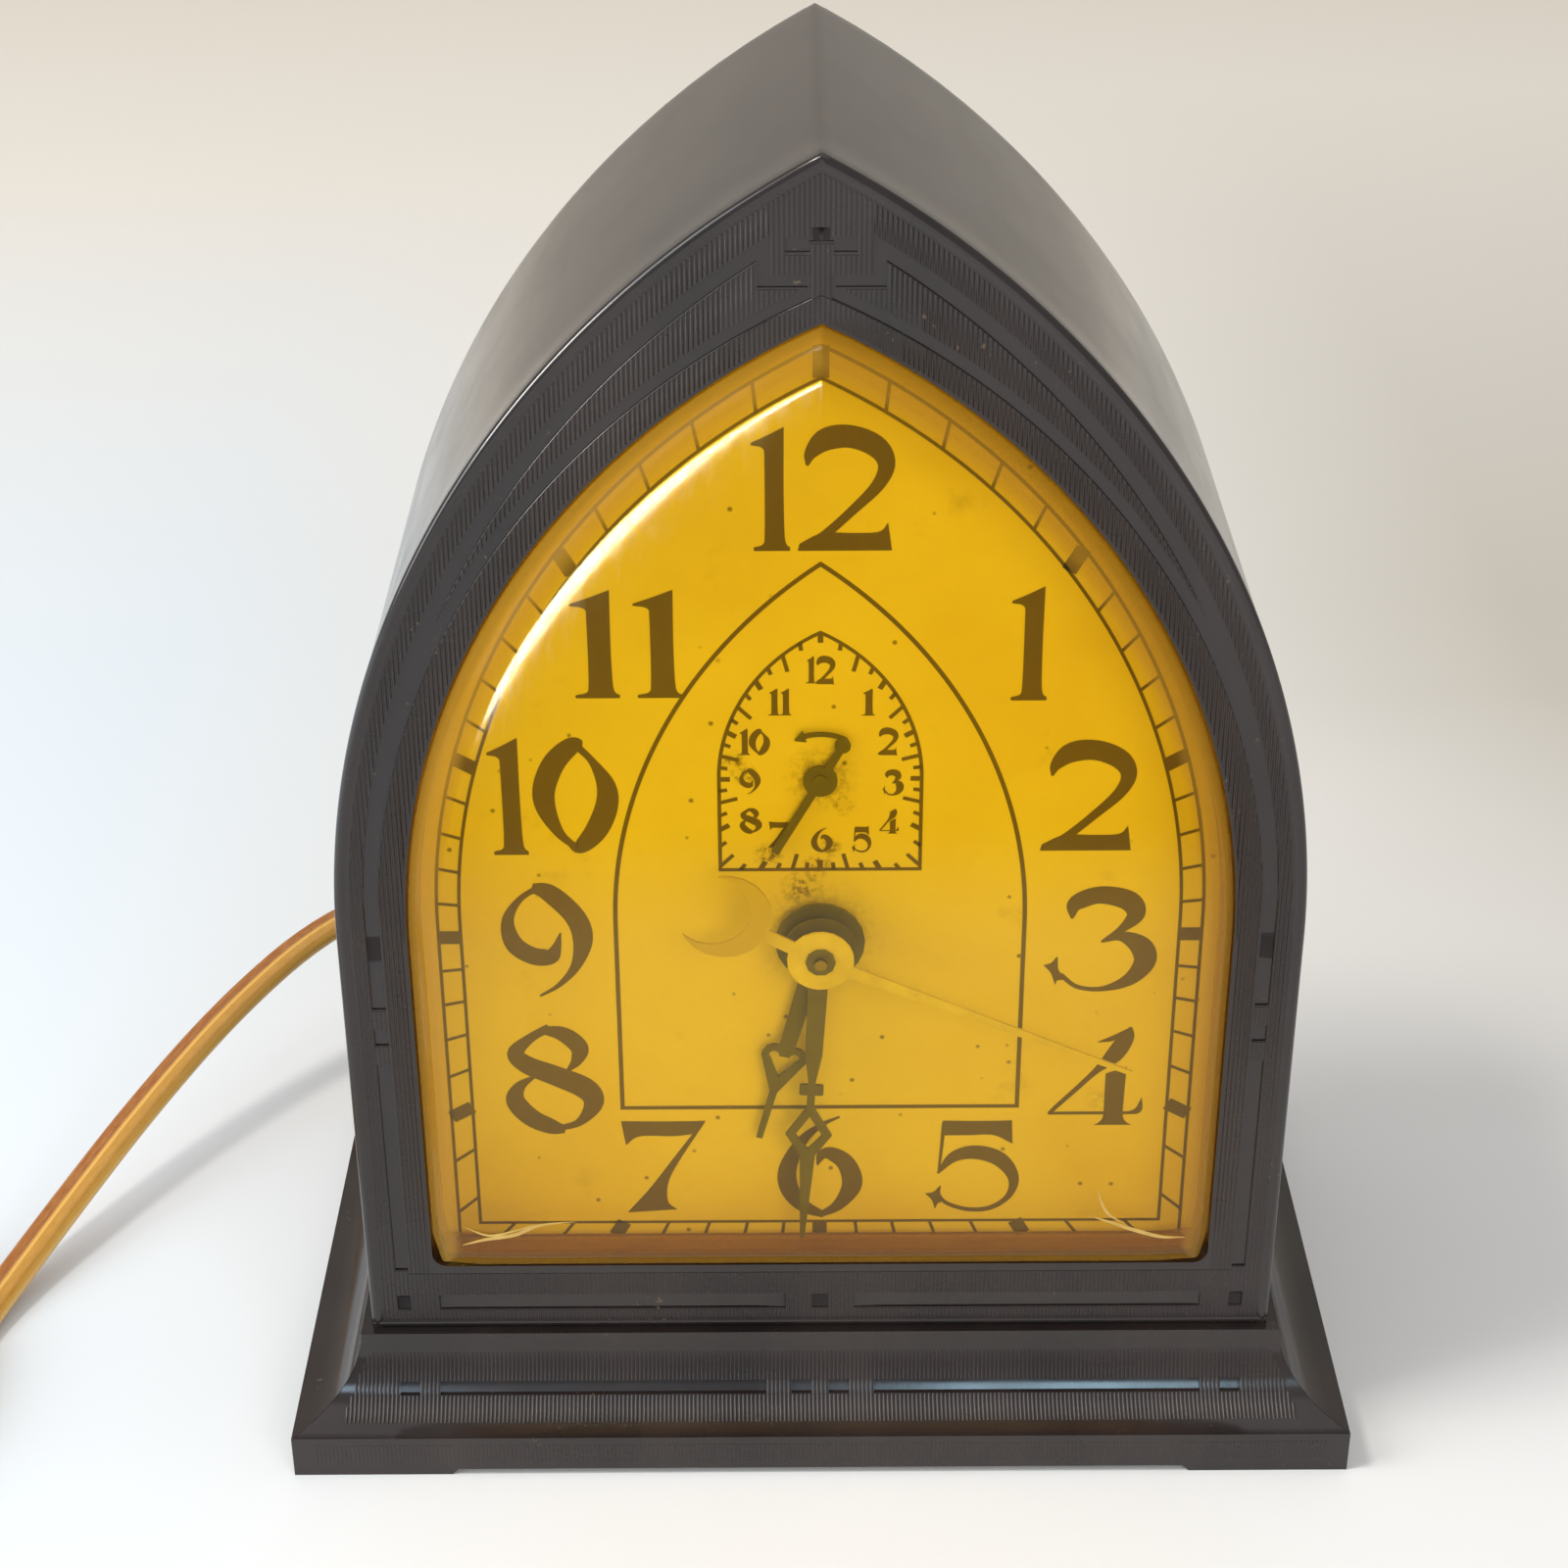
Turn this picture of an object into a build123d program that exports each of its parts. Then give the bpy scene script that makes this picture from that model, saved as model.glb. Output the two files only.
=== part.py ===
from build123d import *

import os
from math import acos, cos, degrees, pi, radians, sin, sqrt, tan

import numpy as np

os.makedirs("parts", exist_ok=True)

# A Gothic-arch electric alarm clock: a moulded case on a coved plinth, an amber
# domed crystal, and a geared movement whose dial, hands and knobs come through.
# Millimetres, +Z up, front towards -Y, origin at the middle of the plinth's underside.

# Plinth
PLINTH_WIDTH = 140.0
PLINTH_DEPTH = 84.0
PLINTH_HEIGHT = 16.5
SLAB_TOP = 6.2
SLAB_STEP = 9.0
FOOT_HEIGHT = 0.9
FOOT_LENGTH = 21.0
PLINTH_WALL = 3.2
PLINTH_RELIEF = 0.45
COVE_BAR_LOW = 8.8
COVE_BAR_HIGH = 10.1
COVE_BAR_INNER = 7.2
COVE_BAR_OUTER = 50.6
COVE_TILE = 2.6
COVE_TILE_INNER = 2.5
COVE_TILE_OUTER = 54.6

# Case
CASE_HALF = 59.5
CASE_DEPTH = 63.0
CASE_RISE = 159.8
SPRING_RISE = 60.5
CASE_WALL = 3.0
FACE_WALL = 3.3
EDGE_BEVEL = 0.6
RIDGE_ROUND = 3.0
COVER_LIP = 1.5
COVER_SINK = 1.0
LUG_RADIUS = 4.6
LUG_LENGTH = 14.0
LUG_INSET = 7.2
LUG_HIGH = 109.5

# Front relief, measured from the case outline
RELIEF_DEPTH = 0.6
RIB_BAND = 3.3
RIB_BAND_TOP = 5.5
SUNK_BAND = 1.8
SUNK_BAND_INNER = 1.45
INNER_BAND = 3.3
INNER_BAND_TOP = 3.3
SIDE_BAND_RISE = 50.7
SIDE_TILE_LOW = 45.3
SIDE_TILE_HIGH = 47.7
SIDE_BAR_LOW = 9.5
SIDE_BAR_HIGH = 42.3
SILL_BAR_LOW = 2.9
SILL_BAR_HIGH = 5.2
SILL_BAR_INNER = 4.5
SILL_BAR_GAP = 5.7
SILL_TILE = 2.2
FIELD_HALF = 5.5
FIELD_DROP = 13.3
STEM_HALF = 1.05
WEDGE_HALF = 7.1
WEDGE_DROP = 14.7
CROSS_TOP = 7.9
CROSS_TILE = 1.6
CROSS_TILE_HALF = 1.3
CROSS_ARM = 4.0
CROSS_ARM_DROP = 9.9

# Window, crystal and dial
BEZEL_SIDE = 8.5
BEZEL_SILL = 10.1
BEZEL_TOP = 18.9
WINDOW_CORNER = 2.0
CRYSTAL_PROUD = 4.7
CRYSTAL_WALL = 1.2
CRYSTAL_BEVEL = 2.7
CRYSTAL_FIT = 0.3
FLANGE_WIDTH = 3.0
FLANGE_THICK = 1.2
DIAL_THICK = 0.6
DIAL_FIT = 0.2
DIAL_BORE_ROOM = 0.5
CENTRE_RISE = 58.5
ALARM_OFFSET = 22.5

# Gears: teeth, and the centre distance that sets each pair's module
PRESSURE_ANGLE = 25.0
ADDENDUM = 0.7
DEDENDUM = 0.95
GAP_DEPTH = 1.65
BACKLASH = 0.12
TRAIN_DISTANCE = 13.2
MOTOR_TEETH = 10
SECONDS_TEETH = 30
SECONDS_PINION_TEETH = 8
REDUCTION_TEETH = 64
REDUCTION_PINION_TEETH = 8
CENTRE_TEETH = 60
CANNON_TEETH = 10
MINUTE_TEETH = 30
MINUTE_PINION_TEETH = 8
HOUR_TEETH = 32
MOTOR_BEARING = 250.0
REDUCTION_BEARING = 150.0
MINUTE_BEARING = 35.0
WHEEL_THICK = 1.0
PINION_THICK = 2.2
WHEEL_RIM = 1.6
WHEEL_HUB = 3.0
WHEEL_SPOKE = 1.6

# Arbors and pipes, one inside the next, drawn as regular polygons to keep the mesh light
ROUND_SIDES = 10
DISC_SIDES = 20
ARBOR_RADIUS = 0.8
SET_ARBOR_RADIUS = 1.0
RUN_FIT = 0.05
PIPE_WALL = 0.55
HOUR_PIPE_WALL = 0.65

# Depths, measured back from the dial's face
HOUR_HAND_LIFT = 1.3
MINUTE_HAND_LIFT = 3.2
SECONDS_HAND_LIFT = 5.6
ALARM_HAND_LIFT = 0.4
HAND_THICK = 0.4
HOUR_WHEEL_BACK = 1.6
CANNON_BACK = 4.4
FRONT_PLATE_BACK = 7.0
PLATE_THICK = 1.2
CENTRE_WHEEL_BACK = 9.4
REDUCTION_WHEEL_BACK = 14.0
SECONDS_WHEEL_BACK = 18.5
PLATE_SPACE = 15.8

# Movement frame
PLATE_HALF = 30.0
PLATE_LOW = 31.0
PLATE_HIGH = 37.0
PLATE_CORNER = 5.0
PILLAR_INSET = 4.0
PILLAR_RADIUS = 2.5
DIAL_POST_RADIUS = 2.2
BUSH_RADIUS = 3.0

# Motor and buzzer
CAPSULE_RADIUS = 12.0
CAPSULE_DEPTH = 17.8
CAPSULE_FIT = 0.3
STATOR_STAND = 7.8
STATOR_STACK = 8.0
STATOR_ARM = 4.7
STATOR_LOW = 32.6
STATOR_HIGH = 9.4
YOKE_HEIGHT = 8.0
POLE_GAP = 14.0
BOBBIN_FLANGE = 1.2
BOBBIN_WALL = 0.8
COIL_RADIAL = 5.0
BOBBIN_CLEAR = 0.5
SPACER_RADIUS = 1.9
REED_THICK = 0.5
REED_WIDTH = 7.0
REED_LENGTH = 32.0
REED_GAP = 0.7
ARMATURE_THICK = 1.0
ARMATURE_LENGTH = 8.0
BRACKET_WIDTH = 5.2
BRACKET_HEIGHT = 8.0
BRACKET_DEPTH = 15.8
SWITCH_X = 24.0
SWITCH_RISE = 13.0
SWITCH_RADIUS = 1.5

# Back cover, knobs and screws
COVER_THICK = 1.0
COVER_FIT = 0.2
KNOB_RADIUS = 7.0
KNOB_LENGTH = 8.6
KNOB_STAND = 0.8
KNOB_FLUTES = 20
KNOB_FLUTE_DEPTH = 0.6
HOLE_ROOM = 0.8
HEX_SIDES = 6
PIPE_STEP = 0.2
CAM_RADIUS = 6.0
CAM_NOTCH = 1.6
SCREW_RADIUS = 1.3
SCREW_HEAD = 2.6
SCREW_HEAD_HEIGHT = 1.4
SCREW_LENGTH = 9.0
BASE_SCREW_X = 40.0
BASE_SCREW_BITE = 2.4
VENT_LENGTH = 16.0
VENT_WIDTH = 2.4
VENT_PITCH = 7.0
VENT_COUNT = 5
VENT_RISE = 15.0
LEVER_REACH = 11.0
LEVER_THICK = 2.4
LEVER_ROOT = 3.2
LEVER_TIP = 1.9

# Hands
HOUR_HUB = 5.6
HOUR_REACH = 30.9
HEART_AT = 17.8
HEART_HALF = 2.95
HEART_TAIL = 23.4
HEART_LINE = 0.95
MINUTE_HUB = 4.6
MINUTE_REACH = 44.8
CROSSBAR_AT = 21.1
CROSSBAR_HALF = 1.55
DIAMOND_TOP = 24.4
DIAMOND_AT = 28.1
DIAMOND_LOW = 30.8
DIAMOND_HALF = 3.0
DIAMOND_LINE = 0.85
SECONDS_HUB = 4.15
SECONDS_REACH = 42.8
CRESCENT_AT = 13.4
CRESCENT_RADIUS = 5.8
CRESCENT_BITE = 4.9
CRESCENT_SHIFT = 1.95
BUSH_HEAD = 1.85
ALARM_HUB = 2.1
ALARM_REACH = 11.5
ALARM_TAIL = 5.55
ALARM_ARROW = 6.45
HOUR_ANGLE = 194.8
MINUTE_ANGLE = 183.0
SECONDS_ANGLE = 113.5
CRESCENT_ANGLE = 299.0
ALARM_ANGLE = 209.0

# Cord: flat twin flex, its route from the back cover to the coil, and the coil
CORD_WIDTH = 5.4
CORD_THICK = 2.8
GROMMET_INSET = 21.5
GROMMET_RISE = 16.5
GROMMET_NECK = 4.6
GROMMET_FLANGE = 6.4
GROMMET_LIP = 1.6
COIL_PITCH = 5.9
COIL_LAYER = 3.4
COIL_OUTER = 37.0
COIL_HALF_TURNS = 4
COIL_HEIGHT = 2.6
CORNER_SHARE = 0.45
CLIMB_STEEPNESS = 1.6
GAP_STATIONS = 700
JOINT_GAP = 0.15
PLUG_TAIL = 34.0
TIE_THICK = 0.8
TIE_WIDTH = 6.0
TIE_ROOM = 0.3
PLUG_LENGTH = 21.0
PLUG_WIDTH = 23.0
PLUG_NECK = 11.0
PLUG_ROUND = 2.0
BLADE_LENGTH = 16.0
BLADE_HEIGHT = 6.3
BLADE_THICK = 1.5
BLADE_SPACING = 12.7

# Places worked out from the sizes above
case_bottom = PLINTH_HEIGHT
case_apex = case_bottom + CASE_RISE
spring_z = case_bottom + SPRING_RISE
case_front = -CASE_DEPTH / 2
case_back = CASE_DEPTH / 2
face_back = case_front + FACE_WALL
window_half = CASE_HALF - BEZEL_SIDE
window_bottom = case_bottom + BEZEL_SILL
window_apex = case_apex - BEZEL_TOP
dial_face = face_back + FLANGE_THICK
dial_back = dial_face + DIAL_THICK
crystal_front = case_front - CRYSTAL_PROUD
centre_z = case_bottom + CENTRE_RISE
alarm_z = centre_z + ALARM_OFFSET
front_plate_y = dial_face + FRONT_PLATE_BACK
front_plate_rear = front_plate_y + PLATE_THICK
back_plate_y = front_plate_rear + PLATE_SPACE
back_plate_rear = back_plate_y + PLATE_THICK
cover_rear = case_back - COVER_SINK
cover_front = cover_rear - COVER_THICK
plate_bottom = centre_z - PLATE_LOW
plate_top = centre_z + PLATE_HIGH
pillar_x = PLATE_HALF - PILLAR_INSET
pillar_spots = [
    (x, z)
    for x in (-pillar_x, pillar_x)
    for z in (plate_bottom + PILLAR_INSET + 2.0, plate_top - PILLAR_INSET)
]


def polar(distance, bearing):
    """A spot on the movement at a distance and bearing from the centre arbor."""
    angle = radians(bearing)
    return distance * cos(angle), centre_z + distance * sin(angle)


hour_module = ALARM_OFFSET / HOUR_TEETH
minute_distance = hour_module * (HOUR_TEETH + MINUTE_PINION_TEETH) / 2
cannon_module = 2 * minute_distance / (CANNON_TEETH + MINUTE_TEETH)
motor_module = 2 * TRAIN_DISTANCE / (MOTOR_TEETH + SECONDS_TEETH)
reduction_module = 2 * TRAIN_DISTANCE / (SECONDS_PINION_TEETH + REDUCTION_TEETH)
centre_module = 2 * TRAIN_DISTANCE / (REDUCTION_PINION_TEETH + CENTRE_TEETH)
centre_spot = (0.0, centre_z)
alarm_spot = (0.0, alarm_z)
motor_spot = polar(TRAIN_DISTANCE, MOTOR_BEARING)
reduction_spot = polar(TRAIN_DISTANCE, REDUCTION_BEARING)
minute_spot = polar(minute_distance, MINUTE_BEARING)
switch_spot = (SWITCH_X, centre_z + SWITCH_RISE)



def running_bore(radius):
    """Corner radius of a polygonal bore whose flats clear a turning rod of a radius."""
    return (radius + RUN_FIT) / cos(pi / ROUND_SIDES)


def rod(radius, mode=Mode.ADD):
    """Round section of a rod, pipe or bore, drawn with straight sides."""
    RegularPolygon(radius, ROUND_SIDES, mode=mode)


def disc(radius, mode=Mode.ADD):
    """Larger round section, drawn with more straight sides."""
    RegularPolygon(radius, DISC_SIDES, mode=mode)


# Radii of the nested pipes on the centre axis, from the seconds arbor outwards
tube_bore = running_bore(ARBOR_RADIUS)
tube_radius = tube_bore + PIPE_WALL
cannon_bore = running_bore(tube_radius)
cannon_radius = cannon_bore + PIPE_WALL
hour_bore = running_bore(cannon_radius)
hour_radius = hour_bore + HOUR_PIPE_WALL


def facing(depth, spot=(0.0, 0.0)):
    """Plane parallel to the dial at a depth: local x right, local y up, normal to the front."""
    return Plane(origin=(spot[0], depth, spot[1]), x_dir=(1, 0, 0), z_dir=(0, -1, 0))


def write(builder, name):
    """Label a finished piece and write its file."""
    builder.part.label = name
    export_step(builder.part, f"parts/{name}.step")


def arch_face(half, bottom, apex, inset=0.0):
    """Gothic arch: straight sides to the springing line, then one arc a side to the apex."""
    rise = apex - spring_z
    radius = (rise**2 + half**2) / (2 * half)
    centre = half - radius
    tip = spring_z + sqrt((radius - inset) ** 2 - centre**2)
    side = half - inset
    foot = bottom + inset
    with BuildSketch() as face:
        with BuildLine():
            base = Line((-side, foot), (side, foot))
            right = Line(base @ 1, (side, spring_z))
            TangentArc(right @ 1, (0, tip), tangent=(0, 1))
            left = Line(base @ 0, (-side, spring_z))
            TangentArc(left @ 1, (0, tip), tangent=(0, 1))
        make_face()
    return face.sketch


def case_face(inset=0.0):
    """The case outline, drawn in by an inset."""
    return arch_face(CASE_HALF, case_bottom, case_apex, inset)


def window_face(inset=0.0):
    """The window outline, drawn in by an inset."""
    return arch_face(window_half, window_bottom, window_apex, inset)


def involute(angle):
    """Involute function of a pressure angle in radians."""
    return tan(angle) - angle


def gear_face(teeth, module, tooth_at, bore, pointed_gap=False):
    """Gear cut to the involute at its tips and base, with one tooth centred at a bearing."""
    pitch = teeth * module / 2
    base = pitch * cos(radians(PRESSURE_ANGLE))
    tip = pitch + ADDENDUM * module
    root = pitch - DEDENDUM * module
    start = max(base, root)
    pitch_half = (pi / 2 - BACKLASH) / teeth

    def half_angle(radius):
        return pitch_half + involute(radians(PRESSURE_ANGLE)) - involute(acos(base / radius))

    profile = [(tip, half_angle(tip))]
    if pointed_gap:
        gap = pitch - GAP_DEPTH * module
    else:
        profile = [(root, half_angle(start)), (start, half_angle(start))] + profile
    corners = []
    for tooth in range(teeth):
        middle = radians(tooth_at) + 2 * pi * tooth / teeth
        for radius, half in profile:
            corners.append((radius * cos(middle - half), radius * sin(middle - half)))
        for radius, half in reversed(profile):
            corners.append((radius * cos(middle + half), radius * sin(middle + half)))
        if pointed_gap:
            between = middle + pi / teeth
            corners.append((gap * cos(between), gap * sin(between)))
    with BuildSketch() as face:
        with BuildLine():
            Polyline(*corners, close=True)
        make_face()
        rod(bore, mode=Mode.SUBTRACT)
    return face.sketch


def wheel_face(teeth, module, tooth_at, bore):
    """Wheel with four straight-sided openings between hub and rim."""
    rim = teeth * module / 2 - GAP_DEPTH * module - WHEEL_RIM
    reach = rim / sqrt(2)
    near = WHEEL_HUB / sqrt(2) + WHEEL_SPOKE / 2
    with BuildSketch() as face:
        add(gear_face(teeth, module, tooth_at, bore, pointed_gap=True))
        with PolarLocations(0, 4):
            with BuildLine():
                Polyline(
                    (near, WHEEL_SPOKE / 2),
                    (rim * cos(radians(15)), WHEEL_SPOKE / 2),
                    (reach, reach),
                    (WHEEL_SPOKE / 2, rim * cos(radians(15))),
                    (WHEEL_SPOKE / 2, near),
                    close=True,
                )
            make_face(mode=Mode.SUBTRACT)
    return face.sketch


def meshing(tooth_at, teeth, bearing, mate):
    """Bearing of a tooth on the mating gear, so that the pair is in mesh along a bearing."""
    gap = bearing + 180 - (tooth_at - bearing) * teeth / mate
    return gap + 180 / mate


# Plinth: slab, cove and ledge, mitred at the corners, hollow below, on four corner feet
slab_half = PLINTH_WIDTH / 2
slab_deep = PLINTH_DEPTH / 2
cove_height = PLINTH_HEIGHT - SLAB_TOP
cove_radius = (SLAB_STEP**2 + cove_height**2) / (2 * SLAB_STEP)
plinth_roof = PLINTH_HEIGHT - PLINTH_WALL
cavity_step = SLAB_STEP + PLINTH_WALL


def plinth_section(half):
    """Slab, cove and ledge in section."""
    with BuildSketch() as face:
        with BuildLine():
            foot = Line((-half, FOOT_HEIGHT), (half, FOOT_HEIGHT))
            right = Line(foot @ 1, (half, SLAB_TOP))
            TangentArc((half - SLAB_STEP, PLINTH_HEIGHT), right @ 1, tangent=(0, -1))
            Line((half - SLAB_STEP, PLINTH_HEIGHT), (SLAB_STEP - half, PLINTH_HEIGHT))
            left = Line(foot @ 0, (-half, SLAB_TOP))
            TangentArc((SLAB_STEP - half, PLINTH_HEIGHT), left @ 1, tangent=(0, -1))
        make_face()
    return face.sketch


def cove_tile(builder_width, offset):
    """Sunk tile on the front cove between two heights, as wide as told, at an offset."""
    arc_y = -slab_deep + SLAB_STEP - cove_radius
    outer = cove_radius + PLINTH_RELIEF

    def on_arc(radius, height):
        drop = PLINTH_HEIGHT - height
        return arc_y + sqrt(radius**2 - drop**2), height

    middle = (COVE_BAR_LOW + COVE_BAR_HIGH) / 2
    with BuildPart() as tile:
        with BuildSketch(Plane.YZ.offset(offset)):
            with BuildLine():
                near = ThreePointArc(
                    on_arc(cove_radius - PLINTH_RELIEF, COVE_BAR_LOW),
                    on_arc(cove_radius - PLINTH_RELIEF, middle),
                    on_arc(cove_radius - PLINTH_RELIEF, COVE_BAR_HIGH),
                )
                far = ThreePointArc(
                    on_arc(outer, COVE_BAR_LOW), on_arc(outer, middle), on_arc(outer, COVE_BAR_HIGH)
                )
                Line(near @ 0, far @ 0)
                Line(near @ 1, far @ 1)
            make_face()
        extrude(amount=builder_width / 2, both=True)
    return tile.part


bar_width = COVE_BAR_OUTER - COVE_BAR_INNER
bar_middle = (COVE_BAR_OUTER + COVE_BAR_INNER) / 2
cove_tiles = []
for side in (-1, 1):
    cove_tiles.append(cove_tile(bar_width, side * bar_middle))
    cove_tiles.append(cove_tile(COVE_TILE, side * COVE_TILE_INNER))
    cove_tiles.append(cove_tile(COVE_TILE, side * COVE_TILE_OUTER))

base_screw_spots = [(-BASE_SCREW_X, 0.0), (BASE_SCREW_X, 0.0)]

with BuildPart() as base_plinth:
    with BuildSketch(Plane.XZ):
        add(plinth_section(slab_half))
    extrude(amount=slab_deep, both=True)
    with BuildSketch(Plane.YZ):
        add(plinth_section(slab_deep))
    extrude(amount=slab_half, both=True, mode=Mode.INTERSECT)
    with BuildSketch(Plane.XY.offset(FOOT_HEIGHT)):
        Rectangle(PLINTH_WIDTH - 2 * cavity_step, PLINTH_DEPTH - 2 * cavity_step)
    extrude(amount=plinth_roof - FOOT_HEIGHT, mode=Mode.SUBTRACT)
    foot_inner = slab_half - FOOT_LENGTH
    foot_centre = slab_deep - cavity_step / 2
    for foot_y in (-foot_centre, foot_centre):
        with BuildSketch(facing(foot_y)):
            for side in (-1, 1):
                with BuildLine():
                    Polyline(
                        (side * slab_half, 0),
                        (side * slab_half, FOOT_HEIGHT),
                        (side * (foot_inner - FOOT_HEIGHT), FOOT_HEIGHT),
                        (side * foot_inner, 0),
                        close=True,
                    )
                make_face()
        extrude(amount=cavity_step / 2, both=True)
    with BuildSketch(Plane.XY.offset(plinth_roof)):
        with Locations(*base_screw_spots):
            rod(SCREW_RADIUS)
    extrude(amount=PLINTH_WALL, mode=Mode.SUBTRACT)
    add(cove_tiles, mode=Mode.SUBTRACT)
write(base_plinth, "base_plinth")

# Case: one moulded arch with a thick face, open at the back
lug_spots = [
    (side * (CASE_HALF - LUG_INSET), case_bottom + LUG_INSET) for side in (-1, 1)
]
case_arc = (CASE_RISE - SPRING_RISE) ** 2 + CASE_HALF**2
case_radius = case_arc / (2 * CASE_HALF)
lug_reach = sqrt((case_radius - LUG_INSET) ** 2 - (LUG_HIGH - SPRING_RISE) ** 2)
lug_side = CASE_HALF - case_radius + lug_reach
lug_spots += [(side * lug_side, case_bottom + LUG_HIGH) for side in (-1, 1)]


def relief_face():
    """Sunk bands, bars and tiles of the face, around ribbed fields and a stepped cross."""
    band_half = CASE_HALF - RIB_BAND
    band_apex = case_apex - RIB_BAND_TOP
    inner_half = window_half + INNER_BAND
    inner_apex = window_apex + INNER_BAND_TOP
    band_low = case_bottom + SIDE_BAND_RISE
    field_low = case_apex - FIELD_DROP
    wedge_low = case_apex - WEDGE_DROP
    tall = CASE_RISE
    with BuildSketch() as wedge:
        add(arch_face(band_half, case_bottom, band_apex, SUNK_BAND))
        add(arch_face(inner_half, case_bottom, inner_apex, -SUNK_BAND_INNER), mode=Mode.SUBTRACT)
        with Locations((0, wedge_low + tall / 2)):
            Rectangle(2 * WEDGE_HALF, tall, mode=Mode.SUBTRACT)
        with Locations((0, spring_z - tall / 2)):
            Rectangle(2 * CASE_HALF, tall, mode=Mode.SUBTRACT)
    with BuildSketch() as face:
        add(arch_face(band_half, case_bottom, band_apex))
        add(arch_face(inner_half, case_bottom, inner_apex), mode=Mode.SUBTRACT)
        add(wedge.sketch, mode=Mode.SUBTRACT)
        with Locations((0, field_low + tall / 2)):
            Rectangle(2 * FIELD_HALF, tall, mode=Mode.SUBTRACT)
        with Locations((0, field_low)):
            Rectangle(2 * STEM_HALF, tall / 2, mode=Mode.SUBTRACT)
        with Locations((0, band_low - tall / 2)):
            Rectangle(2 * CASE_HALF, tall, mode=Mode.SUBTRACT)
        band_width = band_half - inner_half
        band_middle = (band_half + inner_half) / 2
        bar_rise = (SIDE_BAR_LOW + SIDE_BAR_HIGH) / 2
        tile_rise = (SIDE_TILE_LOW + SIDE_TILE_HIGH) / 2
        sill_rise = (SILL_BAR_LOW + SILL_BAR_HIGH) / 2
        sill_height = SILL_BAR_HIGH - SILL_BAR_LOW
        sill_length = band_half - SILL_BAR_GAP - SILL_BAR_INNER
        sill_middle = SILL_BAR_INNER + sill_length / 2
        for side in (-1, 1):
            with Locations((side * band_middle, case_bottom + bar_rise)):
                Rectangle(band_width, SIDE_BAR_HIGH - SIDE_BAR_LOW)
            with Locations((side * band_middle, case_bottom + tile_rise)):
                Rectangle(band_width, SIDE_TILE_HIGH - SIDE_TILE_LOW)
            with Locations((side * band_middle, case_bottom + sill_rise)):
                Rectangle(band_width, sill_height)
            with Locations((side * sill_middle, case_bottom + sill_rise)):
                Rectangle(sill_length, sill_height)
            with Locations((side * (CROSS_ARM + CROSS_TILE_HALF) / 2, case_apex - CROSS_ARM_DROP)):
                Rectangle(CROSS_ARM - CROSS_TILE_HALF, CROSS_TILE)
        with Locations((0, case_bottom + sill_rise)):
            Rectangle(SILL_TILE, sill_height)
        with Locations((0, case_apex - CROSS_TOP - CROSS_TILE / 2)):
            Rectangle(2 * CROSS_TILE_HALF, CROSS_TILE)
    return face.sketch


with BuildPart() as case_shell:
    with BuildSketch(facing(case_front)):
        add(case_face())
    extrude(amount=-CASE_DEPTH)
    fillet(case_shell.edges().filter_by(Axis.Y).sort_by(Axis.Z)[-1], RIDGE_ROUND)
    face_edges = case_shell.faces().sort_by(Axis.Y)[0].edges()
    chamfer(face_edges.sort_by(Axis.Z)[1:], EDGE_BEVEL)
    with BuildSketch(facing(face_back)):
        add(case_face(CASE_WALL))
    extrude(amount=face_back - case_back, mode=Mode.SUBTRACT)
    with BuildSketch(facing(cover_front)):
        add(case_face(COVER_LIP))
    extrude(amount=cover_front - case_back, mode=Mode.SUBTRACT)
    with BuildSketch(facing(cover_front)):
        with Locations(*lug_spots):
            Rectangle(2 * LUG_RADIUS, 2 * LUG_RADIUS)
        add(case_face(CASE_WALL / 2), mode=Mode.INTERSECT)
    extrude(amount=LUG_LENGTH)
    with BuildSketch(facing(cover_front)):
        with Locations(*lug_spots):
            rod(SCREW_RADIUS)
    extrude(amount=SCREW_LENGTH, mode=Mode.SUBTRACT)
    with BuildSketch(facing(case_front)) as window:
        add(window_face())
        fillet(window.vertices().group_by(Axis.Y)[0], WINDOW_CORNER)
    extrude(amount=-FACE_WALL, mode=Mode.SUBTRACT)
    with BuildSketch(facing(case_front)):
        add(relief_face())
    extrude(amount=-RELIEF_DEPTH, mode=Mode.SUBTRACT)
    with BuildSketch(Plane.XY.offset(case_bottom)):
        with Locations(*base_screw_spots):
            rod(SCREW_RADIUS)
    extrude(amount=BASE_SCREW_BITE, mode=Mode.SUBTRACT)
write(case_shell, "case_shell")

# Base screws, up through the plinth's roof into the case floor
with BuildPart() as base_screws:
    with BuildSketch(Plane.XY.offset(plinth_roof)):
        with Locations(*base_screw_spots):
            rod(SCREW_RADIUS)
    extrude(amount=PLINTH_WALL + BASE_SCREW_BITE)
    with BuildSketch(Plane.XY.offset(plinth_roof)):
        with Locations(*base_screw_spots):
            RegularPolygon(SCREW_HEAD, HEX_SIDES)
    extrude(amount=-SCREW_HEAD_HEIGHT)
write(base_screws, "base_screws")

# Crystal: a thin dome with a bevelled shoulder, on a flange behind the case's face
with BuildPart() as crystal_hollow:
    with BuildSketch(facing(crystal_front + CRYSTAL_WALL)):
        add(window_face(CRYSTAL_FIT + CRYSTAL_WALL))
    extrude(amount=crystal_front + CRYSTAL_WALL - dial_face)
    chamfer(crystal_hollow.faces().sort_by(Axis.Y)[0].edges(), CRYSTAL_BEVEL - CRYSTAL_WALL / 2)

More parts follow.
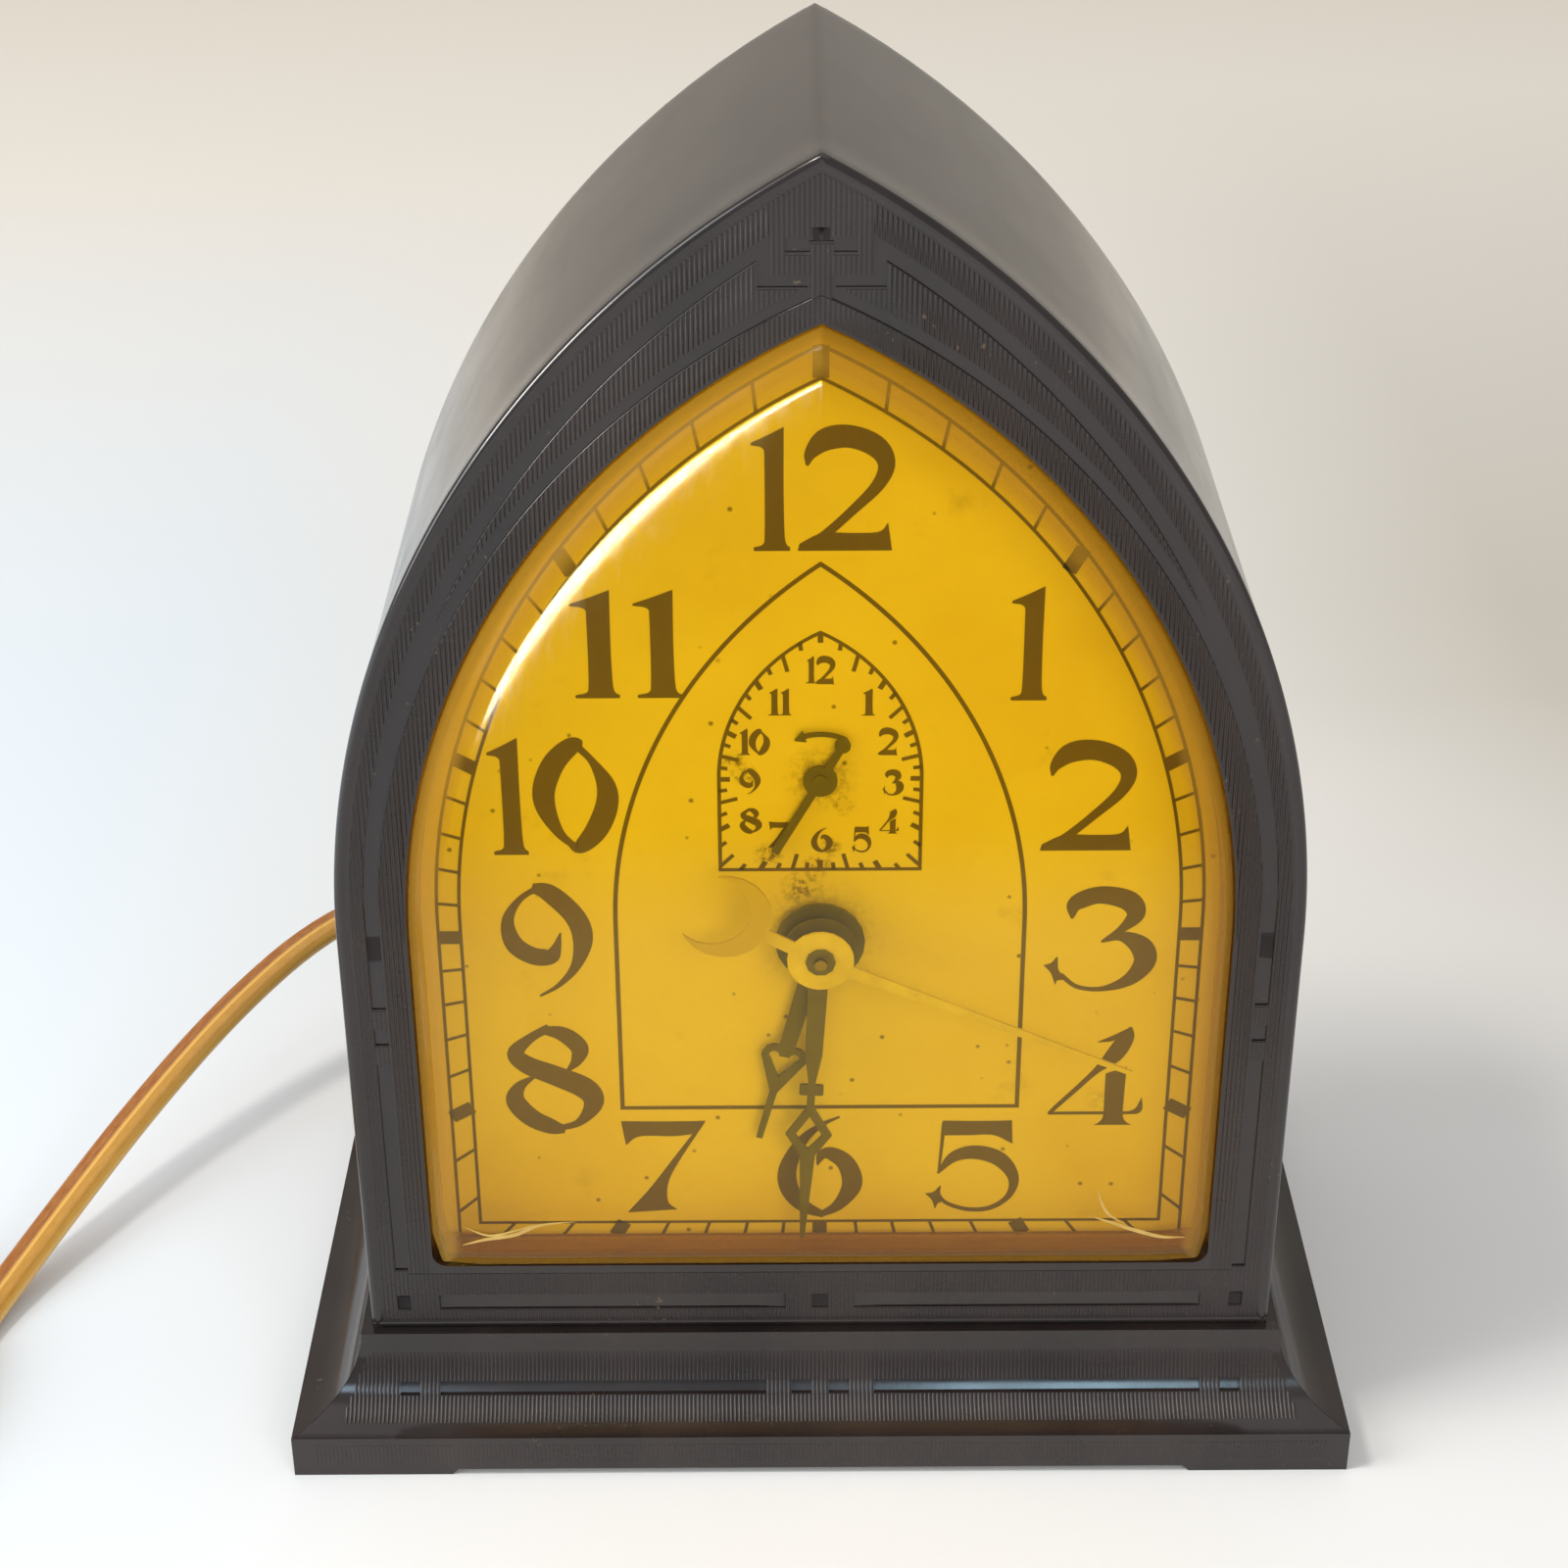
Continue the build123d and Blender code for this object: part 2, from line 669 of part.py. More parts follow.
with BuildPart() as crystal:
    with BuildSketch(facing(crystal_front)):
        add(window_face(CRYSTAL_FIT))
    extrude(amount=crystal_front - dial_face)
    chamfer(crystal.faces().sort_by(Axis.Y)[0].edges(), CRYSTAL_BEVEL)
    with BuildSketch(facing(crystal_front)) as crystal_outline:
        add(window_face(CRYSTAL_FIT))
        fillet(crystal_outline.vertices().group_by(Axis.Y)[0], WINDOW_CORNER - CRYSTAL_FIT)
    extrude(amount=crystal_front - dial_face, mode=Mode.INTERSECT)
    with BuildSketch(facing(face_back)):
        add(window_face(-FLANGE_WIDTH))
    extrude(amount=-FLANGE_THICK)
    add(crystal_hollow.part, mode=Mode.SUBTRACT)
write(crystal, "crystal")

# Dial, a flat plate that holds the crystal's flange against the face
with BuildPart() as dial_plate:
    with BuildSketch(facing(dial_face)):
        add(window_face(DIAL_FIT - FLANGE_WIDTH))
        with Locations(centre_spot):
            rod(hour_radius + DIAL_BORE_ROOM, mode=Mode.SUBTRACT)
        with Locations(alarm_spot):
            rod(SET_ARBOR_RADIUS + DIAL_BORE_ROOM, mode=Mode.SUBTRACT)
    extrude(amount=-DIAL_THICK)
write(dial_plate, "dial_plate")


def plate_face(bores):
    """Movement plate with cut corners and a bore for each arbor."""
    with BuildSketch() as face:
        with Locations((0, (plate_bottom + plate_top) / 2)):
            Rectangle(2 * PLATE_HALF, plate_top - plate_bottom)
        chamfer(face.vertices(), PLATE_CORNER)
        for spot, radius in bores:
            with Locations(spot):
                rod(radius, mode=Mode.SUBTRACT)
    return face.sketch


set_bore = running_bore(SET_ARBOR_RADIUS)
front_bores = [
    (centre_spot, BUSH_RADIUS),
    (reduction_spot, tube_bore),
    (minute_spot, set_bore),
    (alarm_spot, set_bore),
]
back_bores = [
    (centre_spot, tube_bore),
    (reduction_spot, tube_bore),
    (motor_spot, tube_bore),
    (minute_spot, set_bore),
    (alarm_spot, set_bore),
    (switch_spot, running_bore(SWITCH_RADIUS)),
]
with BuildPart() as front_plate:
    with BuildSketch(facing(front_plate_y)):
        add(plate_face(front_bores))
    extrude(amount=-PLATE_THICK)
write(front_plate, "front_plate")

with BuildPart() as back_plate:
    with BuildSketch(facing(back_plate_y)):
        add(plate_face(back_bores))
    extrude(amount=-PLATE_THICK)
write(back_plate, "back_plate")


def posts(radius, start, end):
    """One six-sided post at each corner of the movement, from one depth to another."""
    with BuildPart() as group:
        with BuildSketch(facing(start)):
            with Locations(*pillar_spots):
                RegularPolygon(radius, HEX_SIDES)
        extrude(amount=start - end)
    return group


plate_pillars = posts(PILLAR_RADIUS, front_plate_rear, back_plate_y)
write(plate_pillars, "plate_pillars")
dial_posts = posts(DIAL_POST_RADIUS, dial_back, front_plate_y)
write(dial_posts, "dial_posts")
movement_posts = posts(PILLAR_RADIUS, back_plate_rear, cover_front)
write(movement_posts, "movement_posts")

with BuildPart() as centre_bush:
    with BuildSketch(facing(front_plate_y, centre_spot)):
        rod(BUSH_RADIUS)
        rod(cannon_bore, mode=Mode.SUBTRACT)
    extrude(amount=-PLATE_THICK)
write(centre_bush, "centre_bush")

# Depths of the wheels, back from the dial's face
hour_wheel_y = dial_face + HOUR_WHEEL_BACK
cannon_y = dial_face + CANNON_BACK
centre_wheel_y = dial_face + CENTRE_WHEEL_BACK
reduction_wheel_y = dial_face + REDUCTION_WHEEL_BACK
seconds_wheel_y = dial_face + SECONDS_WHEEL_BACK
pinion_lap = (PINION_THICK - WHEEL_THICK) / 2
hour_hand_y = dial_face - HOUR_HAND_LIFT - HAND_THICK
minute_hand_y = dial_face - MINUTE_HAND_LIFT - HAND_THICK
seconds_hand_y = dial_face - SECONDS_HAND_LIFT - HAND_THICK
alarm_hand_y = dial_face - ALARM_HAND_LIFT - HAND_THICK

# Bearings of one tooth on every gear, each pair in mesh along its centre line
seconds_tooth = MOTOR_BEARING
motor_tooth = meshing(seconds_tooth, SECONDS_TEETH, MOTOR_BEARING, MOTOR_TEETH)
seconds_pinion_tooth = REDUCTION_BEARING
reduction_tooth = meshing(
    seconds_pinion_tooth, SECONDS_PINION_TEETH, REDUCTION_BEARING, REDUCTION_TEETH
)
reduction_pinion_tooth = REDUCTION_BEARING + 180
centre_tooth = meshing(
    reduction_pinion_tooth, REDUCTION_PINION_TEETH, REDUCTION_BEARING + 180, CENTRE_TEETH
)
cannon_tooth = MINUTE_BEARING
minute_tooth = meshing(cannon_tooth, CANNON_TEETH, MINUTE_BEARING, MINUTE_TEETH)
minute_pinion_tooth = MINUTE_BEARING + 180
hour_tooth = meshing(
    minute_pinion_tooth, MINUTE_PINION_TEETH, MINUTE_BEARING + 180, HOUR_TEETH
)
alarm_tooth = meshing(hour_tooth, HOUR_TEETH, 90, HOUR_TEETH)

# Seconds arbor with its pinion, wheel, hand and bush
with BuildPart() as seconds_arbor:
    with BuildSketch(facing(seconds_hand_y - 1.0, centre_spot)):
        rod(ARBOR_RADIUS)
    extrude(amount=seconds_hand_y - 1.0 - back_plate_rear)
    with BuildSketch(facing(reduction_wheel_y - pinion_lap, centre_spot)):
        add(
            gear_face(
                SECONDS_PINION_TEETH, reduction_module, seconds_pinion_tooth, ARBOR_RADIUS
            )
        )
    extrude(amount=-PINION_THICK)
write(seconds_arbor, "seconds_arbor")

with BuildPart() as seconds_wheel:
    with BuildSketch(facing(seconds_wheel_y, centre_spot)):
        add(wheel_face(SECONDS_TEETH, motor_module, seconds_tooth, ARBOR_RADIUS))
    extrude(amount=-WHEEL_THICK)
write(seconds_wheel, "seconds_wheel")

with BuildPart() as motor_pinion:
    with BuildSketch(facing(seconds_wheel_y - pinion_lap, motor_spot)):
        add(gear_face(MOTOR_TEETH, motor_module, motor_tooth, ARBOR_RADIUS))
    extrude(amount=-PINION_THICK)
    with BuildSketch(facing(seconds_wheel_y - pinion_lap, motor_spot)):
        rod(ARBOR_RADIUS)
    extrude(amount=seconds_wheel_y - pinion_lap - back_plate_rear + RUN_FIT)
write(motor_pinion, "motor_pinion")

with BuildPart() as reduction_arbor:
    with BuildSketch(facing(front_plate_y, reduction_spot)):
        rod(ARBOR_RADIUS)
    extrude(amount=front_plate_y - back_plate_rear)
    with BuildSketch(facing(centre_wheel_y - pinion_lap, reduction_spot)):
        add(
            gear_face(
                REDUCTION_PINION_TEETH, centre_module, reduction_pinion_tooth, ARBOR_RADIUS
            )
        )
    extrude(amount=-PINION_THICK)
write(reduction_arbor, "reduction_arbor")

with BuildPart() as reduction_wheel:
    with BuildSketch(facing(reduction_wheel_y, reduction_spot)):
        add(wheel_face(REDUCTION_TEETH, reduction_module, reduction_tooth, ARBOR_RADIUS))
    extrude(amount=-WHEEL_THICK)
write(reduction_wheel, "reduction_wheel")

with BuildPart() as centre_tube:
    with BuildSketch(facing(minute_hand_y - 2 * PIPE_STEP, centre_spot)):
        rod(tube_radius)
        rod(tube_bore, mode=Mode.SUBTRACT)
    extrude(amount=minute_hand_y - 2 * PIPE_STEP - centre_wheel_y - WHEEL_THICK)
write(centre_tube, "centre_tube")

with BuildPart() as centre_wheel:
    with BuildSketch(facing(centre_wheel_y, centre_spot)):
        add(wheel_face(CENTRE_TEETH, centre_module, centre_tooth, tube_radius))
    extrude(amount=-WHEEL_THICK)
write(centre_wheel, "centre_wheel")

# Motion work in front of the plate: cannon pinion, minute wheel, hour wheel, alarm wheel
with BuildPart() as cannon_pinion:
    with BuildSketch(facing(minute_hand_y - PIPE_STEP, centre_spot)):
        rod(cannon_radius)
        rod(cannon_bore, mode=Mode.SUBTRACT)
    extrude(amount=minute_hand_y - PIPE_STEP - cannon_y)
    with BuildSketch(facing(cannon_y - pinion_lap, centre_spot)):
        add(gear_face(CANNON_TEETH, cannon_module, cannon_tooth, cannon_bore))
    extrude(amount=-PINION_THICK)
write(cannon_pinion, "cannon_pinion")

knob_front = cover_rear + KNOB_STAND
knob_rear = knob_front + KNOB_LENGTH
arbor_end = knob_rear - 2.0
with BuildPart() as minute_arbor:
    with BuildSketch(facing(hour_wheel_y - pinion_lap, minute_spot)):
        rod(SET_ARBOR_RADIUS)
    extrude(amount=hour_wheel_y - pinion_lap - arbor_end)
    with BuildSketch(facing(hour_wheel_y - pinion_lap, minute_spot)):
        add(
            gear_face(
                MINUTE_PINION_TEETH, hour_module, minute_pinion_tooth, SET_ARBOR_RADIUS
            )
        )
    extrude(amount=-PINION_THICK)
write(minute_arbor, "minute_arbor")

with BuildPart() as minute_wheel:
    with BuildSketch(facing(cannon_y, minute_spot)):
        add(wheel_face(MINUTE_TEETH, cannon_module, minute_tooth, SET_ARBOR_RADIUS))
    extrude(amount=-WHEEL_THICK)
write(minute_wheel, "minute_wheel")

with BuildPart() as hour_wheel:
    with BuildSketch(facing(hour_wheel_y, centre_spot)):
        add(wheel_face(HOUR_TEETH, hour_module, hour_tooth, hour_bore))
    extrude(amount=-WHEEL_THICK)
    with BuildSketch(facing(hour_hand_y - PIPE_STEP, centre_spot)):
        rod(hour_radius)
        rod(hour_bore, mode=Mode.SUBTRACT)
    extrude(amount=hour_hand_y - PIPE_STEP - hour_wheel_y)
write(hour_wheel, "hour_wheel")

with BuildPart() as alarm_wheel:
    with BuildSketch(facing(hour_wheel_y, alarm_spot)):
        add(wheel_face(HOUR_TEETH, hour_module, alarm_tooth, set_bore))
    extrude(amount=-WHEEL_THICK)
write(alarm_wheel, "alarm_wheel")

# Alarm arbor, with the cam that the alarm wheel works against
cam_y = hour_wheel_y + WHEEL_THICK + PIPE_STEP
with BuildPart() as alarm_arbor:
    with BuildSketch(facing(alarm_hand_y - PIPE_STEP, alarm_spot)):
        rod(SET_ARBOR_RADIUS)
    extrude(amount=alarm_hand_y - PIPE_STEP - arbor_end)
write(alarm_arbor, "alarm_arbor")

with BuildPart() as alarm_cam:
    with BuildSketch(facing(cam_y, alarm_spot)):
        rod(CAM_RADIUS)
        rod(SET_ARBOR_RADIUS, mode=Mode.SUBTRACT)
        with Locations((0, CAM_RADIUS)):
            Rectangle(2 * CAM_NOTCH, 2 * CAM_NOTCH, mode=Mode.SUBTRACT)
    extrude(amount=-WHEEL_THICK)
write(alarm_cam, "alarm_cam")


knob_outline = []
for flute in range(KNOB_FLUTES):
    for share, reach in ((0.0, KNOB_RADIUS), (0.4, KNOB_RADIUS), (0.7, KNOB_RADIUS - KNOB_FLUTE_DEPTH)):
        bearing = 2 * pi * (flute + share) / KNOB_FLUTES
        knob_outline.append((reach * cos(bearing), reach * sin(bearing)))


def knob(spot):
    """Fluted setting knob with a blind bore on its arbor."""
    with BuildPart() as turned:
        with BuildSketch(facing(knob_front, spot)):
            with BuildLine():
                Polyline(*knob_outline, close=True)
            make_face()
        extrude(amount=-KNOB_LENGTH)
        with BuildSketch(facing(knob_front, spot)):
            rod(SET_ARBOR_RADIUS)
        extrude(amount=knob_front - arbor_end, mode=Mode.SUBTRACT)
    return turned


time_set_knob = knob(minute_spot)
write(time_set_knob, "time_set_knob")
alarm_set_knob = knob(alarm_spot)
write(alarm_set_knob, "alarm_set_knob")


# Hands, each drawn pointing to twelve and turned to its place
def hour_hand_face():
    """Disc, tapered stem, pierced heart and flagged tip."""
    stem = 1.25
    neck = 0.5
    lobe = HEART_HALF / 2 + 0.15
    hole = lobe - HEART_LINE
    with BuildSketch() as face:
        disc(HOUR_HUB)
        with BuildLine():
            Polyline((-stem, 0), (stem, 0), (stem * 0.8, HEART_AT), (-stem * 0.8, HEART_AT), close=True)
        make_face()
        with Locations((-HEART_HALF + lobe, HEART_AT), (HEART_HALF - lobe, HEART_AT)):
            rod(lobe)
        with BuildLine():
            Polyline(
                (-HEART_HALF, HEART_AT + 0.3),
                (HEART_HALF, HEART_AT + 0.3),
                (neck, HEART_TAIL),
                (-neck, HEART_TAIL),
                close=True,
            )
        make_face()
        with Locations((-HEART_HALF + lobe, HEART_AT), (HEART_HALF - lobe, HEART_AT)):
            rod(hole, mode=Mode.SUBTRACT)
        with BuildLine():
            Polyline(
                (-HEART_HALF + HEART_LINE, HEART_AT),
                (HEART_HALF - HEART_LINE, HEART_AT),
                (0, HEART_TAIL - 2 * HEART_LINE - neck),
                close=True,
            )
        make_face(mode=Mode.SUBTRACT)
        with BuildLine():
            Polyline(
                (-neck, HEART_TAIL - neck),
                (neck, HEART_TAIL - neck),
                (neck * 0.7, HOUR_REACH),
                (-neck * 0.9, HOUR_REACH),
                close=True,
            )
        make_face()
    return face.sketch


def minute_hand_face():
    """Disc, tapered stem, crossbar, open diamond and a long blade."""
    stem = 1.3
    waist = 0.5
    blade = 1.0
    with BuildSketch() as face:
        disc(MINUTE_HUB)
        with BuildLine():
            Polyline(
                (-stem, 0),
                (stem, 0),
                (stem * 0.85, CROSSBAR_AT - 5.5),
                (waist, CROSSBAR_AT - 1.4),
                (waist, DIAMOND_TOP),
                (-waist, DIAMOND_TOP),
                (-waist, CROSSBAR_AT - 1.4),
                (-stem * 0.85, CROSSBAR_AT - 5.5),
                close=True,
            )
        make_face()
        with Locations((0, CROSSBAR_AT)):
            RectangleRounded(2 * CROSSBAR_HALF, 1.6, 0.3)
        with BuildLine():
            Polyline(
                (-waist, DIAMOND_TOP - waist),
                (waist, DIAMOND_TOP - waist),
                (DIAMOND_HALF, DIAMOND_AT),
                (blade, DIAMOND_LOW + waist),
                (-blade, DIAMOND_LOW + waist),
                (-DIAMOND_HALF, DIAMOND_AT),
                close=True,
            )
        make_face()
        with BuildLine():
            Polyline(
                (0, DIAMOND_TOP + DIAMOND_LINE),
                (DIAMOND_HALF - 1.5 * DIAMOND_LINE, DIAMOND_AT),
                (0, DIAMOND_LOW - DIAMOND_LINE / 2),
                (-DIAMOND_HALF + 1.5 * DIAMOND_LINE, DIAMOND_AT),
                close=True,
            )
        make_face(mode=Mode.SUBTRACT)
        with BuildLine():
            Polyline(
                (-blade, DIAMOND_LOW + waist),
                (blade, DIAMOND_LOW + waist),
                (waist, MINUTE_REACH - 4.0),
                (waist * 0.6, MINUTE_REACH),
                (-waist * 0.6, MINUTE_REACH),
                (-waist, MINUTE_REACH - 4.0),
                close=True,
            )
        make_face()
    return face.sketch


def seconds_hand_face():
    """Ring, long thin pointer, and a crescent on a short tail."""
    root = 0.85
    tip = 0.3
    tail = radians(CRESCENT_ANGLE - SECONDS_ANGLE)
    moon = (CRESCENT_AT * sin(tail), CRESCENT_AT * cos(tail))
    bite_at = CRESCENT_AT + CRESCENT_SHIFT
    bite = (bite_at * sin(tail), bite_at * cos(tail))
    with BuildSketch() as face:
        disc(SECONDS_HUB)
        with BuildLine():
            Polyline((-root, 0), (root, 0), (tip, SECONDS_REACH), (-tip, SECONDS_REACH), close=True)
        make_face()
        with Locations(Location(moon)):
            disc(CRESCENT_RADIUS)
        with Locations(Location(bite)):
            disc(CRESCENT_BITE, mode=Mode.SUBTRACT)
        with Locations(Location((moon[0] / 2, moon[1] / 2), -degrees(tail))):
            Rectangle(2 * root, CRESCENT_AT / 2)
    return face.sketch


def alarm_hand_face():
    """Disc, pointer, and a tail that ends in a curved arrow."""
    width = 0.5
    blob = 1.0
    arrow = 0.25
    sweep_angle = 46.0
    tip_angle = 12.0
    barb = radians(270 + sweep_angle)
    point = radians(270 + sweep_angle + tip_angle)
    with BuildSketch() as face:
        disc(ALARM_HUB)
        with Locations((0, ALARM_REACH / 2)):
            Rectangle(2 * width, ALARM_REACH)
        with Locations((0, -ALARM_TAIL / 2)):
            Rectangle(2 * width, ALARM_TAIL)
        with Locations((0, -ALARM_TAIL)):
            rod(blob)
        with BuildLine():
            CenterArc((0, 0), ALARM_ARROW + arrow, 270, sweep_angle)
            CenterArc((0, 0), ALARM_ARROW - arrow, 270, sweep_angle)
            Line((0, -ALARM_ARROW - arrow), (0, -ALARM_ARROW + arrow))
            Line(
                ((ALARM_ARROW - arrow) * cos(barb), (ALARM_ARROW - arrow) * sin(barb)),
                ((ALARM_ARROW + arrow) * cos(barb), (ALARM_ARROW + arrow) * sin(barb)),
            )
        make_face()
        with BuildLine():
            Polyline(
                ((ALARM_ARROW + 3 * arrow) * cos(barb), (ALARM_ARROW + 3 * arrow) * sin(barb)),
                ((ALARM_ARROW - 3 * arrow) * cos(barb), (ALARM_ARROW - 3 * arrow) * sin(barb)),
                (ALARM_ARROW * cos(point), ALARM_ARROW * sin(point)),
                close=True,
            )
        make_face()
    return face.sketch


def hand(face, depth, spot, angle, pipe):
    """Sheet-metal hand of one face, turned clockwise from twelve, on a pipe or arbor."""
    with BuildPart() as blade:
        with BuildSketch(facing(depth, spot)):
            add(face, rotation=-angle)
            rod(pipe, mode=Mode.SUBTRACT)
        extrude(amount=-HAND_THICK)
    return blade


hour_hand = hand(hour_hand_face(), hour_hand_y, centre_spot, HOUR_ANGLE, hour_radius)
write(hour_hand, "hour_hand")
minute_hand = hand(minute_hand_face(), minute_hand_y, centre_spot, MINUTE_ANGLE, cannon_radius)
write(minute_hand, "minute_hand")
seconds_hand = hand(seconds_hand_face(), seconds_hand_y, centre_spot, SECONDS_ANGLE, BUSH_HEAD)
write(seconds_hand, "seconds_hand")
alarm_hand = hand(alarm_hand_face(), alarm_hand_y, alarm_spot, ALARM_ANGLE, SET_ARBOR_RADIUS)
write(alarm_hand, "alarm_hand")

with BuildPart() as seconds_bush:
    with BuildSketch(facing(seconds_hand_y - HAND_THICK, centre_spot)):
        rod(BUSH_HEAD)
        rod(ARBOR_RADIUS, mode=Mode.SUBTRACT)
    extrude(amount=-3 * HAND_THICK)
write(seconds_bush, "seconds_bush")

# Motor: sealed rotor capsule in a laminated stator, with its coil on the lower yoke
with BuildPart() as rotor_capsule:
    with BuildSketch(facing(back_plate_rear, motor_spot)):
        disc(CAPSULE_RADIUS)
    extrude(amount=-CAPSULE_DEPTH)
write(rotor_capsule, "rotor_capsule")

stator_y = back_plate_rear + STATOR_STAND
pole_bore = CAPSULE_RADIUS + CAPSULE_FIT
stator_half = pole_bore + STATOR_ARM
stator_bottom = motor_spot[1] - STATOR_LOW
stator_top = motor_spot[1] + STATOR_HIGH
yoke_top = stator_bottom + YOKE_HEIGHT
yoke_middle = stator_bottom + YOKE_HEIGHT / 2
spacer_low = motor_spot[1] - CAPSULE_RADIUS
spacer_spots = [
    (motor_spot[0] + side * (pole_bore + STATOR_ARM / 2), z)
    for side in (-1, 1)
    for z in (spacer_low, stator_top - SPACER_RADIUS - PIPE_STEP)
]
shoe_low = motor_spot[1] - pole_bore
with BuildPart() as stator_core:
    with BuildSketch(facing(stator_y)):
        with Locations((motor_spot[0], (stator_bottom + stator_top) / 2)):
            Rectangle(2 * stator_half, stator_top - stator_bottom)
        with Locations(motor_spot):
            disc(pole_bore, mode=Mode.SUBTRACT)
        with Locations((motor_spot[0], stator_top)):
            Rectangle(POLE_GAP, 2 * STATOR_HIGH, mode=Mode.SUBTRACT)
        with Locations((motor_spot[0], (yoke_top + motor_spot[1]) / 2)):
            Rectangle(POLE_GAP, motor_spot[1] - yoke_top, mode=Mode.SUBTRACT)
        with Locations((motor_spot[0], (yoke_top + shoe_low) / 2)):
            Rectangle(2 * pole_bore, shoe_low - yoke_top, mode=Mode.SUBTRACT)
    extrude(amount=-STATOR_STACK)
write(stator_core, "stator_core")

with BuildPart() as stator_spacers:
    with BuildSketch(facing(back_plate_rear)):
        with Locations(*spacer_spots):
            RegularPolygon(SPACER_RADIUS, HEX_SIDES)
    extrude(amount=-STATOR_STAND)
write(stator_spacers, "stator_spacers")

yoke_depth = stator_y + STATOR_STACK / 2
yoke_centre = (motor_spot[0], yoke_depth, yoke_middle)
bobbin_length = 2 * pole_bore - 2 * BOBBIN_CLEAR
bobbin_plane = Plane(origin=yoke_centre, x_dir=(0, 1, 0), z_dir=(1, 0, 0))
sleeve_deep = STATOR_STACK + 2 * BOBBIN_WALL
sleeve_high = YOKE_HEIGHT + 2 * BOBBIN_WALL
with BuildPart() as coil_bobbin:
    with BuildSketch(bobbin_plane):
        Rectangle(sleeve_deep, sleeve_high)
        Rectangle(STATOR_STACK, YOKE_HEIGHT, mode=Mode.SUBTRACT)
    extrude(amount=bobbin_length / 2, both=True)
    for end in (-bobbin_length / 2, bobbin_length / 2 - BOBBIN_FLANGE):
        with BuildSketch(bobbin_plane.offset(end)):
            Rectangle(sleeve_deep + 2 * COIL_RADIAL, sleeve_high + 2 * COIL_RADIAL)
            Rectangle(STATOR_STACK, YOKE_HEIGHT, mode=Mode.SUBTRACT)
        extrude(amount=BOBBIN_FLANGE)
write(coil_bobbin, "coil_bobbin")

with BuildPart() as coil_winding:
    with BuildSketch(bobbin_plane):
        winding = Rectangle(
            sleeve_deep + 2 * COIL_RADIAL - BOBBIN_WALL, sleeve_high + 2 * COIL_RADIAL - BOBBIN_WALL
        )
        chamfer(winding.vertices(), COIL_RADIAL / 2)
        Rectangle(sleeve_deep, sleeve_high, mode=Mode.SUBTRACT)
    extrude(amount=bobbin_length / 2 - BOBBIN_FLANGE, both=True)
write(coil_winding, "coil_winding")

# Buzzer: a steel reed on a bracket, its armature beside the stator's right arm
reed_x = motor_spot[0] + stator_half + REED_GAP + ARMATURE_THICK
reed_middle = stator_y + STATOR_STACK / 2
bracket_x = reed_x + REED_THICK + 2 * RUN_FIT
bracket_low = stator_top + 2.0
reed_top = bracket_low + BRACKET_HEIGHT - 2.0
with BuildPart() as reed_bracket:
    with BuildSketch(facing(back_plate_rear)):
        with Locations((bracket_x + BRACKET_WIDTH / 2, bracket_low + BRACKET_HEIGHT / 2)):
            Rectangle(BRACKET_WIDTH, BRACKET_HEIGHT)
    extrude(amount=-BRACKET_DEPTH)
write(reed_bracket, "reed_bracket")

with BuildPart() as buzzer_reed:
    with BuildSketch(facing(reed_middle - REED_WIDTH / 2)):
        with Locations((reed_x + REED_THICK / 2, reed_top - REED_LENGTH / 2)):
            Rectangle(REED_THICK, REED_LENGTH)
        with Locations(
            (reed_x - ARMATURE_THICK / 2, reed_top - REED_LENGTH + ARMATURE_LENGTH / 2)
        ):
            Rectangle(ARMATURE_THICK, ARMATURE_LENGTH)
    extrude(amount=-REED_WIDTH)
write(buzzer_reed, "buzzer_reed")

# Alarm shut-off: a shaft with an arm inside, and a lever behind the back cover
lever_front = cover_rear + KNOB_STAND
arm_y = back_plate_rear + BRACKET_DEPTH + 2.0
with BuildPart() as switch_shaft:
    with BuildSketch(facing(back_plate_y, switch_spot)):
        rod(SWITCH_RADIUS)
    extrude(amount=back_plate_y - lever_front)
    with BuildSketch(facing(arm_y, switch_spot)):
        with Locations((-LEVER_REACH / 4, 0)):
            Rectangle(LEVER_REACH, 2 * LEVER_TIP)
    extrude(amount=-PLATE_THICK)
write(switch_shaft, "switch_shaft")

with BuildPart() as switch_lever:
    with BuildSketch(facing(lever_front, switch_spot)):
        rod(LEVER_ROOT)
        with BuildLine():
            Polyline(
                (-LEVER_ROOT * 0.9, 1.4),
                (LEVER_ROOT * 0.9, 1.4),
                (LEVER_TIP, LEVER_REACH),
                (-LEVER_TIP, LEVER_REACH),
                close=True,
            )
        make_face()
        with Locations((0, LEVER_REACH)):
            rod(LEVER_TIP)
    extrude(amount=-LEVER_THICK)
write(switch_lever, "switch_lever")

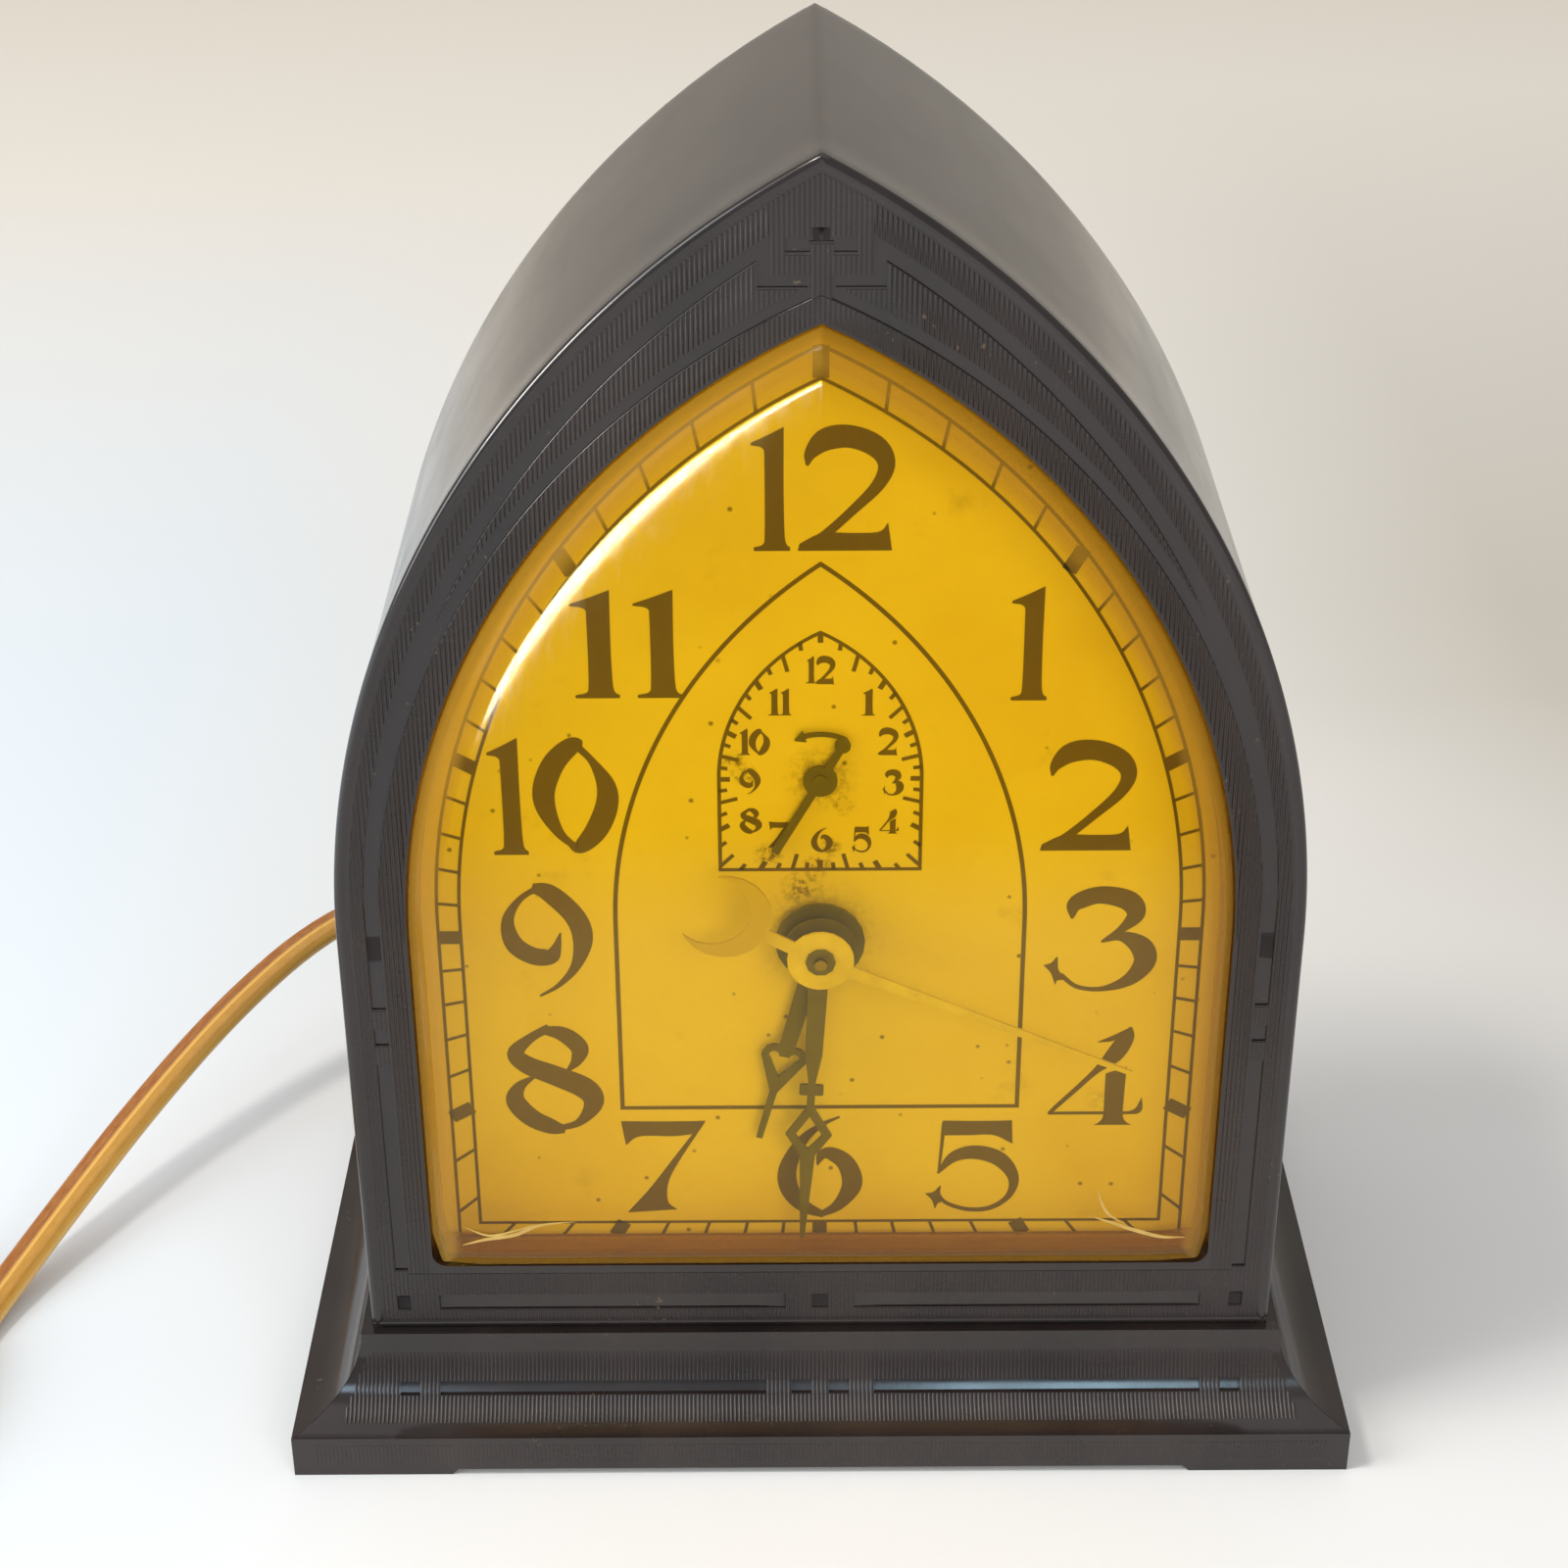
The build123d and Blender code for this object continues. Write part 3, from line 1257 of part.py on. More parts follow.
# Back cover: a sheet in the case's rear rebate, with holes for everything that comes through
grommet_z = case_bottom + GROMMET_RISE
grommet_x = GROMMET_INSET - CASE_HALF
grommet_spot = (grommet_x, grommet_z)
with BuildPart() as back_cover:
    with BuildSketch(facing(cover_front)):
        add(case_face(COVER_LIP + COVER_FIT))
        with Locations(*lug_spots, *pillar_spots):
            rod(SCREW_RADIUS, mode=Mode.SUBTRACT)
        with Locations(minute_spot, alarm_spot):
            rod(SET_ARBOR_RADIUS + HOLE_ROOM, mode=Mode.SUBTRACT)
        with Locations(switch_spot):
            rod(running_bore(SWITCH_RADIUS), mode=Mode.SUBTRACT)
        with Locations(grommet_spot):
            rod(GROMMET_NECK, mode=Mode.SUBTRACT)
        with Locations((0, case_bottom + VENT_RISE)):
            with GridLocations(VENT_PITCH, 0, VENT_COUNT, 1):
                Rectangle(VENT_WIDTH, VENT_LENGTH, mode=Mode.SUBTRACT)
    extrude(amount=-COVER_THICK)
write(back_cover, "back_cover")


def cover_screws(spots, length):
    """Six-sided screws through the back cover."""
    with BuildPart() as group:
        with BuildSketch(facing(cover_rear)):
            with Locations(*spots):
                RegularPolygon(SCREW_HEAD, HEX_SIDES)
        extrude(amount=-SCREW_HEAD_HEIGHT)
        with BuildSketch(facing(cover_rear)):
            with Locations(*spots):
                rod(SCREW_RADIUS)
        extrude(amount=length)
    return group


case_screws = cover_screws(lug_spots, COVER_THICK + SCREW_LENGTH)
write(case_screws, "case_screws")
movement_screws = cover_screws(pillar_spots, COVER_THICK)
write(movement_screws, "movement_screws")

with BuildPart() as cord_grommet:
    with BuildSketch(facing(cover_front - GROMMET_LIP, grommet_spot)):
        rod(GROMMET_FLANGE)
    extrude(amount=-GROMMET_LIP)
    with BuildSketch(facing(cover_front, grommet_spot)):
        rod(GROMMET_NECK)
    extrude(amount=-COVER_THICK)
    with BuildSketch(facing(cover_rear, grommet_spot)):
        rod(GROMMET_FLANGE)
    extrude(amount=-GROMMET_LIP)
    chamfer(cord_grommet.faces().sort_by(Axis.Y)[-1].edges(), GROMMET_LIP / 2)
write(cord_grommet, "cord_grommet")

# Cord route from the grommet, round behind the case and down to the table on the left
cord_start = (grommet_x, cover_rear + GROMMET_LIP, grommet_z)
coil_top = COIL_HEIGHT + COIL_LAYER
cord_route = [
    cord_start,
    (grommet_x, 47.0, 32.0),
    (-47.5, 60.0, 29.5),
    (-63.5, 62.5, 26.0),
    (-80.0, 51.0, 23.0),
    (-94.0, 38.5, 20.5),
    (-105.0, 21.0, 13.5),
    (-112.5, 4.0, 5.2),
    (-117.0, -8.0, 2.8),
    (-119.5, -15.0, COIL_HEIGHT),
    (-119.5, -22.0, COIL_HEIGHT),
]


def route_radii(route):
    """Largest arc at each corner that leaves both runs a little straight."""
    radii = []
    for before, corner, after in zip(route, route[1:], route[2:]):
        came = Vector(corner) - Vector(before)
        goes = Vector(after) - Vector(corner)
        turn = radians(came.get_angle(goes))
        radii.append(CORNER_SHARE * min(came.length, goes.length) / tan(turn / 2))
    return radii


def cord_section():
    """Flat section of the twin flex."""
    with BuildSketch() as face:
        Rectangle(CORD_WIDTH, CORD_THICK)
    return face.sketch


cord_radii = route_radii(cord_route)
print("cord arc radii", [round(radius, 1) for radius in cord_radii])
section_area = cord_section().area
with BuildPart() as cord:
    with BuildLine() as cord_line:
        FilletPolyline(*cord_route, radius=cord_radii)
    with BuildSketch(Plane(origin=cord_start, x_dir=(-1, 0, 0), z_dir=(0, 1, 0))):
        add(cord_section())
    sweep(path=cord_line.wire(), binormal=cord_line.wire().moved(Location((0, 0, CORD_WIDTH))))
cord_length = cord_line.wire().length
cord_share = cord.part.volume / section_area / cord_length
print("cord length", round(cord_length, 1), "volume share", round(cord_share, 4))
print("cord lowest", round(cord.part.bounding_box().min.Z, 2))
write(cord, "cord")

# Coil: half turns inwards on the lower layer, a climbing half turn, half turns outwards above
flat_heading = Vector(0, -1, 0)
coil_start = Vector(*cord_route[-1]) + flat_heading * JOINT_GAP
turn_start = coil_start + flat_heading * CORD_WIDTH


def climb_arcs(start, start_way, end, end_way):
    """Two arcs in space that join two points and follow a heading at each."""
    chord = end - start
    ways = start_way + end_way
    across = 2 * (start_way.dot(end_way) - 1)
    along = 2 * chord.dot(ways)
    reach = (along / 2 - sqrt(along**2 / 4 - across * chord.dot(chord))) / across
    joint = (start + start_way * reach + end - end_way * reach) * 0.5
    TangentArc(start, joint, tangent=start_way)
    joint_way = (end - end_way * reach - start - start_way * reach).normalized()
    TangentArc(joint, end, tangent=joint_way)


def flat_turns(start, heading, radii):
    """Half turns to the right on the flat, one after another, and the place where they end."""
    for radius in radii:
        inward = heading.rotate(Axis.Z, -90)
        across = start + inward * (2 * radius)
        ThreePointArc(start, start + inward * radius + heading * radius, across)
        start = across
        heading = heading * -1
    return start, heading


def upright_section(start, heading):
    """Plane across the cord at a place on the flat, its width level."""
    return Plane(origin=start, x_dir=heading.rotate(Axis.Z, 90), z_dir=heading)


half_turn_radii = [COIL_OUTER - COIL_PITCH / 2 * turn for turn in range(COIL_HALF_TURNS)]
climb_radius = COIL_OUTER - COIL_PITCH / 2 * COIL_HALF_TURNS
with BuildLine() as lower_line:
    Line(coil_start, turn_start)
    climb_start, climb_way = flat_turns(turn_start, flat_heading, half_turn_radii)
with BuildLine() as climb_line:
    climb_inward = climb_way.rotate(Axis.Z, -90)
    climb_middle = climb_start + (climb_inward + climb_way) * climb_radius + Vector(0, 0, COIL_LAYER / 2)
    climb_slope = CLIMB_STEEPNESS * COIL_LAYER / (pi * climb_radius)
    middle_way = (climb_inward + Vector(0, 0, climb_slope)).normalized()
    climb_end = climb_start + climb_inward * (2 * climb_radius) + Vector(0, 0, COIL_LAYER)
    climb_arcs(climb_start, climb_way, climb_middle, middle_way)
    climb_arcs(climb_middle, middle_way, climb_end, climb_way * -1)
with BuildLine() as upper_line:
    tail_start, plug_way = flat_turns(climb_end, climb_way * -1, list(reversed(half_turn_radii)))
    coil_end = tail_start + plug_way * PLUG_TAIL
    Line(tail_start, coil_end)
climb_guide = climb_line.wire().moved(Location((0, 0, CORD_WIDTH)))

with BuildPart() as cord_coil:
    with BuildSketch(upright_section(coil_start, flat_heading)):
        add(cord_section())
    sweep(path=lower_line.wire())
    with BuildSketch(upright_section(climb_start, climb_way)):
        add(cord_section())
    sweep(path=climb_line.wire(), binormal=climb_guide)
    with BuildSketch(upright_section(climb_end, climb_way * -1)):
        add(cord_section())
    sweep(path=upper_line.wire())
coil_wire = Wire(lower_line.edges() + climb_line.edges() + upper_line.edges())
coil_length = coil_wire.length
coil_share = cord_coil.part.volume / section_area / coil_length
print("coil length", round(coil_length, 1), "volume share", round(coil_share, 4))
write(cord_coil, "cord_coil")

# Least gap of the coil to itself, measured on points around its section along the line
stations = [(step + 0.5) / GAP_STATIONS for step in range(GAP_STATIONS)]
spine = np.array([tuple(coil_wire.position_at(station)) for station in stations])
ways = np.array([tuple(coil_wire.tangent_at(station)) for station in stations])
sideways = np.cross(ways, (0.0, 0.0, 1.0))
sideways /= np.linalg.norm(sideways, axis=1)[:, None]
upright = np.cross(sideways, ways)
rim = np.array(
    [(-1, -1), (-0.5, -1), (0, -1), (0.5, -1), (1, -1), (1, 0)]
    + [(1, 1), (0.5, 1), (0, 1), (-0.5, 1), (-1, 1), (-1, 0)]
)
skin = (
    spine[:, None, :]
    + sideways[:, None, :] * (rim[:, 0] * CORD_WIDTH / 2)[None, :, None]
    + upright[:, None, :] * (rim[:, 1] * CORD_THICK / 2)[None, :, None]
)
near_skip = int(4 * CORD_WIDTH / coil_length * GAP_STATIONS)
least_gap = min(
    float(
        np.linalg.norm(skin[index][:, None, :] - skin[index + near_skip :].reshape(-1, 3)[None], axis=2).min()
    )
    for index in range(GAP_STATIONS - near_skip)
)
print("coil least gap", round(least_gap, 2), "lowest", round(cord_coil.part.bounding_box().min.Z, 2))

# Tie: one band round the turns on the coil's near side
coil_centre_x = float(coil_start.X) - COIL_OUTER
tied = np.abs(spine[:, 0] - coil_centre_x) < TIE_WIDTH / 2 + CORD_WIDTH
tied &= spine[:, 1] < turn_start.Y
tie_inner = float(spine[tied, 1].max()) + CORD_WIDTH / 2 + TIE_ROOM
tie_outer = float(spine[tied, 1].min()) - CORD_WIDTH / 2 - TIE_ROOM
tie_low = COIL_HEIGHT - CORD_THICK / 2 - TIE_ROOM
tie_high = coil_top + CORD_THICK / 2 + TIE_ROOM
with BuildPart() as cord_tie:
    with BuildSketch(Plane.YZ.offset(coil_centre_x - TIE_WIDTH / 2)):
        with Locations(((tie_inner + tie_outer) / 2, (tie_low + tie_high) / 2)):
            Rectangle(tie_inner - tie_outer + 2 * TIE_THICK, tie_high - tie_low + 2 * TIE_THICK)
            Rectangle(tie_inner - tie_outer, tie_high - tie_low, mode=Mode.SUBTRACT)
    extrude(amount=TIE_WIDTH)
write(cord_tie, "cord_tie")

# Plug: a flat moulded body that widens towards two blades
plug_low = 0.1
plug_half_height = coil_top - plug_low
plug_plane = Plane(
    origin=(coil_end.X, coil_end.Y, plug_low), x_dir=tuple(plug_way), z_dir=(0, 0, 1)
)
with BuildPart() as plug_body:
    with BuildSketch(plug_plane):
        with BuildLine():
            Polyline(
                (0, -PLUG_NECK / 2),
                (PLUG_LENGTH * 0.45, -PLUG_WIDTH / 2),
                (PLUG_LENGTH, -PLUG_WIDTH / 2),
                (PLUG_LENGTH, PLUG_WIDTH / 2),
                (PLUG_LENGTH * 0.45, PLUG_WIDTH / 2),
                (0, PLUG_NECK / 2),
                close=True,
            )
        make_face()
    extrude(amount=2 * plug_half_height)
    chamfer(plug_body.edges().filter_by(Axis.Z).sort_by(Axis.Y)[-2:], PLUG_ROUND)
write(plug_body, "plug_body")

blade_plane = plug_plane.offset(plug_half_height - BLADE_HEIGHT / 2)
with BuildPart() as plug_blades:
    with BuildSketch(blade_plane):
        with Locations((PLUG_LENGTH + BLADE_LENGTH / 2, 0)):
            with GridLocations(0, BLADE_SPACING, 1, 2):
                Rectangle(BLADE_LENGTH, BLADE_THICK)
    extrude(amount=BLADE_HEIGHT)
write(plug_blades, "plug_blades")
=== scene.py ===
"""Looks of the steeple alarm clock: finishes, dial print, crystal, moulded ribs and the twin flex."""

import logging
import math
from collections.abc import Callable
from dataclasses import dataclass, field
from enum import Enum

import bpy
import numpy as np
from mathutils import Matrix, Quaternion, Vector


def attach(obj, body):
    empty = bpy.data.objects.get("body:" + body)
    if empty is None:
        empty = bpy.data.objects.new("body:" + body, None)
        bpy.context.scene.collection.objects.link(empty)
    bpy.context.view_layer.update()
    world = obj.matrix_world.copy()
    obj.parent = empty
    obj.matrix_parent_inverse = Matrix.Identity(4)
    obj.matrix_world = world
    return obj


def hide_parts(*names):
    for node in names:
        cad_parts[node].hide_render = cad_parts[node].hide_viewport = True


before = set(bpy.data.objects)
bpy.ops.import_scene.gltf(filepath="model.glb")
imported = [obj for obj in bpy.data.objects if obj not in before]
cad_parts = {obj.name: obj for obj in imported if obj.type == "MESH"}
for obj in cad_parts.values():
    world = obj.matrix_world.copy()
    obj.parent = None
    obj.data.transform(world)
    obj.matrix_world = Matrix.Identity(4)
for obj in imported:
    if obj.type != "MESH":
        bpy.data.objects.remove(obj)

MM = 0.001
TINY = 1e-9
CLOCK = "clock"
# Metres in which Blender's wave texture repeats at a scale of one
WAVE_PERIOD = 0.314

log = logging.getLogger("steeple_clock")
logging.basicConfig(level=logging.INFO, format="%(name)s: %(message)s")

Points = np.ndarray
Object = bpy.types.Object
Socket = bpy.types.NodeSocket
HeightLine = Callable[[Points], Points]


# Meshes from arrays


def make_piece(name: str, points: Points, faces: list | np.ndarray, smooth: bool = True) -> Object:
    """Make a mesh object at the origin from points in millimetres.

    Args:
        name: the piece's name.
        points: an array of x, y, z rows in millimetres.
        faces: rows of point numbers, turned outwards, as an array or as lists of any length.
        smooth: True for smooth shading.
    Returns:
        The linked object.
    """
    mesh = bpy.data.meshes.new(name)
    rows = faces.tolist() if isinstance(faces, np.ndarray) else faces
    mesh.from_pydata((points * MM).tolist(), [], rows)
    mesh.polygons.foreach_set("use_smooth", np.full(len(mesh.polygons), smooth))
    mesh.update()
    piece = bpy.data.objects.new(name, mesh)
    bpy.context.scene.collection.objects.link(piece)
    return piece


def grid_faces(rows: int, columns: int, wrap: bool, start: int = 0) -> np.ndarray:
    """Quads of a grid stored row by row, as rows of four point numbers.

    Args:
        rows: points along the first parameter.
        columns: points along the second parameter.
        wrap: True to join the last column to the first.
        start: number of the grid's first point.
    Returns:
        An array of quads; the normal is (along columns) x (along rows).
    """
    across = columns if wrap else columns - 1
    row, column = np.meshgrid(np.arange(rows - 1), np.arange(across), indexing="ij")
    after = (column + 1) % columns
    low = row * columns
    high = low + columns
    quads = np.stack([low + column, low + after, high + after, high + column], axis=-1)
    return quads.reshape(-1, 4) + start


def front_faces(strip: Points, start: int) -> np.ndarray:
    """Quads of a strip of two edges in x, z, turned to the front by the sign of each quad's area.

    Args:
        strip: rows of two x, z points.
        start: number of its first point.
    Returns:
        An array of quads.
    """
    quads = grid_faces(len(strip), 2, False)
    flat = strip.reshape(-1, 2)[quads]
    one, two = flat[:, 2] - flat[:, 0], flat[:, 3] - flat[:, 1]
    area = one[:, 0] * two[:, 1] - one[:, 1] * two[:, 0]
    return np.where((area < 0)[:, None], quads[:, ::-1], quads) + start


def tube_faces(rows: int, columns: int) -> list:
    """Faces of a tube stored ring by ring: its quads, turned outwards, and one face at each end.

    Args:
        rows: rings along the tube.
        columns: points round a ring.
    Returns:
        Lists of point numbers.
    """
    ring = np.arange(columns)
    ends = [ring.tolist(), (rows * columns - 1 - ring).tolist()]
    return [*grid_faces(rows, columns, True)[:, ::-1].tolist(), *ends]


def unit(rows: Points) -> Points:
    """Rows scaled to a length of one."""
    return rows / np.maximum(np.linalg.norm(rows, axis=1), TINY)[:, None]


def run_lengths(line: Points) -> Points:
    """Distance along a line from its start to each of its points."""
    return np.concatenate([[0], np.cumsum(np.linalg.norm(np.diff(line, axis=0), axis=1))])


def keep_sharp(piece: Object, degrees: float) -> None:
    """Mark the edges that turn by more than the angle as sharp, so that smooth shading breaks there."""
    piece.data.set_sharp_from_angle(angle=math.radians(degrees))


def smooth_curve(points: Points, count: int) -> Points:
    """Points along a Catmull-Rom curve through the given points, all columns alike.

    Each span is the usual cubic of its two ends and their neighbours; the ends are mirrored outwards.

    Args:
        points: rows of coordinates, and of anything else carried along, such as a width.
        count: how many points to return.
    Returns:
        An array of count rows.
    """
    p = np.asarray(points, float)
    p = np.vstack([2 * p[0] - p[1], p, 2 * p[-1] - p[-2]])
    t = np.linspace(0, len(p) - 3, count)
    i = np.minimum(t.astype(int), len(p) - 4)
    f = (t - i)[:, None]
    a, b, c, d = p[i], p[i + 1], p[i + 2], p[i + 3]
    return b + 0.5 * f * (c - a + f * (2 * a - 5 * b + 4 * c - d + f * (3 * (b - c) + d - a)))


@dataclass(frozen=True)
class Arch:
    """A Gothic outline: two upright sides and two arcs that meet at a point.

    The arcs spring square from the sides, so radius = (rise^2 + half^2) / (2 half) and each arc's centre is
    at half - radius on the spring line.
    """

    half: float
    bottom: float
    spring: float
    apex: float

    @property
    def radius(self) -> float:
        """Radius of both arcs."""
        return ((self.apex - self.spring) ** 2 + self.half**2) / (2 * self.half)

    @property
    def centre(self) -> float:
        """Distance of the right arc's centre from the axis, below zero as it lies on the left."""
        return self.half - self.radius

    def inset(self, distance: float) -> "Arch":
        """The parallel outline at a distance inside this one."""
        rise = math.sqrt((self.radius - distance) ** 2 - self.centre**2)
        return Arch(self.half - distance, self.bottom + distance, self.spring, self.spring + rise)

    def top(self, x: Points) -> Points:
        """Height of the arcs over x, and of the spring line outside the sides."""
        reach = self.radius**2 - (np.abs(x) - self.centre) ** 2
        return self.spring + np.sqrt(np.clip(reach, 0, None))

    def outline(self, arc: int, side: int, foot: int) -> tuple[Points, Points]:
        """Points and outward normals round the outline, anticlockwise from the front, from the foot's middle.

        Args:
            arc: points on each arc.
            side: points on each upright side.
            foot: points on each half of the foot.
        Returns:
            Two arrays of x, z rows, points and unit normals. Corners carry both normals, one point each.
        """
        turn = np.linspace(0, math.atan2(self.apex - self.spring, -self.centre), arc)
        rays = np.stack([np.cos(turn), np.sin(turn)], axis=1)
        curve = rays * self.radius + (self.centre, self.spring)
        rise = np.linspace(self.bottom, self.spring, side)
        wall = np.stack([np.full(side, self.half), rise], axis=1)
        along = np.linspace(0, self.half, foot)
        floor = np.stack([along, np.full(foot, self.bottom)], axis=1)
        points = np.vstack([floor, wall, curve])
        normals = np.vstack([np.tile((0, -1), (foot, 1)), np.tile((1, 0), (side, 1)), rays])
        mirror = np.array([-1, 1])
        return np.vstack([points, points[::-1] * mirror]), np.vstack([normals, normals[::-1] * mirror])


# Finishes


class Kit:
    """Short ways to add nodes to one material."""

    def __init__(self, name: str) -> None:
        """Start a material whose node tree holds an output only.

        Args:
            name: the material's name.
        """
        self.material = bpy.data.materials.new(name)
        self.material.use_nodes = True
        self.tree = self.material.node_tree
        self.tree.nodes.clear()
        self.output = self.tree.nodes.new("ShaderNodeOutputMaterial")

    def node(self, kind: str, **values: object) -> bpy.types.Node:
        """Add a node and set its named inputs; a socket is linked to.

        Args:
            kind: Blender's name of the node type.
            values: input names with underscores for spaces, and their values or source sockets.
        Returns:
            The node.
        """
        made = self.tree.nodes.new(kind)
        for key, value in values.items():
            self.feed(made.inputs[key.replace("_", " ")], value)
        return made

    def feed(self, socket: Socket, value: object) -> None:
        """Link an input to a source socket, or set it to a value.

        Args:
            socket: the input.
            value: a source socket or a plain value.
        """
        if isinstance(value, Socket):
            self.tree.links.new(value, socket)
        else:
            socket.default_value = value

    def place(self, stretch: tuple = (1, 1, 1)) -> Socket:
        """Object coordinates in metres, stretched by the given factors."""
        where = self.node("ShaderNodeTexCoord")
        return self.node("ShaderNodeMapping", Vector=where.outputs["Object"], Scale=stretch).outputs[0]

    def noise(self, where: Socket, scale: float, detail: float, rough: float) -> Socket:
        """Value of a noise texture at a scale per metre."""
        made = self.node("ShaderNodeTexNoise", Vector=where, Scale=scale, Detail=detail, Roughness=rough)
        return made.outputs[0]

    def ramp(self, value: Socket, stops: list) -> Socket:
        """Colour ramp over stops of (place, colour).

        Args:
            value: the socket read along the ramp.
            stops: places and colours, in order.
        Returns:
            The colour's socket.
        """
        made = self.node("ShaderNodeValToRGB", Fac=value)
        ramp = made.color_ramp
        for place, _ in stops[2:]:
            ramp.elements.new(place)
        for element, (place, colour) in zip(ramp.elements, stops):
            element.position = place
            element.color = (*colour, 1)
        return made.outputs[0]

    def span(self, value: Socket, low: float, high: float, to_low: float, to_high: float) -> Socket:
        """Map a value from one range to another, clamped.

        Args:
            value: the socket to map.
            low: start of its range.
            high: end of its range.
            to_low: result at the start.
            to_high: result at the end.
        Returns:
            The result's socket.
        """
        made = self.node("ShaderNodeMapRange", Value=value)
        made.inputs["From Min"].default_value = low
        made.inputs["From Max"].default_value = high
        made.inputs["To Min"].default_value = to_low
        made.inputs["To Max"].default_value = to_high
        return made.outputs[0]

    def mix(self, amount: Socket, first: object, second: object) -> Socket:
        """Mix two colours, each a tuple or a socket, by an amount.

        Args:
            amount: share of the second.
            first: the colour at 0.
            second: the colour at 1.
        Returns:
            The colour's socket.
        """
        made = self.tree.nodes.new("ShaderNodeMix")
        made.data_type = "RGBA"
        self.tree.links.new(amount, made.inputs["Factor"])
        for name, value in (("A", first), ("B", second)):
            socket = next(s for s in made.inputs if s.name == name and s.type == "RGBA")
            self.feed(socket, value if isinstance(value, Socket) else (*value, 1))
        return next(s for s in made.outputs if s.type == "RGBA")

    def product(self, first: Socket, second: Socket) -> Socket:
        """Product of two values."""
        return self.combine("MULTIPLY", first, second)

    def combine(self, operation: str, first: Socket, second: object) -> Socket:
        """Result of an arithmetic operation on a value and a second one, a number or a socket.

        Args:
            operation: Blender's name of it.
            first: a socket.
            second: a number or a socket.
        Returns:
            The result's socket.
        """
        made = self.node("ShaderNodeMath", Value=first)
        made.operation = operation
        self.feed(made.inputs[1], second)
        return made.outputs[0]

    def distance(self, spot: tuple) -> Socket:
        """Distance from a spot in metres, measured in x and z only.

        Args:
            spot: x, y, z in metres, with y as zero.
        Returns:
            The distance's socket.
        """
        made = self.node("ShaderNodeVectorMath", Vector=self.place((1, 0, 1)))
        made.operation = "DISTANCE"
        made.inputs[1].default_value = spot
        return made.outputs["Value"]

    def bump(self, height: Socket, distance: float, strength: float) -> Socket:
        """Normal from a height, with the full height as a distance in metres."""
        return self.node("ShaderNodeBump", Height=height, Distance=distance, Strength=strength).outputs[0]

    def shade(self, **values: object) -> bpy.types.Node:
        """Add the main shader and join it to the output.

        Args:
            values: inputs as for a node.
        Returns:
            The shader's node.
        """
        made = self.node("ShaderNodeBsdfPrincipled", **values)
        self.show(made)
        return made

    def blend(self, share: Socket, first: bpy.types.Node, second: bpy.types.Node) -> bpy.types.Node:
        """Mix two shaders by the share of the second.

        Args:
            share: share of the second.
            first: the first shader.
            second: the second shader.
        Returns:
            The mixing node.
        """
        made = self.node("ShaderNodeMixShader", Fac=share)
        self.tree.links.new(first.outputs[0], made.inputs[1])
        self.tree.links.new(second.outputs[0], made.inputs[2])
        return made

    def show(self, shader: bpy.types.Node) -> None:
        """Join a shader to the output."""
        self.tree.links.new(shader.outputs[0], self.output.inputs["Surface"])


@dataclass(frozen=True)
class MouldedFinish:
    """Glossy dark phenolic moulding with faint swirls, dust, fine scratches and rubbed brownish specks."""

    name: str = "moulded_brown"
    dark: tuple = (0.0165, 0.0125, 0.0125)
    light: tuple = (0.031, 0.0225, 0.021)
    worn: tuple = (0.20, 0.135, 0.070)
    speck_share: float = 0.66
    gloss: tuple = (0.11, 0.21)
    shine: float = 0.55

    def build(self) -> bpy.types.Material:
        """Build the material.

        Returns:
            The material.
        """
        kit = Kit(self.name)
        where = kit.place()
        swirl = kit.noise(kit.place((1, 1, 0.35)), 55, 6, 0.6)
        body = kit.ramp(swirl, [(0.35, self.dark), (0.68, self.light)])
        fine = kit.noise(where, 1100, 3, 0.6)
        patch = kit.noise(where, 110, 3, 0.5)
        speck = kit.span(fine, self.speck_share, self.speck_share + 0.03, 0, 1)
        rubbed = kit.product(speck, kit.span(patch, 0.58, 0.66, 0, 0.6))
        colour = kit.mix(rubbed, body, self.worn)
        haze = kit.noise(kit.place((1, 1, 2.2)), 60, 4, 0.55)
        rough = kit.span(haze, 0.3, 0.75, *self.gloss)
        scratch = kit.noise(kit.place((1, 0.15, 1)), 700, 4, 0.7)
        normal = kit.bump(scratch, 0.00002, 0.35)
        kit.shade(Base_Color=colour, Roughness=rough, Normal=normal, Specular_IOR_Level=self.shine)
        return kit.material


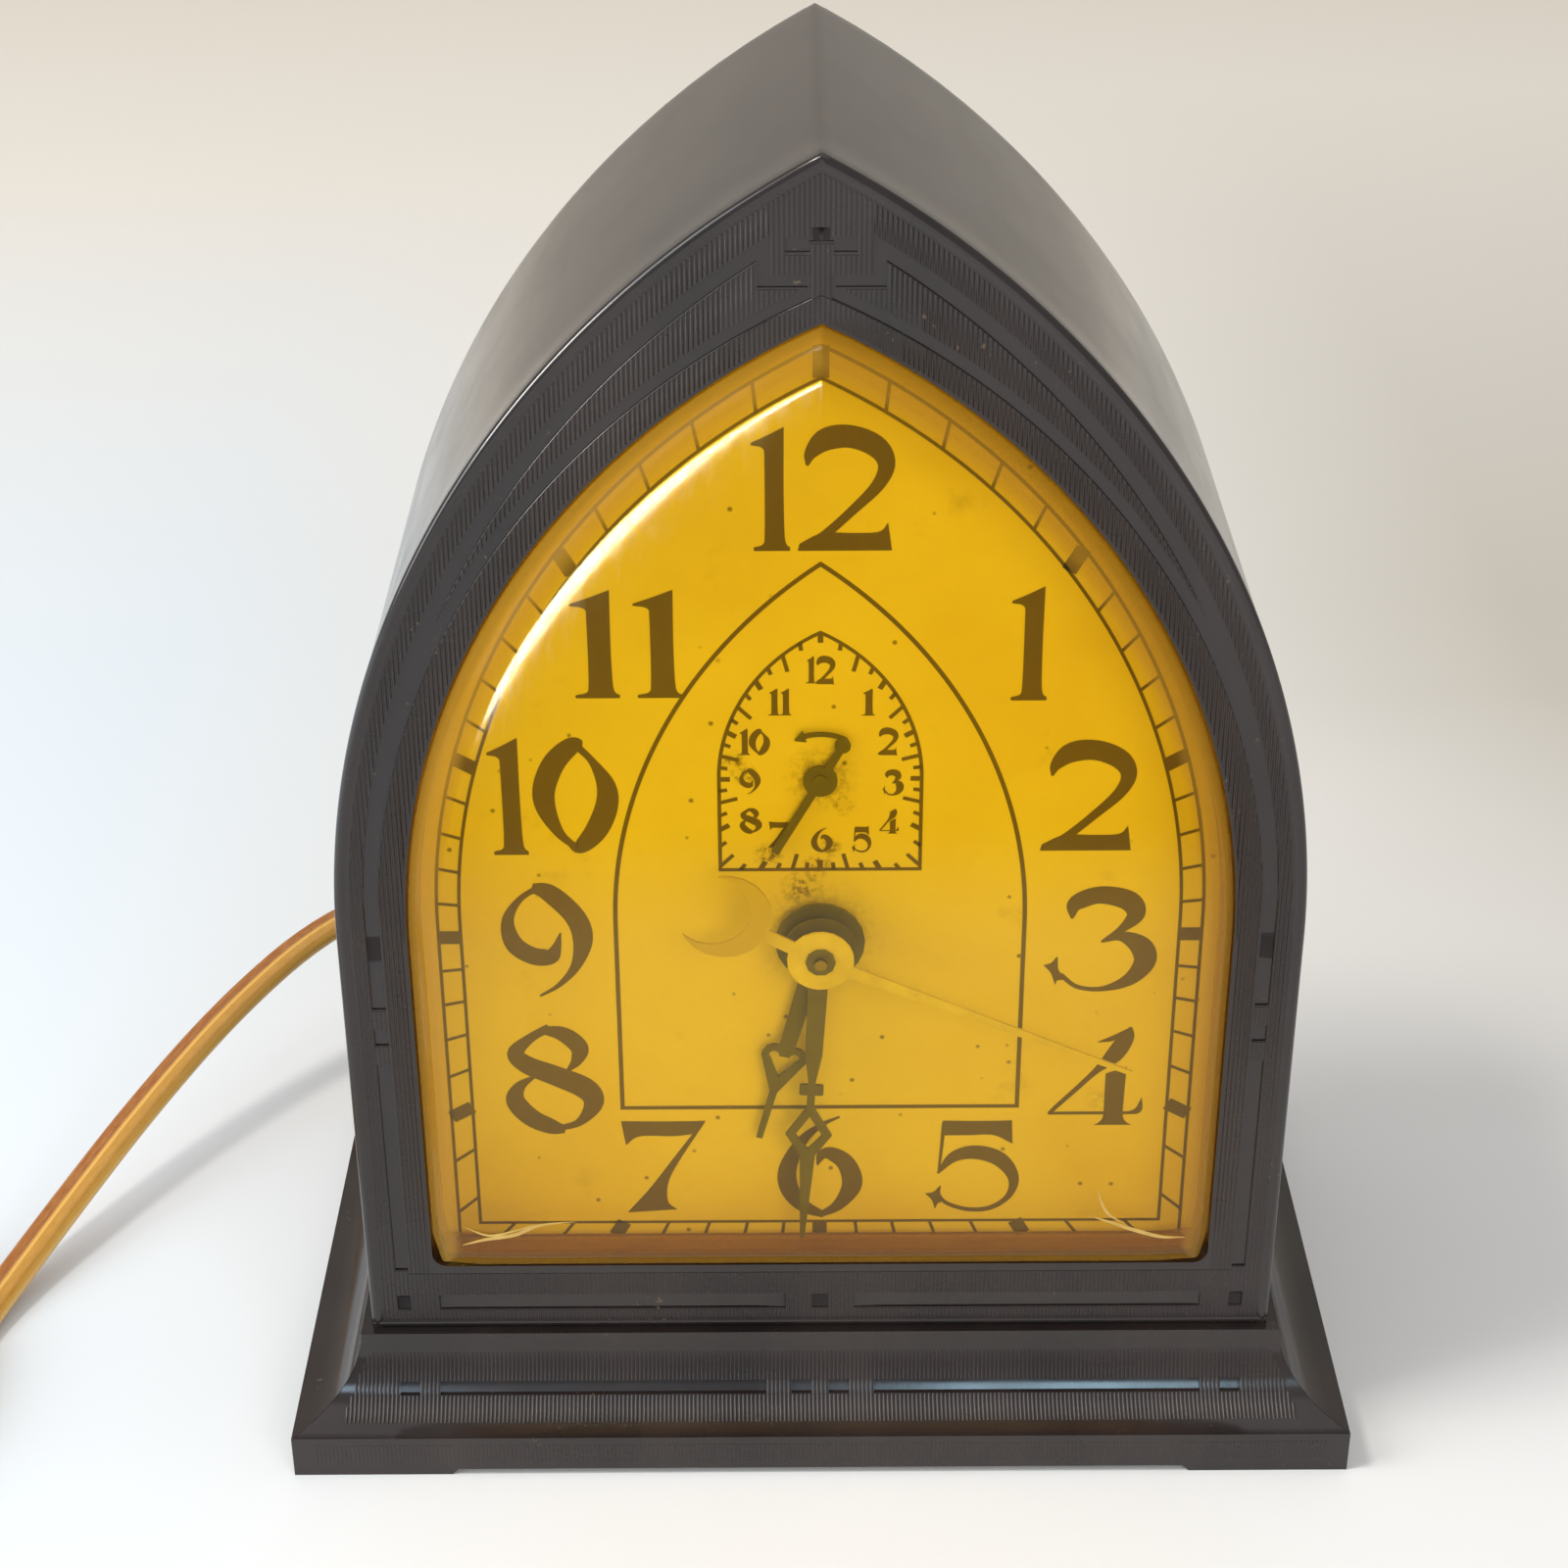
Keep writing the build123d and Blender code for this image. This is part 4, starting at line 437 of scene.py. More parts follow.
@dataclass(frozen=True)
class CrystalFinish:
    """Thin aged clear sheet: light passes tinted amber, deeper where looked along, with a clear gloss whose
    face-on share falls with height, a reflection painted stronger on the lower part.
    """

    name: str = "amber_crystal"
    across: tuple = (0.985, 0.878, 0.29)
    along: tuple = (0.87, 0.69, 0.05)
    rim: tuple = (0.83, 0.68, 0.05)
    glow: tuple = (0.72, 0.43, 0.06)
    glow_share: float = 0.22
    # Face-on gloss shares below and above the heights in film, in metres: a painted reflection, stronger on
    # the lower part.
    face_on: tuple = (0.038, 0.008)
    film: tuple = (0.080, 0.096)
    scuffed: tuple = (0.07, 0.16)
    grazing: float = 0.98
    grazing_power: float = 5.0

    def build(self) -> bpy.types.Material:
        """Build the material.

        Returns:
            The material.
        """
        kit = Kit(self.name)
        where = kit.place()
        facing = kit.node("ShaderNodeLayerWeight", Blend=0.45)
        tint = kit.ramp(facing.outputs["Facing"], [(0.35, self.across), (0.95, self.along)])
        age = kit.noise(where, 45, 3, 0.5)
        tint = kit.mix(kit.span(age, 0.45, 0.75, 0, 0.22), tint, self.along)
        edge = kit.node("ShaderNodeAttribute")
        edge.attribute_name = "edge"
        tint = kit.mix(edge.outputs["Fac"], tint, self.rim)
        clear = kit.node("ShaderNodeBsdfTransparent", Color=tint)
        glow = kit.node("ShaderNodeBsdfDiffuse", Color=(*self.glow, 1))
        through = kit.blend(kit.span(edge.outputs["Fac"], 0, 1, 0, self.glow_share), clear, glow)
        wave = kit.noise(where, 38, 2, 0.4)
        scuff = kit.noise(kit.place((1, 1, 0.2)), 1500, 3, 0.7)
        rough = kit.span(scuff, 0.45, 0.8, *self.scuffed)
        normal = kit.bump(wave, 0.0003, 0.07)
        gloss = kit.node("ShaderNodeBsdfGlossy", Roughness=rough, Normal=normal)
        slant = kit.node("ShaderNodeLayerWeight", Blend=0.5, Normal=normal)
        power = kit.combine("POWER", slant.outputs["Facing"], self.grazing_power)
        height = kit.node("ShaderNodeSeparateXYZ", Vector=where).outputs["Z"]
        # Painted reflection: more face-on gloss below the film heights than above them.
        base = kit.span(height, *self.film, *self.face_on)
        veil = kit.combine("ADD", kit.span(power, 0, 1, 0, self.grazing), base)
        share = kit.product(veil, kit.span(edge.outputs["Fac"], 0.6, 1, 1, 0.5))
        kit.show(kit.blend(share, through, gloss))
        return kit.material


@dataclass(frozen=True)
class CardFinish:
    """Printed paper or painted card: a soft colour with mottling, foxed specks and faint stains, and listed
    dark spots, which on the dial include painted shade round the hands' centre.
    """

    name: str
    colour: tuple
    shade: tuple
    stain_and_painted_shade: tuple
    rough: float = 0.55
    specks: float = 1.0
    stains_and_hub_shade: tuple = ()

    def darken_round_spot(self, kit: Kit, where: Socket, spot: tuple) -> Socket:
        """Broken darkening round a spot, used for stains, specks and painted shade round a hub: a share that
        falls over its reach in millimetres, cut by a noise.

        Args:
            kit: the material's kit.
            where: Object coordinates.
            spot: x, z, reach and greatest share.
        Returns:
            The share's socket.
        """
        x, z, reach, share = spot
        far = kit.distance((x * MM, 0, z * MM))
        near = kit.span(far, reach * MM * 0.25, reach * MM, share, 0)
        return kit.product(near, kit.span(kit.noise(where, 1100, 5, 0.75), 0.47, 0.56, 0.12, 1))

    def build(self) -> bpy.types.Material:
        """Build the material.

        Returns:
            The material.
        """
        kit = Kit(self.name)
        where = kit.place()
        tone = kit.ramp(kit.noise(where, 32, 4, 0.6), [(0.3, self.shade), (0.7, self.colour)])
        cloud = kit.span(kit.noise(where, 85, 5, 0.7), 0.62, 0.80, 0, 0.30 * self.specks)
        tone = kit.mix(cloud, tone, self.stain_and_painted_shade)
        dots = kit.node("ShaderNodeTexVoronoi", Vector=where, Scale=210)
        chance = kit.noise(where, 120, 2, 0.5)
        near = kit.span(dots.outputs["Distance"], 0.04, 0.085, 1, 0)
        rare = kit.span(chance, 0.43, 0.50, 0, 0.85 * self.specks)
        tone = kit.mix(kit.product(near, rare), tone, self.stain_and_painted_shade)
        # Listed dark spots: stains and specks, and on the dial also painted shade round the hands' centre.
        for place in self.stains_and_hub_shade:
            tone = kit.mix(self.darken_round_spot(kit, where, place), tone, self.stain_and_painted_shade)
        fibre = kit.noise(kit.place((1, 1, 0.5)), 2200, 3, 0.6)
        rough = kit.span(fibre, 0.3, 0.7, self.rough - 0.08, self.rough + 0.08)
        kit.shade(Base_Color=tone, Roughness=rough, Normal=kit.bump(fibre, 0.00002, 0.3))
        return kit.material


@dataclass(frozen=True)
class MetalFinish:
    """Rolled or turned metal with tarnish clouds, fine drawn lines and uneven polish."""

    name: str
    bright: tuple
    tarnish: tuple
    gloss: tuple = (0.24, 0.45)
    lines: tuple = (1, 1, 14)

    def build(self) -> bpy.types.Material:
        """Build the material.

        Returns:
            The material.
        """
        kit = Kit(self.name)
        where = kit.place()
        cloud = kit.noise(where, 160, 5, 0.62)
        colour = kit.ramp(cloud, [(0.38, self.bright), (0.74, self.tarnish)])
        drawn = kit.noise(kit.place(self.lines), 420, 3, 0.6)
        rough = kit.span(drawn, 0.3, 0.7, *self.gloss)
        kit.shade(Base_Color=colour, Metallic=1.0, Roughness=rough, Normal=kit.bump(drawn, 0.00001, 0.4))
        return kit.material


@dataclass(frozen=True)
class PaintFinish:
    """Enamel or lacquer over metal, with an uneven film, chips and small pits, and optional painted shade
    near one spot.
    """

    name: str
    colour: tuple
    shade: tuple
    chip: tuple
    gloss: tuple = (0.30, 0.48)
    painted_shade_tone: tuple = ()
    painted_shade_spot: tuple = (-0.013, 0, 0.082)
    painted_shade_reach: tuple = (0.0095, 0.0065)

    def build(self) -> bpy.types.Material:
        """Build the material; with a painted shade tone the paint turns nine tenths of the way to it near one
        spot, fading out over the reach.

        Returns:
            The material.
        """
        kit = Kit(self.name)
        where = kit.place()
        tone = kit.ramp(kit.noise(where, 240, 4, 0.6), [(0.32, self.shade), (0.68, self.colour)])
        # Painted shade: the paint darkens near one spot, on the pale hand's crescent.
        if self.painted_shade_tone:
            painted_shade_share = kit.span(kit.distance(self.painted_shade_spot), *self.painted_shade_reach, 0, 0.9)
            tone = kit.mix(painted_shade_share, tone, self.painted_shade_tone)
        chips = kit.span(kit.noise(where, 620, 5, 0.75), 0.70, 0.74, 0, 0.85)
        tone = kit.mix(chips, tone, self.chip)
        film = kit.noise(where, 800, 3, 0.55)
        rough = kit.span(film, 0.3, 0.7, *self.gloss)
        kit.shade(Base_Color=tone, Roughness=rough, Normal=kit.bump(film, 0.00003, 0.35))
        return kit.material


@dataclass(frozen=True)
class WindingFinish:
    """Enamelled copper wire wound side by side, with an insulating lacquer gloss."""

    name: str = "wound_copper"
    wire: tuple = (0.42, 0.13, 0.045)
    gap: tuple = (0.10, 0.028, 0.012)
    pitch: float = 0.0005

    def build(self) -> bpy.types.Material:
        """Build the material.

        Returns:
            The material.
        """
        kit = Kit(self.name)
        where = kit.place()
        bands = kit.node("ShaderNodeTexWave", Vector=where, Scale=WAVE_PERIOD / self.pitch, Distortion=0.6)
        bands.bands_direction = "X"
        tone = kit.ramp(bands.outputs["Fac"], [(0.15, self.gap), (0.55, self.wire)])
        rough = kit.span(bands.outputs["Fac"], 0, 1, 0.5, 0.28)
        kit.shade(Base_Color=tone, Roughness=rough, Normal=kit.bump(bands.outputs["Fac"], 0.0001, 0.8))
        return kit.material


@dataclass(frozen=True)
class LaminateFinish:
    """Stacked iron stampings: fine layers across the stack, oiled and lightly rusted."""

    name: str = "stacked_iron"
    face: tuple = (0.085, 0.08, 0.078)
    rust: tuple = (0.17, 0.075, 0.03)
    pitch: float = 0.0006

    def build(self) -> bpy.types.Material:
        """Build the material.

        Returns:
            The material.
        """
        kit = Kit(self.name)
        where = kit.place()
        layers = kit.node("ShaderNodeTexWave", Vector=where, Scale=WAVE_PERIOD / self.pitch, Distortion=0.2)
        layers.bands_direction = "Y"
        tone = kit.ramp(kit.noise(where, 190, 5, 0.65), [(0.5, self.face), (0.78, self.rust)])
        rough = kit.span(layers.outputs["Fac"], 0, 1, 0.62, 0.38)
        normal = kit.bump(layers.outputs["Fac"], 0.00008, 0.7)
        kit.shade(Base_Color=tone, Metallic=0.6, Roughness=rough, Normal=normal)
        return kit.material


@dataclass(frozen=True)
class FlexFinish:
    """Clear amber twin flex: two coppery cores under a waxy skin, from the cord's map across its width."""

    name: str = "amber_twin_flex"
    skin: tuple = (0.76, 0.44, 0.095)
    near_core: tuple = (0.49, 0.235, 0.030)
    far_core: tuple = (0.33, 0.098, 0.011)
    dust: tuple = (0.60, 0.36, 0.11)

    def build(self) -> bpy.types.Material:
        """Build the material.

        Returns:
            The material.
        """
        kit = Kit(self.name)
        where = kit.node("ShaderNodeUVMap")
        where.uv_map = "run"
        split = kit.node("ShaderNodeSeparateXYZ", Vector=where.outputs[0])
        across = kit.ramp(split.outputs["Y"], [
            (0.0, self.skin), (0.10, self.near_core), (0.41, self.near_core), (0.48, self.skin),
            (0.52, self.skin), (0.59, self.far_core), (0.90, self.far_core), (1.0, self.near_core),
        ])
        stretched = kit.node("ShaderNodeMapping", Vector=where.outputs[0], Scale=(260, 7, 1))
        strands = kit.noise(stretched.outputs[0], 1.6, 4, 0.6)
        tone = kit.mix(kit.span(strands, 0.4, 0.8, 0, 0.3), across, self.skin)
        place = kit.place()
        tone = kit.mix(kit.span(kit.noise(place, 150, 4, 0.6), 0.58, 0.8, 0, 0.22), tone, self.dust)
        film = kit.noise(place, 1100, 3, 0.6)
        rough = kit.span(film, 0.3, 0.7, 0.26, 0.42)
        kit.shade(
            Base_Color=tone, Roughness=rough, Normal=kit.bump(film, 0.00003, 0.4), Subsurface_Weight=0.18,
            Subsurface_Radius=(0.0012, 0.0006, 0.0002), Coat_Weight=0.35, Coat_Roughness=0.18,
        )
        return kit.material


class Finish(Enum):
    """The clock's finishes by use."""

    MOULDING = MouldedFinish()
    # A lighter copy of the moulding for the ribs, with a rougher gloss and weaker shine; its lightness is
    # painted light that brightens the ribbed front, cove and slab.
    RIBBED = MouldedFinish(
        "ribbed_brown", (0.022, 0.0168, 0.0168), (0.040, 0.0295, 0.028),
        speck_share=0.69, gloss=(0.24, 0.34), shine=0.42,
    )
    CRYSTAL = CrystalFinish()
    DIAL = CardFinish(
        "dial_card", (0.88, 0.795, 0.42), (0.825, 0.735, 0.375), (0.17, 0.105, 0.028),
        # Corrosion specks and a brown stain; the wide spot at 0, 97.5 darkens the dial round the alarm hub,
        # and the one at 0, 75 is painted shade round the hands' centre.
        stains_and_hub_shade=(
            (0, 97.5, 5.0, 0.6), (-6.4, 86.8, 2.1, 1.0), (-0.3, 85.3, 2.0, 1.0), (1.3, 87.8, 1.6, 0.9),
            (-10.5, 100, 1.7, 0.9), (-9.3, 98.2, 1.8, 0.9), (2.9, 93.7, 1.6, 0.9), (-2.2, 82.1, 3.0, 0.8),
            (0, 75, 9.5, 0.3), (36.5, 50.0, 3.2, 0.25),
        ),
    )
    INK = CardFinish("dial_ink", (0.165, 0.122, 0.047), (0.122, 0.088, 0.034), (0.26, 0.20, 0.08), 0.5, 0.6)
    BRASS = MetalFinish("lacquered_brass", (0.72, 0.50, 0.17), (0.36, 0.21, 0.06))
    STEEL = MetalFinish("bright_steel", (0.56, 0.55, 0.53), (0.24, 0.20, 0.16))
    DARK_HAND = PaintFinish("hand_lacquer", (0.138, 0.130, 0.095), (0.108, 0.102, 0.076), (0.26, 0.23, 0.13))
    # The pale hand darkens near its crescent: painted shade.
    PALE_HAND = PaintFinish(
        "pale_hand", (0.86, 0.79, 0.63), (0.72, 0.65, 0.48), (0.34, 0.27, 0.13), painted_shade_tone=(0.60, 0.50, 0.30),
    )
    CREASE = PaintFinish("pale_crease", (0.66, 0.44, 0.11), (0.52, 0.31, 0.06), (0.80, 0.60, 0.24))
    PIN = MetalFinish("hand_pin", (0.34, 0.28, 0.20), (0.15, 0.12, 0.08))
    CORE = LaminateFinish()
    BOBBIN = CardFinish("bobbin_fibre", (0.33, 0.085, 0.045), (0.22, 0.05, 0.03), (0.08, 0.02, 0.015))
    WINDING = WindingFinish()
    KNOB = MouldedFinish("knob_moulding", (0.008, 0.007, 0.0068), (0.017, 0.014, 0.013), (0.16, 0.14, 0.11))
    COVER = PaintFinish("cover_enamel", (0.030, 0.022, 0.017), (0.018, 0.013, 0.010), (0.24, 0.20, 0.16))
    GROMMET = MouldedFinish(
        "grommet_rubber", (0.012, 0.011, 0.010), (0.028, 0.025, 0.022), (0.09, 0.08, 0.07),
        speck_share=0.68, gloss=(0.55, 0.75),
    )
    FLEX = FlexFinish()
    TIE = CardFinish("tie_twine", (0.62, 0.52, 0.36), (0.45, 0.36, 0.22), (0.22, 0.16, 0.09), 0.8)

    def material(self) -> bpy.types.Material:
        """The finish's one material, built when first asked for."""
        found = bpy.data.materials.get(self.value.name)
        return found or self.value.build()


def dress(piece: Object, finish: Finish) -> None:
    """Give a piece one finish in every slot.

    Args:
        piece: the piece.
        finish: its finish.
    """
    slots = piece.material_slots
    if slots:
        for slot in slots:
            slot.material = finish.material()
    else:
        piece.data.materials.append(finish.material())


def fit(piece: Object, finish: Finish, slot: str, *stands_for: str) -> Object:
    """Dress a new piece, tie it to the clock's body, and hide the CAD nodes that it stands for.

    Args:
        piece: the new piece.
        finish: its finish.
        slot: not used.
        stands_for: CAD nodes to hide.
    Returns:
        The piece.
    """
    dress(piece, finish)
    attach(piece, CLOCK)
    if stands_for:
        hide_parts(*stands_for)
    log.info("%s: %d faces", piece.name, len(piece.data.polygons))
    return piece


# Camera, floor and light


@dataclass
class Studio:
    """Camera at the photograph's angle, a pale swept floor and soft lamps. Places are in millimetres."""

    eye: tuple = (-4.4, -337.3, 272.0)
    pitch: float = 0.514
    roll: float = -0.0053
    focal_pixels: float = 2995.5
    image_pixels: float = 1600.0
    sensor: float = 36.0
    floor_reach: float = 2600.0
    sweep_start: float = 1300.0
    sweep_radius: float = 700.0
    floor_columns: int = 9
    near_tones: tuple = ((0.84, 0.84, 0.845), (0.87, 0.87, 0.875))
    far_tone: tuple = (0.94, 0.87, 0.775)
    painted_shadow_tone: tuple = (0.60, 0.56, 0.495)
    painted_cool_light: tuple = (0.79, 0.86, 0.93)
    window: tuple = (-883, -255, 496)
    warm_white: tuple = (1.0, 0.98, 0.95)
    surround: tuple = (0.96, 0.98, 1.0, 1)
    surround_strength: float = 0.40

    def camera(self) -> Object:
        """Make the camera and set it on the scene.

        Returns:
            The camera.
        """
        right = Vector((1, 0, 0))
        ahead = Vector((0, math.cos(self.pitch), -math.sin(self.pitch)))
        over = Vector((0, math.sin(self.pitch), math.cos(self.pitch)))
        side = right * math.cos(self.roll) + over * math.sin(self.roll)
        rise = over * math.cos(self.roll) - right * math.sin(self.roll)
        data = bpy.data.cameras.new("studio_camera")
        data.sensor_width = self.sensor
        data.lens = self.focal_pixels / self.image_pixels * self.sensor
        data.clip_start = 0.01
        camera = bpy.data.objects.new("studio_camera", data)
        turn = Matrix((side, rise, -ahead)).transposed().to_4x4()
        camera.matrix_world = Matrix.Translation(Vector(self.eye) * MM) @ turn
        bpy.context.scene.collection.objects.link(camera)
        bpy.context.scene.camera = camera
        return camera

    def floor(self) -> Object:
        """Make the pale floor: a flat sheet that sweeps up behind in a quarter circle, carried across x. Its
        colour turns warmer towards the back and carries a painted shadow behind the clock on the right and a
        painted cool window light on the left.

        Returns:
            The floor.
        """
        turn = np.linspace(0, math.pi / 2, 25)
        flat_y = np.linspace(-self.floor_reach, self.sweep_start, 12)[:-1]
        rise_y = self.sweep_start + self.sweep_radius * np.sin(turn)
        rise_z = self.sweep_radius * (1 - np.cos(turn))
        y = np.concatenate([flat_y, rise_y, [rise_y[-1]]])
        z = np.concatenate([np.zeros(len(flat_y)), rise_z, [self.floor_reach]])
        x = np.linspace(-self.floor_reach, self.floor_reach, self.floor_columns)
        points = np.stack([np.tile(x, len(y)), np.repeat(y, len(x)), np.repeat(z, len(x))], axis=1)
        floor = make_piece("floor_sweep", points, grid_faces(len(y), len(x), False))
        kit = Kit("pale_floor")
        grain = kit.noise(kit.place(), 8, 3, 0.5)
        near = kit.ramp(grain, list(zip((0.35, 0.65), self.near_tones)))
        place = kit.node("ShaderNodeSeparateXYZ", Vector=kit.place()).outputs
        tone = kit.mix(kit.span(place["Y"], -0.05, 0.7, 0, 1), near, self.far_tone)
        # Painted shadow of the clock on the floor behind it on the right.
        behind = kit.product(kit.span(place["Y"], 0.03, 0.18, 0, 1), kit.span(place["Y"], 0.22, 0.6, 1, 0))
        painted_shadow = kit.product(behind, kit.span(place["X"], 0.03, 0.15, 0, 1))
        tone = kit.mix(painted_shadow, tone, self.painted_shadow_tone)
        # Painted cool window light on the near left floor, fading out towards the back.
        left = kit.span(place["X"], -0.05, -0.13, 0, 0.9)
        tone = kit.mix(kit.product(left, kit.span(place["Y"], 0.2, 0.5, 1, 0)), tone, self.painted_cool_light)
        kit.shade(Base_Color=tone, Roughness=0.6)
        floor.data.materials.append(kit.material)
        return floor

    def lamp(
        self, name: str, place: tuple, aim: tuple, size: tuple, power: float, colour: tuple,
        roll: float = 0.0,
    ) -> Object:
        """Make one soft rectangular lamp.

        Args:
            name: the lamp's name.
            place: where it stands, in millimetres.
            aim: the point that it faces, in millimetres.
            size: width and height in millimetres.
            power: in watts.
            colour: its light.
            roll: turn about its own axis, in degrees.
        Returns:
            The lamp.
        """
        data = bpy.data.lights.new(name, "AREA")
        data.shape = "RECTANGLE"
        data.size, data.size_y = (s * MM for s in size)
        data.energy = power
        data.color = colour
        lamp = bpy.data.objects.new(name, data)
        lamp.location = Vector(place) * MM
        face = (Vector(aim) - Vector(place)).to_track_quat("-Z", "Y")
        lamp.rotation_euler = (face @ Quaternion((0, 0, 1), math.radians(roll))).to_euler()
        bpy.context.scene.collection.objects.link(lamp)
        return lamp

    def light(self) -> None:
        """Make the lamps and the soft surround."""
        self.lamp("window_left", self.window, (0, 0, 100), (520, 900), 7, (0.92, 0.97, 1.0))
        self.lamp("high_left", (-700, -200, 1350), (0, 0, 60), (260, 260), 7, (1.0, 0.95, 0.87))
        self.lamp("ceiling_soft", (0, 0, 1500), (0, 0, 60), (1500, 1300), 3, self.warm_white)
        fill = self.lamp("front_fill", (500, -1200, 620), (0, 0, 60), (800, 600), 7.5, self.warm_white)
        fill.visible_glossy = False
        world = bpy.data.worlds.new("soft_surround")
        world.use_nodes = True
        ground = world.node_tree.nodes["Background"]
        ground.inputs["Color"].default_value = self.surround
        ground.inputs["Strength"].default_value = self.surround_strength
        bpy.context.scene.world = world
        bpy.context.scene.view_settings.view_transform = "Standard"

    def shine(self, crystal: Object) -> None:
        """Make the long lamp that shines on the crystal only, for the streak on its upper left part.

        Args:
            crystal: the crystal's piece.
        """
        lamp = self.lamp(
            "window_shine", (-76, -318, 74), (-18, -36, 130), (195, 36), 3.2, (1.0, 0.99, 0.96), roll=43.5,
        )
        self.only(lamp, "crystal_only", crystal)

    def glint(self, *edges: Object) -> None:
        """Make the lamp that draws a bright line along the left edge of the arch and of its sunk bands."""
        lamp = self.lamp("window_edge", self.window, (0, -31, 150), (200, 300), 4.7, (1.0, 0.97, 0.92))
        self.only(lamp, "edges_only", *edges)

    def sky(self, *plinth: Object) -> None:
        """Make two small bluish lamps that shine on the right bar and on the left corner of the cove.

        Args:
            plinth: the plinth's pieces.
        """
        right = self.lamp("window_sky", (125, -740, 710), (32, -38, 9), (130, 150), 0.7, (0.50, 0.80, 1.0))
        left = self.lamp(
            "window_corner", (-222, -740, 740), (-61, -38, 9), (30, 150), 0.35, (0.55, 0.78, 1.0),
        )
        self.only(right, "bar_only", *plinth)
        self.only(left, "corner_only", *plinth)

    def only(self, lamp: Object, name: str, *pieces: Object) -> None:
        """Let a lamp show as a shine on the given pieces and nowhere else.

        Args:
            lamp: the lamp.
            name: name of its collection.
            pieces: the pieces that it shines on.
        """
        lamp.visible_diffuse = False
        lit = bpy.data.collections.new(name)
        for piece in pieces:
            lit.objects.link(piece)
        lamp.light_linking.receiver_collection = lit


# Cord


@dataclass
class FlexLead:
    """Flat twin flex: out of the back, down and along the table to a tied coil with a plug. Millimetres.

    Its line is one smooth spline whose control points are the route's points, then eight to each half turn of
    the coil, pushed out by 1 / cos(half a step) because the spline runs inside them.
    """

    width: float = 5.4
    thick: float = 2.8
    rest: float = 1.5
    layer: float = 3.1
    coil_line: float = -27.55
    coil_start: float = -119.5
    coil_outer: float = 37.0
    coil_pitch: float = 5.9
    half_turns: int = 4
    tail: float = 34.0
    per_half: int = 8
    section_points: int = 28
    groove: float = 0.34
    groove_half: float = 0.62
    plug_height: float = 6.0
    sleeve_length: float = 22.0
    sleeve_radius: float = 4.3
    sleeve_taper: float = 1.0
    sleeve_flat: float = 0.72
    sleeve_ring: float = 0.16
    sleeve_pitch: float = 3.0
    tie_turns: float = 3.5
    tie_pitch: float = 1.3
    tie_start: float = 2.2
    tie_radius: float = 0.55
    tie_ply: float = 0.12
    tie_twist: float = 14
    tie_room: tuple = (0.75, 0.7)
    tie_lift: float = 0.1
    tie_floor: float = 0.62
    tie_points: int = 10

    def route(self) -> Points:
        """Control points of the whole line, from the exit to the plug.

        Returns:
            Rows of x, y, z.
        """
        down = np.array([
            (-38, 32.1, 33), (-38, 47, 32), (-47.5, 60, 29.5), (-62.2, 64.1, 27.1), (-77.6, 57.7, 23.6),
            (-90.6, 43.2, 17.9), (-101.6, 25.5, 11.7), (-110.1, 8.6, 6.4), (-116.1, -5.0, 2.9),
            (-119.5, -15, self.rest), (-119.5, -22, self.rest),
        ], float)
        shrink = self.coil_pitch / 2
        inner = self.coil_outer - shrink * np.arange(self.half_turns + 1)
        radii = np.concatenate([inner, inner[:-1][::-1]])
        ways = np.where(np.arange(len(radii)) % 2 == 0, -1.0, 1.0)
        ends = self.coil_start + np.cumsum(2 * radii * ways)
        starts = np.concatenate([[self.coil_start], ends[:-1]])
        middles = (starts + ends) / 2
        step = math.pi / self.per_half
        turn = np.linspace(step / 2, math.pi - step / 2, self.per_half)
        out = 1 / math.cos(step / 2)
        x = middles[:, None] + (starts - middles)[:, None] * np.cos(turn) * out
        y = self.coil_line + (ways * radii)[:, None] * np.sin(turn) * out
        stage = np.arange(len(radii))[:, None] + turn / math.pi
        climb = np.clip(stage - self.half_turns, 0, 1)
        z = self.rest + self.layer * climb
        coil = np.stack([x.ravel(), y.ravel(), z.ravel()], axis=1)
        top = self.rest + self.layer
        last = ends[-1]
        far = self.coil_line + self.tail
        tail = np.array([
            (last, self.coil_line + 8, top), (last, far - 10, top + 0.6), (last, far, self.plug_height),
        ], float)
        return np.vstack([down, coil, tail])

    def line(self) -> Points:
        """Points read from the route's spline, in millimetres.

        Returns:
            Rows of x, y, z.
        """
        route = self.route() * MM
        data = bpy.data.curves.new("flex_line", "CURVE")
        data.dimensions = "3D"
        data.resolution_u = 7
        spline = data.splines.new("NURBS")
        spline.points.add(len(route) - 1)
        spline.points.foreach_set("co", np.column_stack([route, np.ones(len(route))]).ravel())
        spline.order_u = 3
        spline.use_endpoint_u = True
        holder = bpy.data.objects.new("flex_line", data)
        bpy.context.scene.collection.objects.link(holder)
        bpy.context.view_layer.update()
        mesh = bpy.data.meshes.new_from_object(holder)
        points = np.empty(len(mesh.vertices) * 3)
        mesh.vertices.foreach_get("co", points)
        bpy.data.objects.remove(holder)
        bpy.data.curves.remove(data)
        bpy.data.meshes.remove(mesh)
        return points.reshape(-1, 3) / MM

    def frames(self, line: Points) -> tuple[Points, Points]:
        """Level side and upward directions along a line: side = run x up, so the flat flex never rolls.

        Args:
            line: points of the path.
        Returns:
            Unit rows of the side and of the upward direction.
        """
        run = unit(np.gradient(line, axis=0))
        side = unit(np.cross(run, (0, 0, 1)))
        return side, np.cross(side, run)

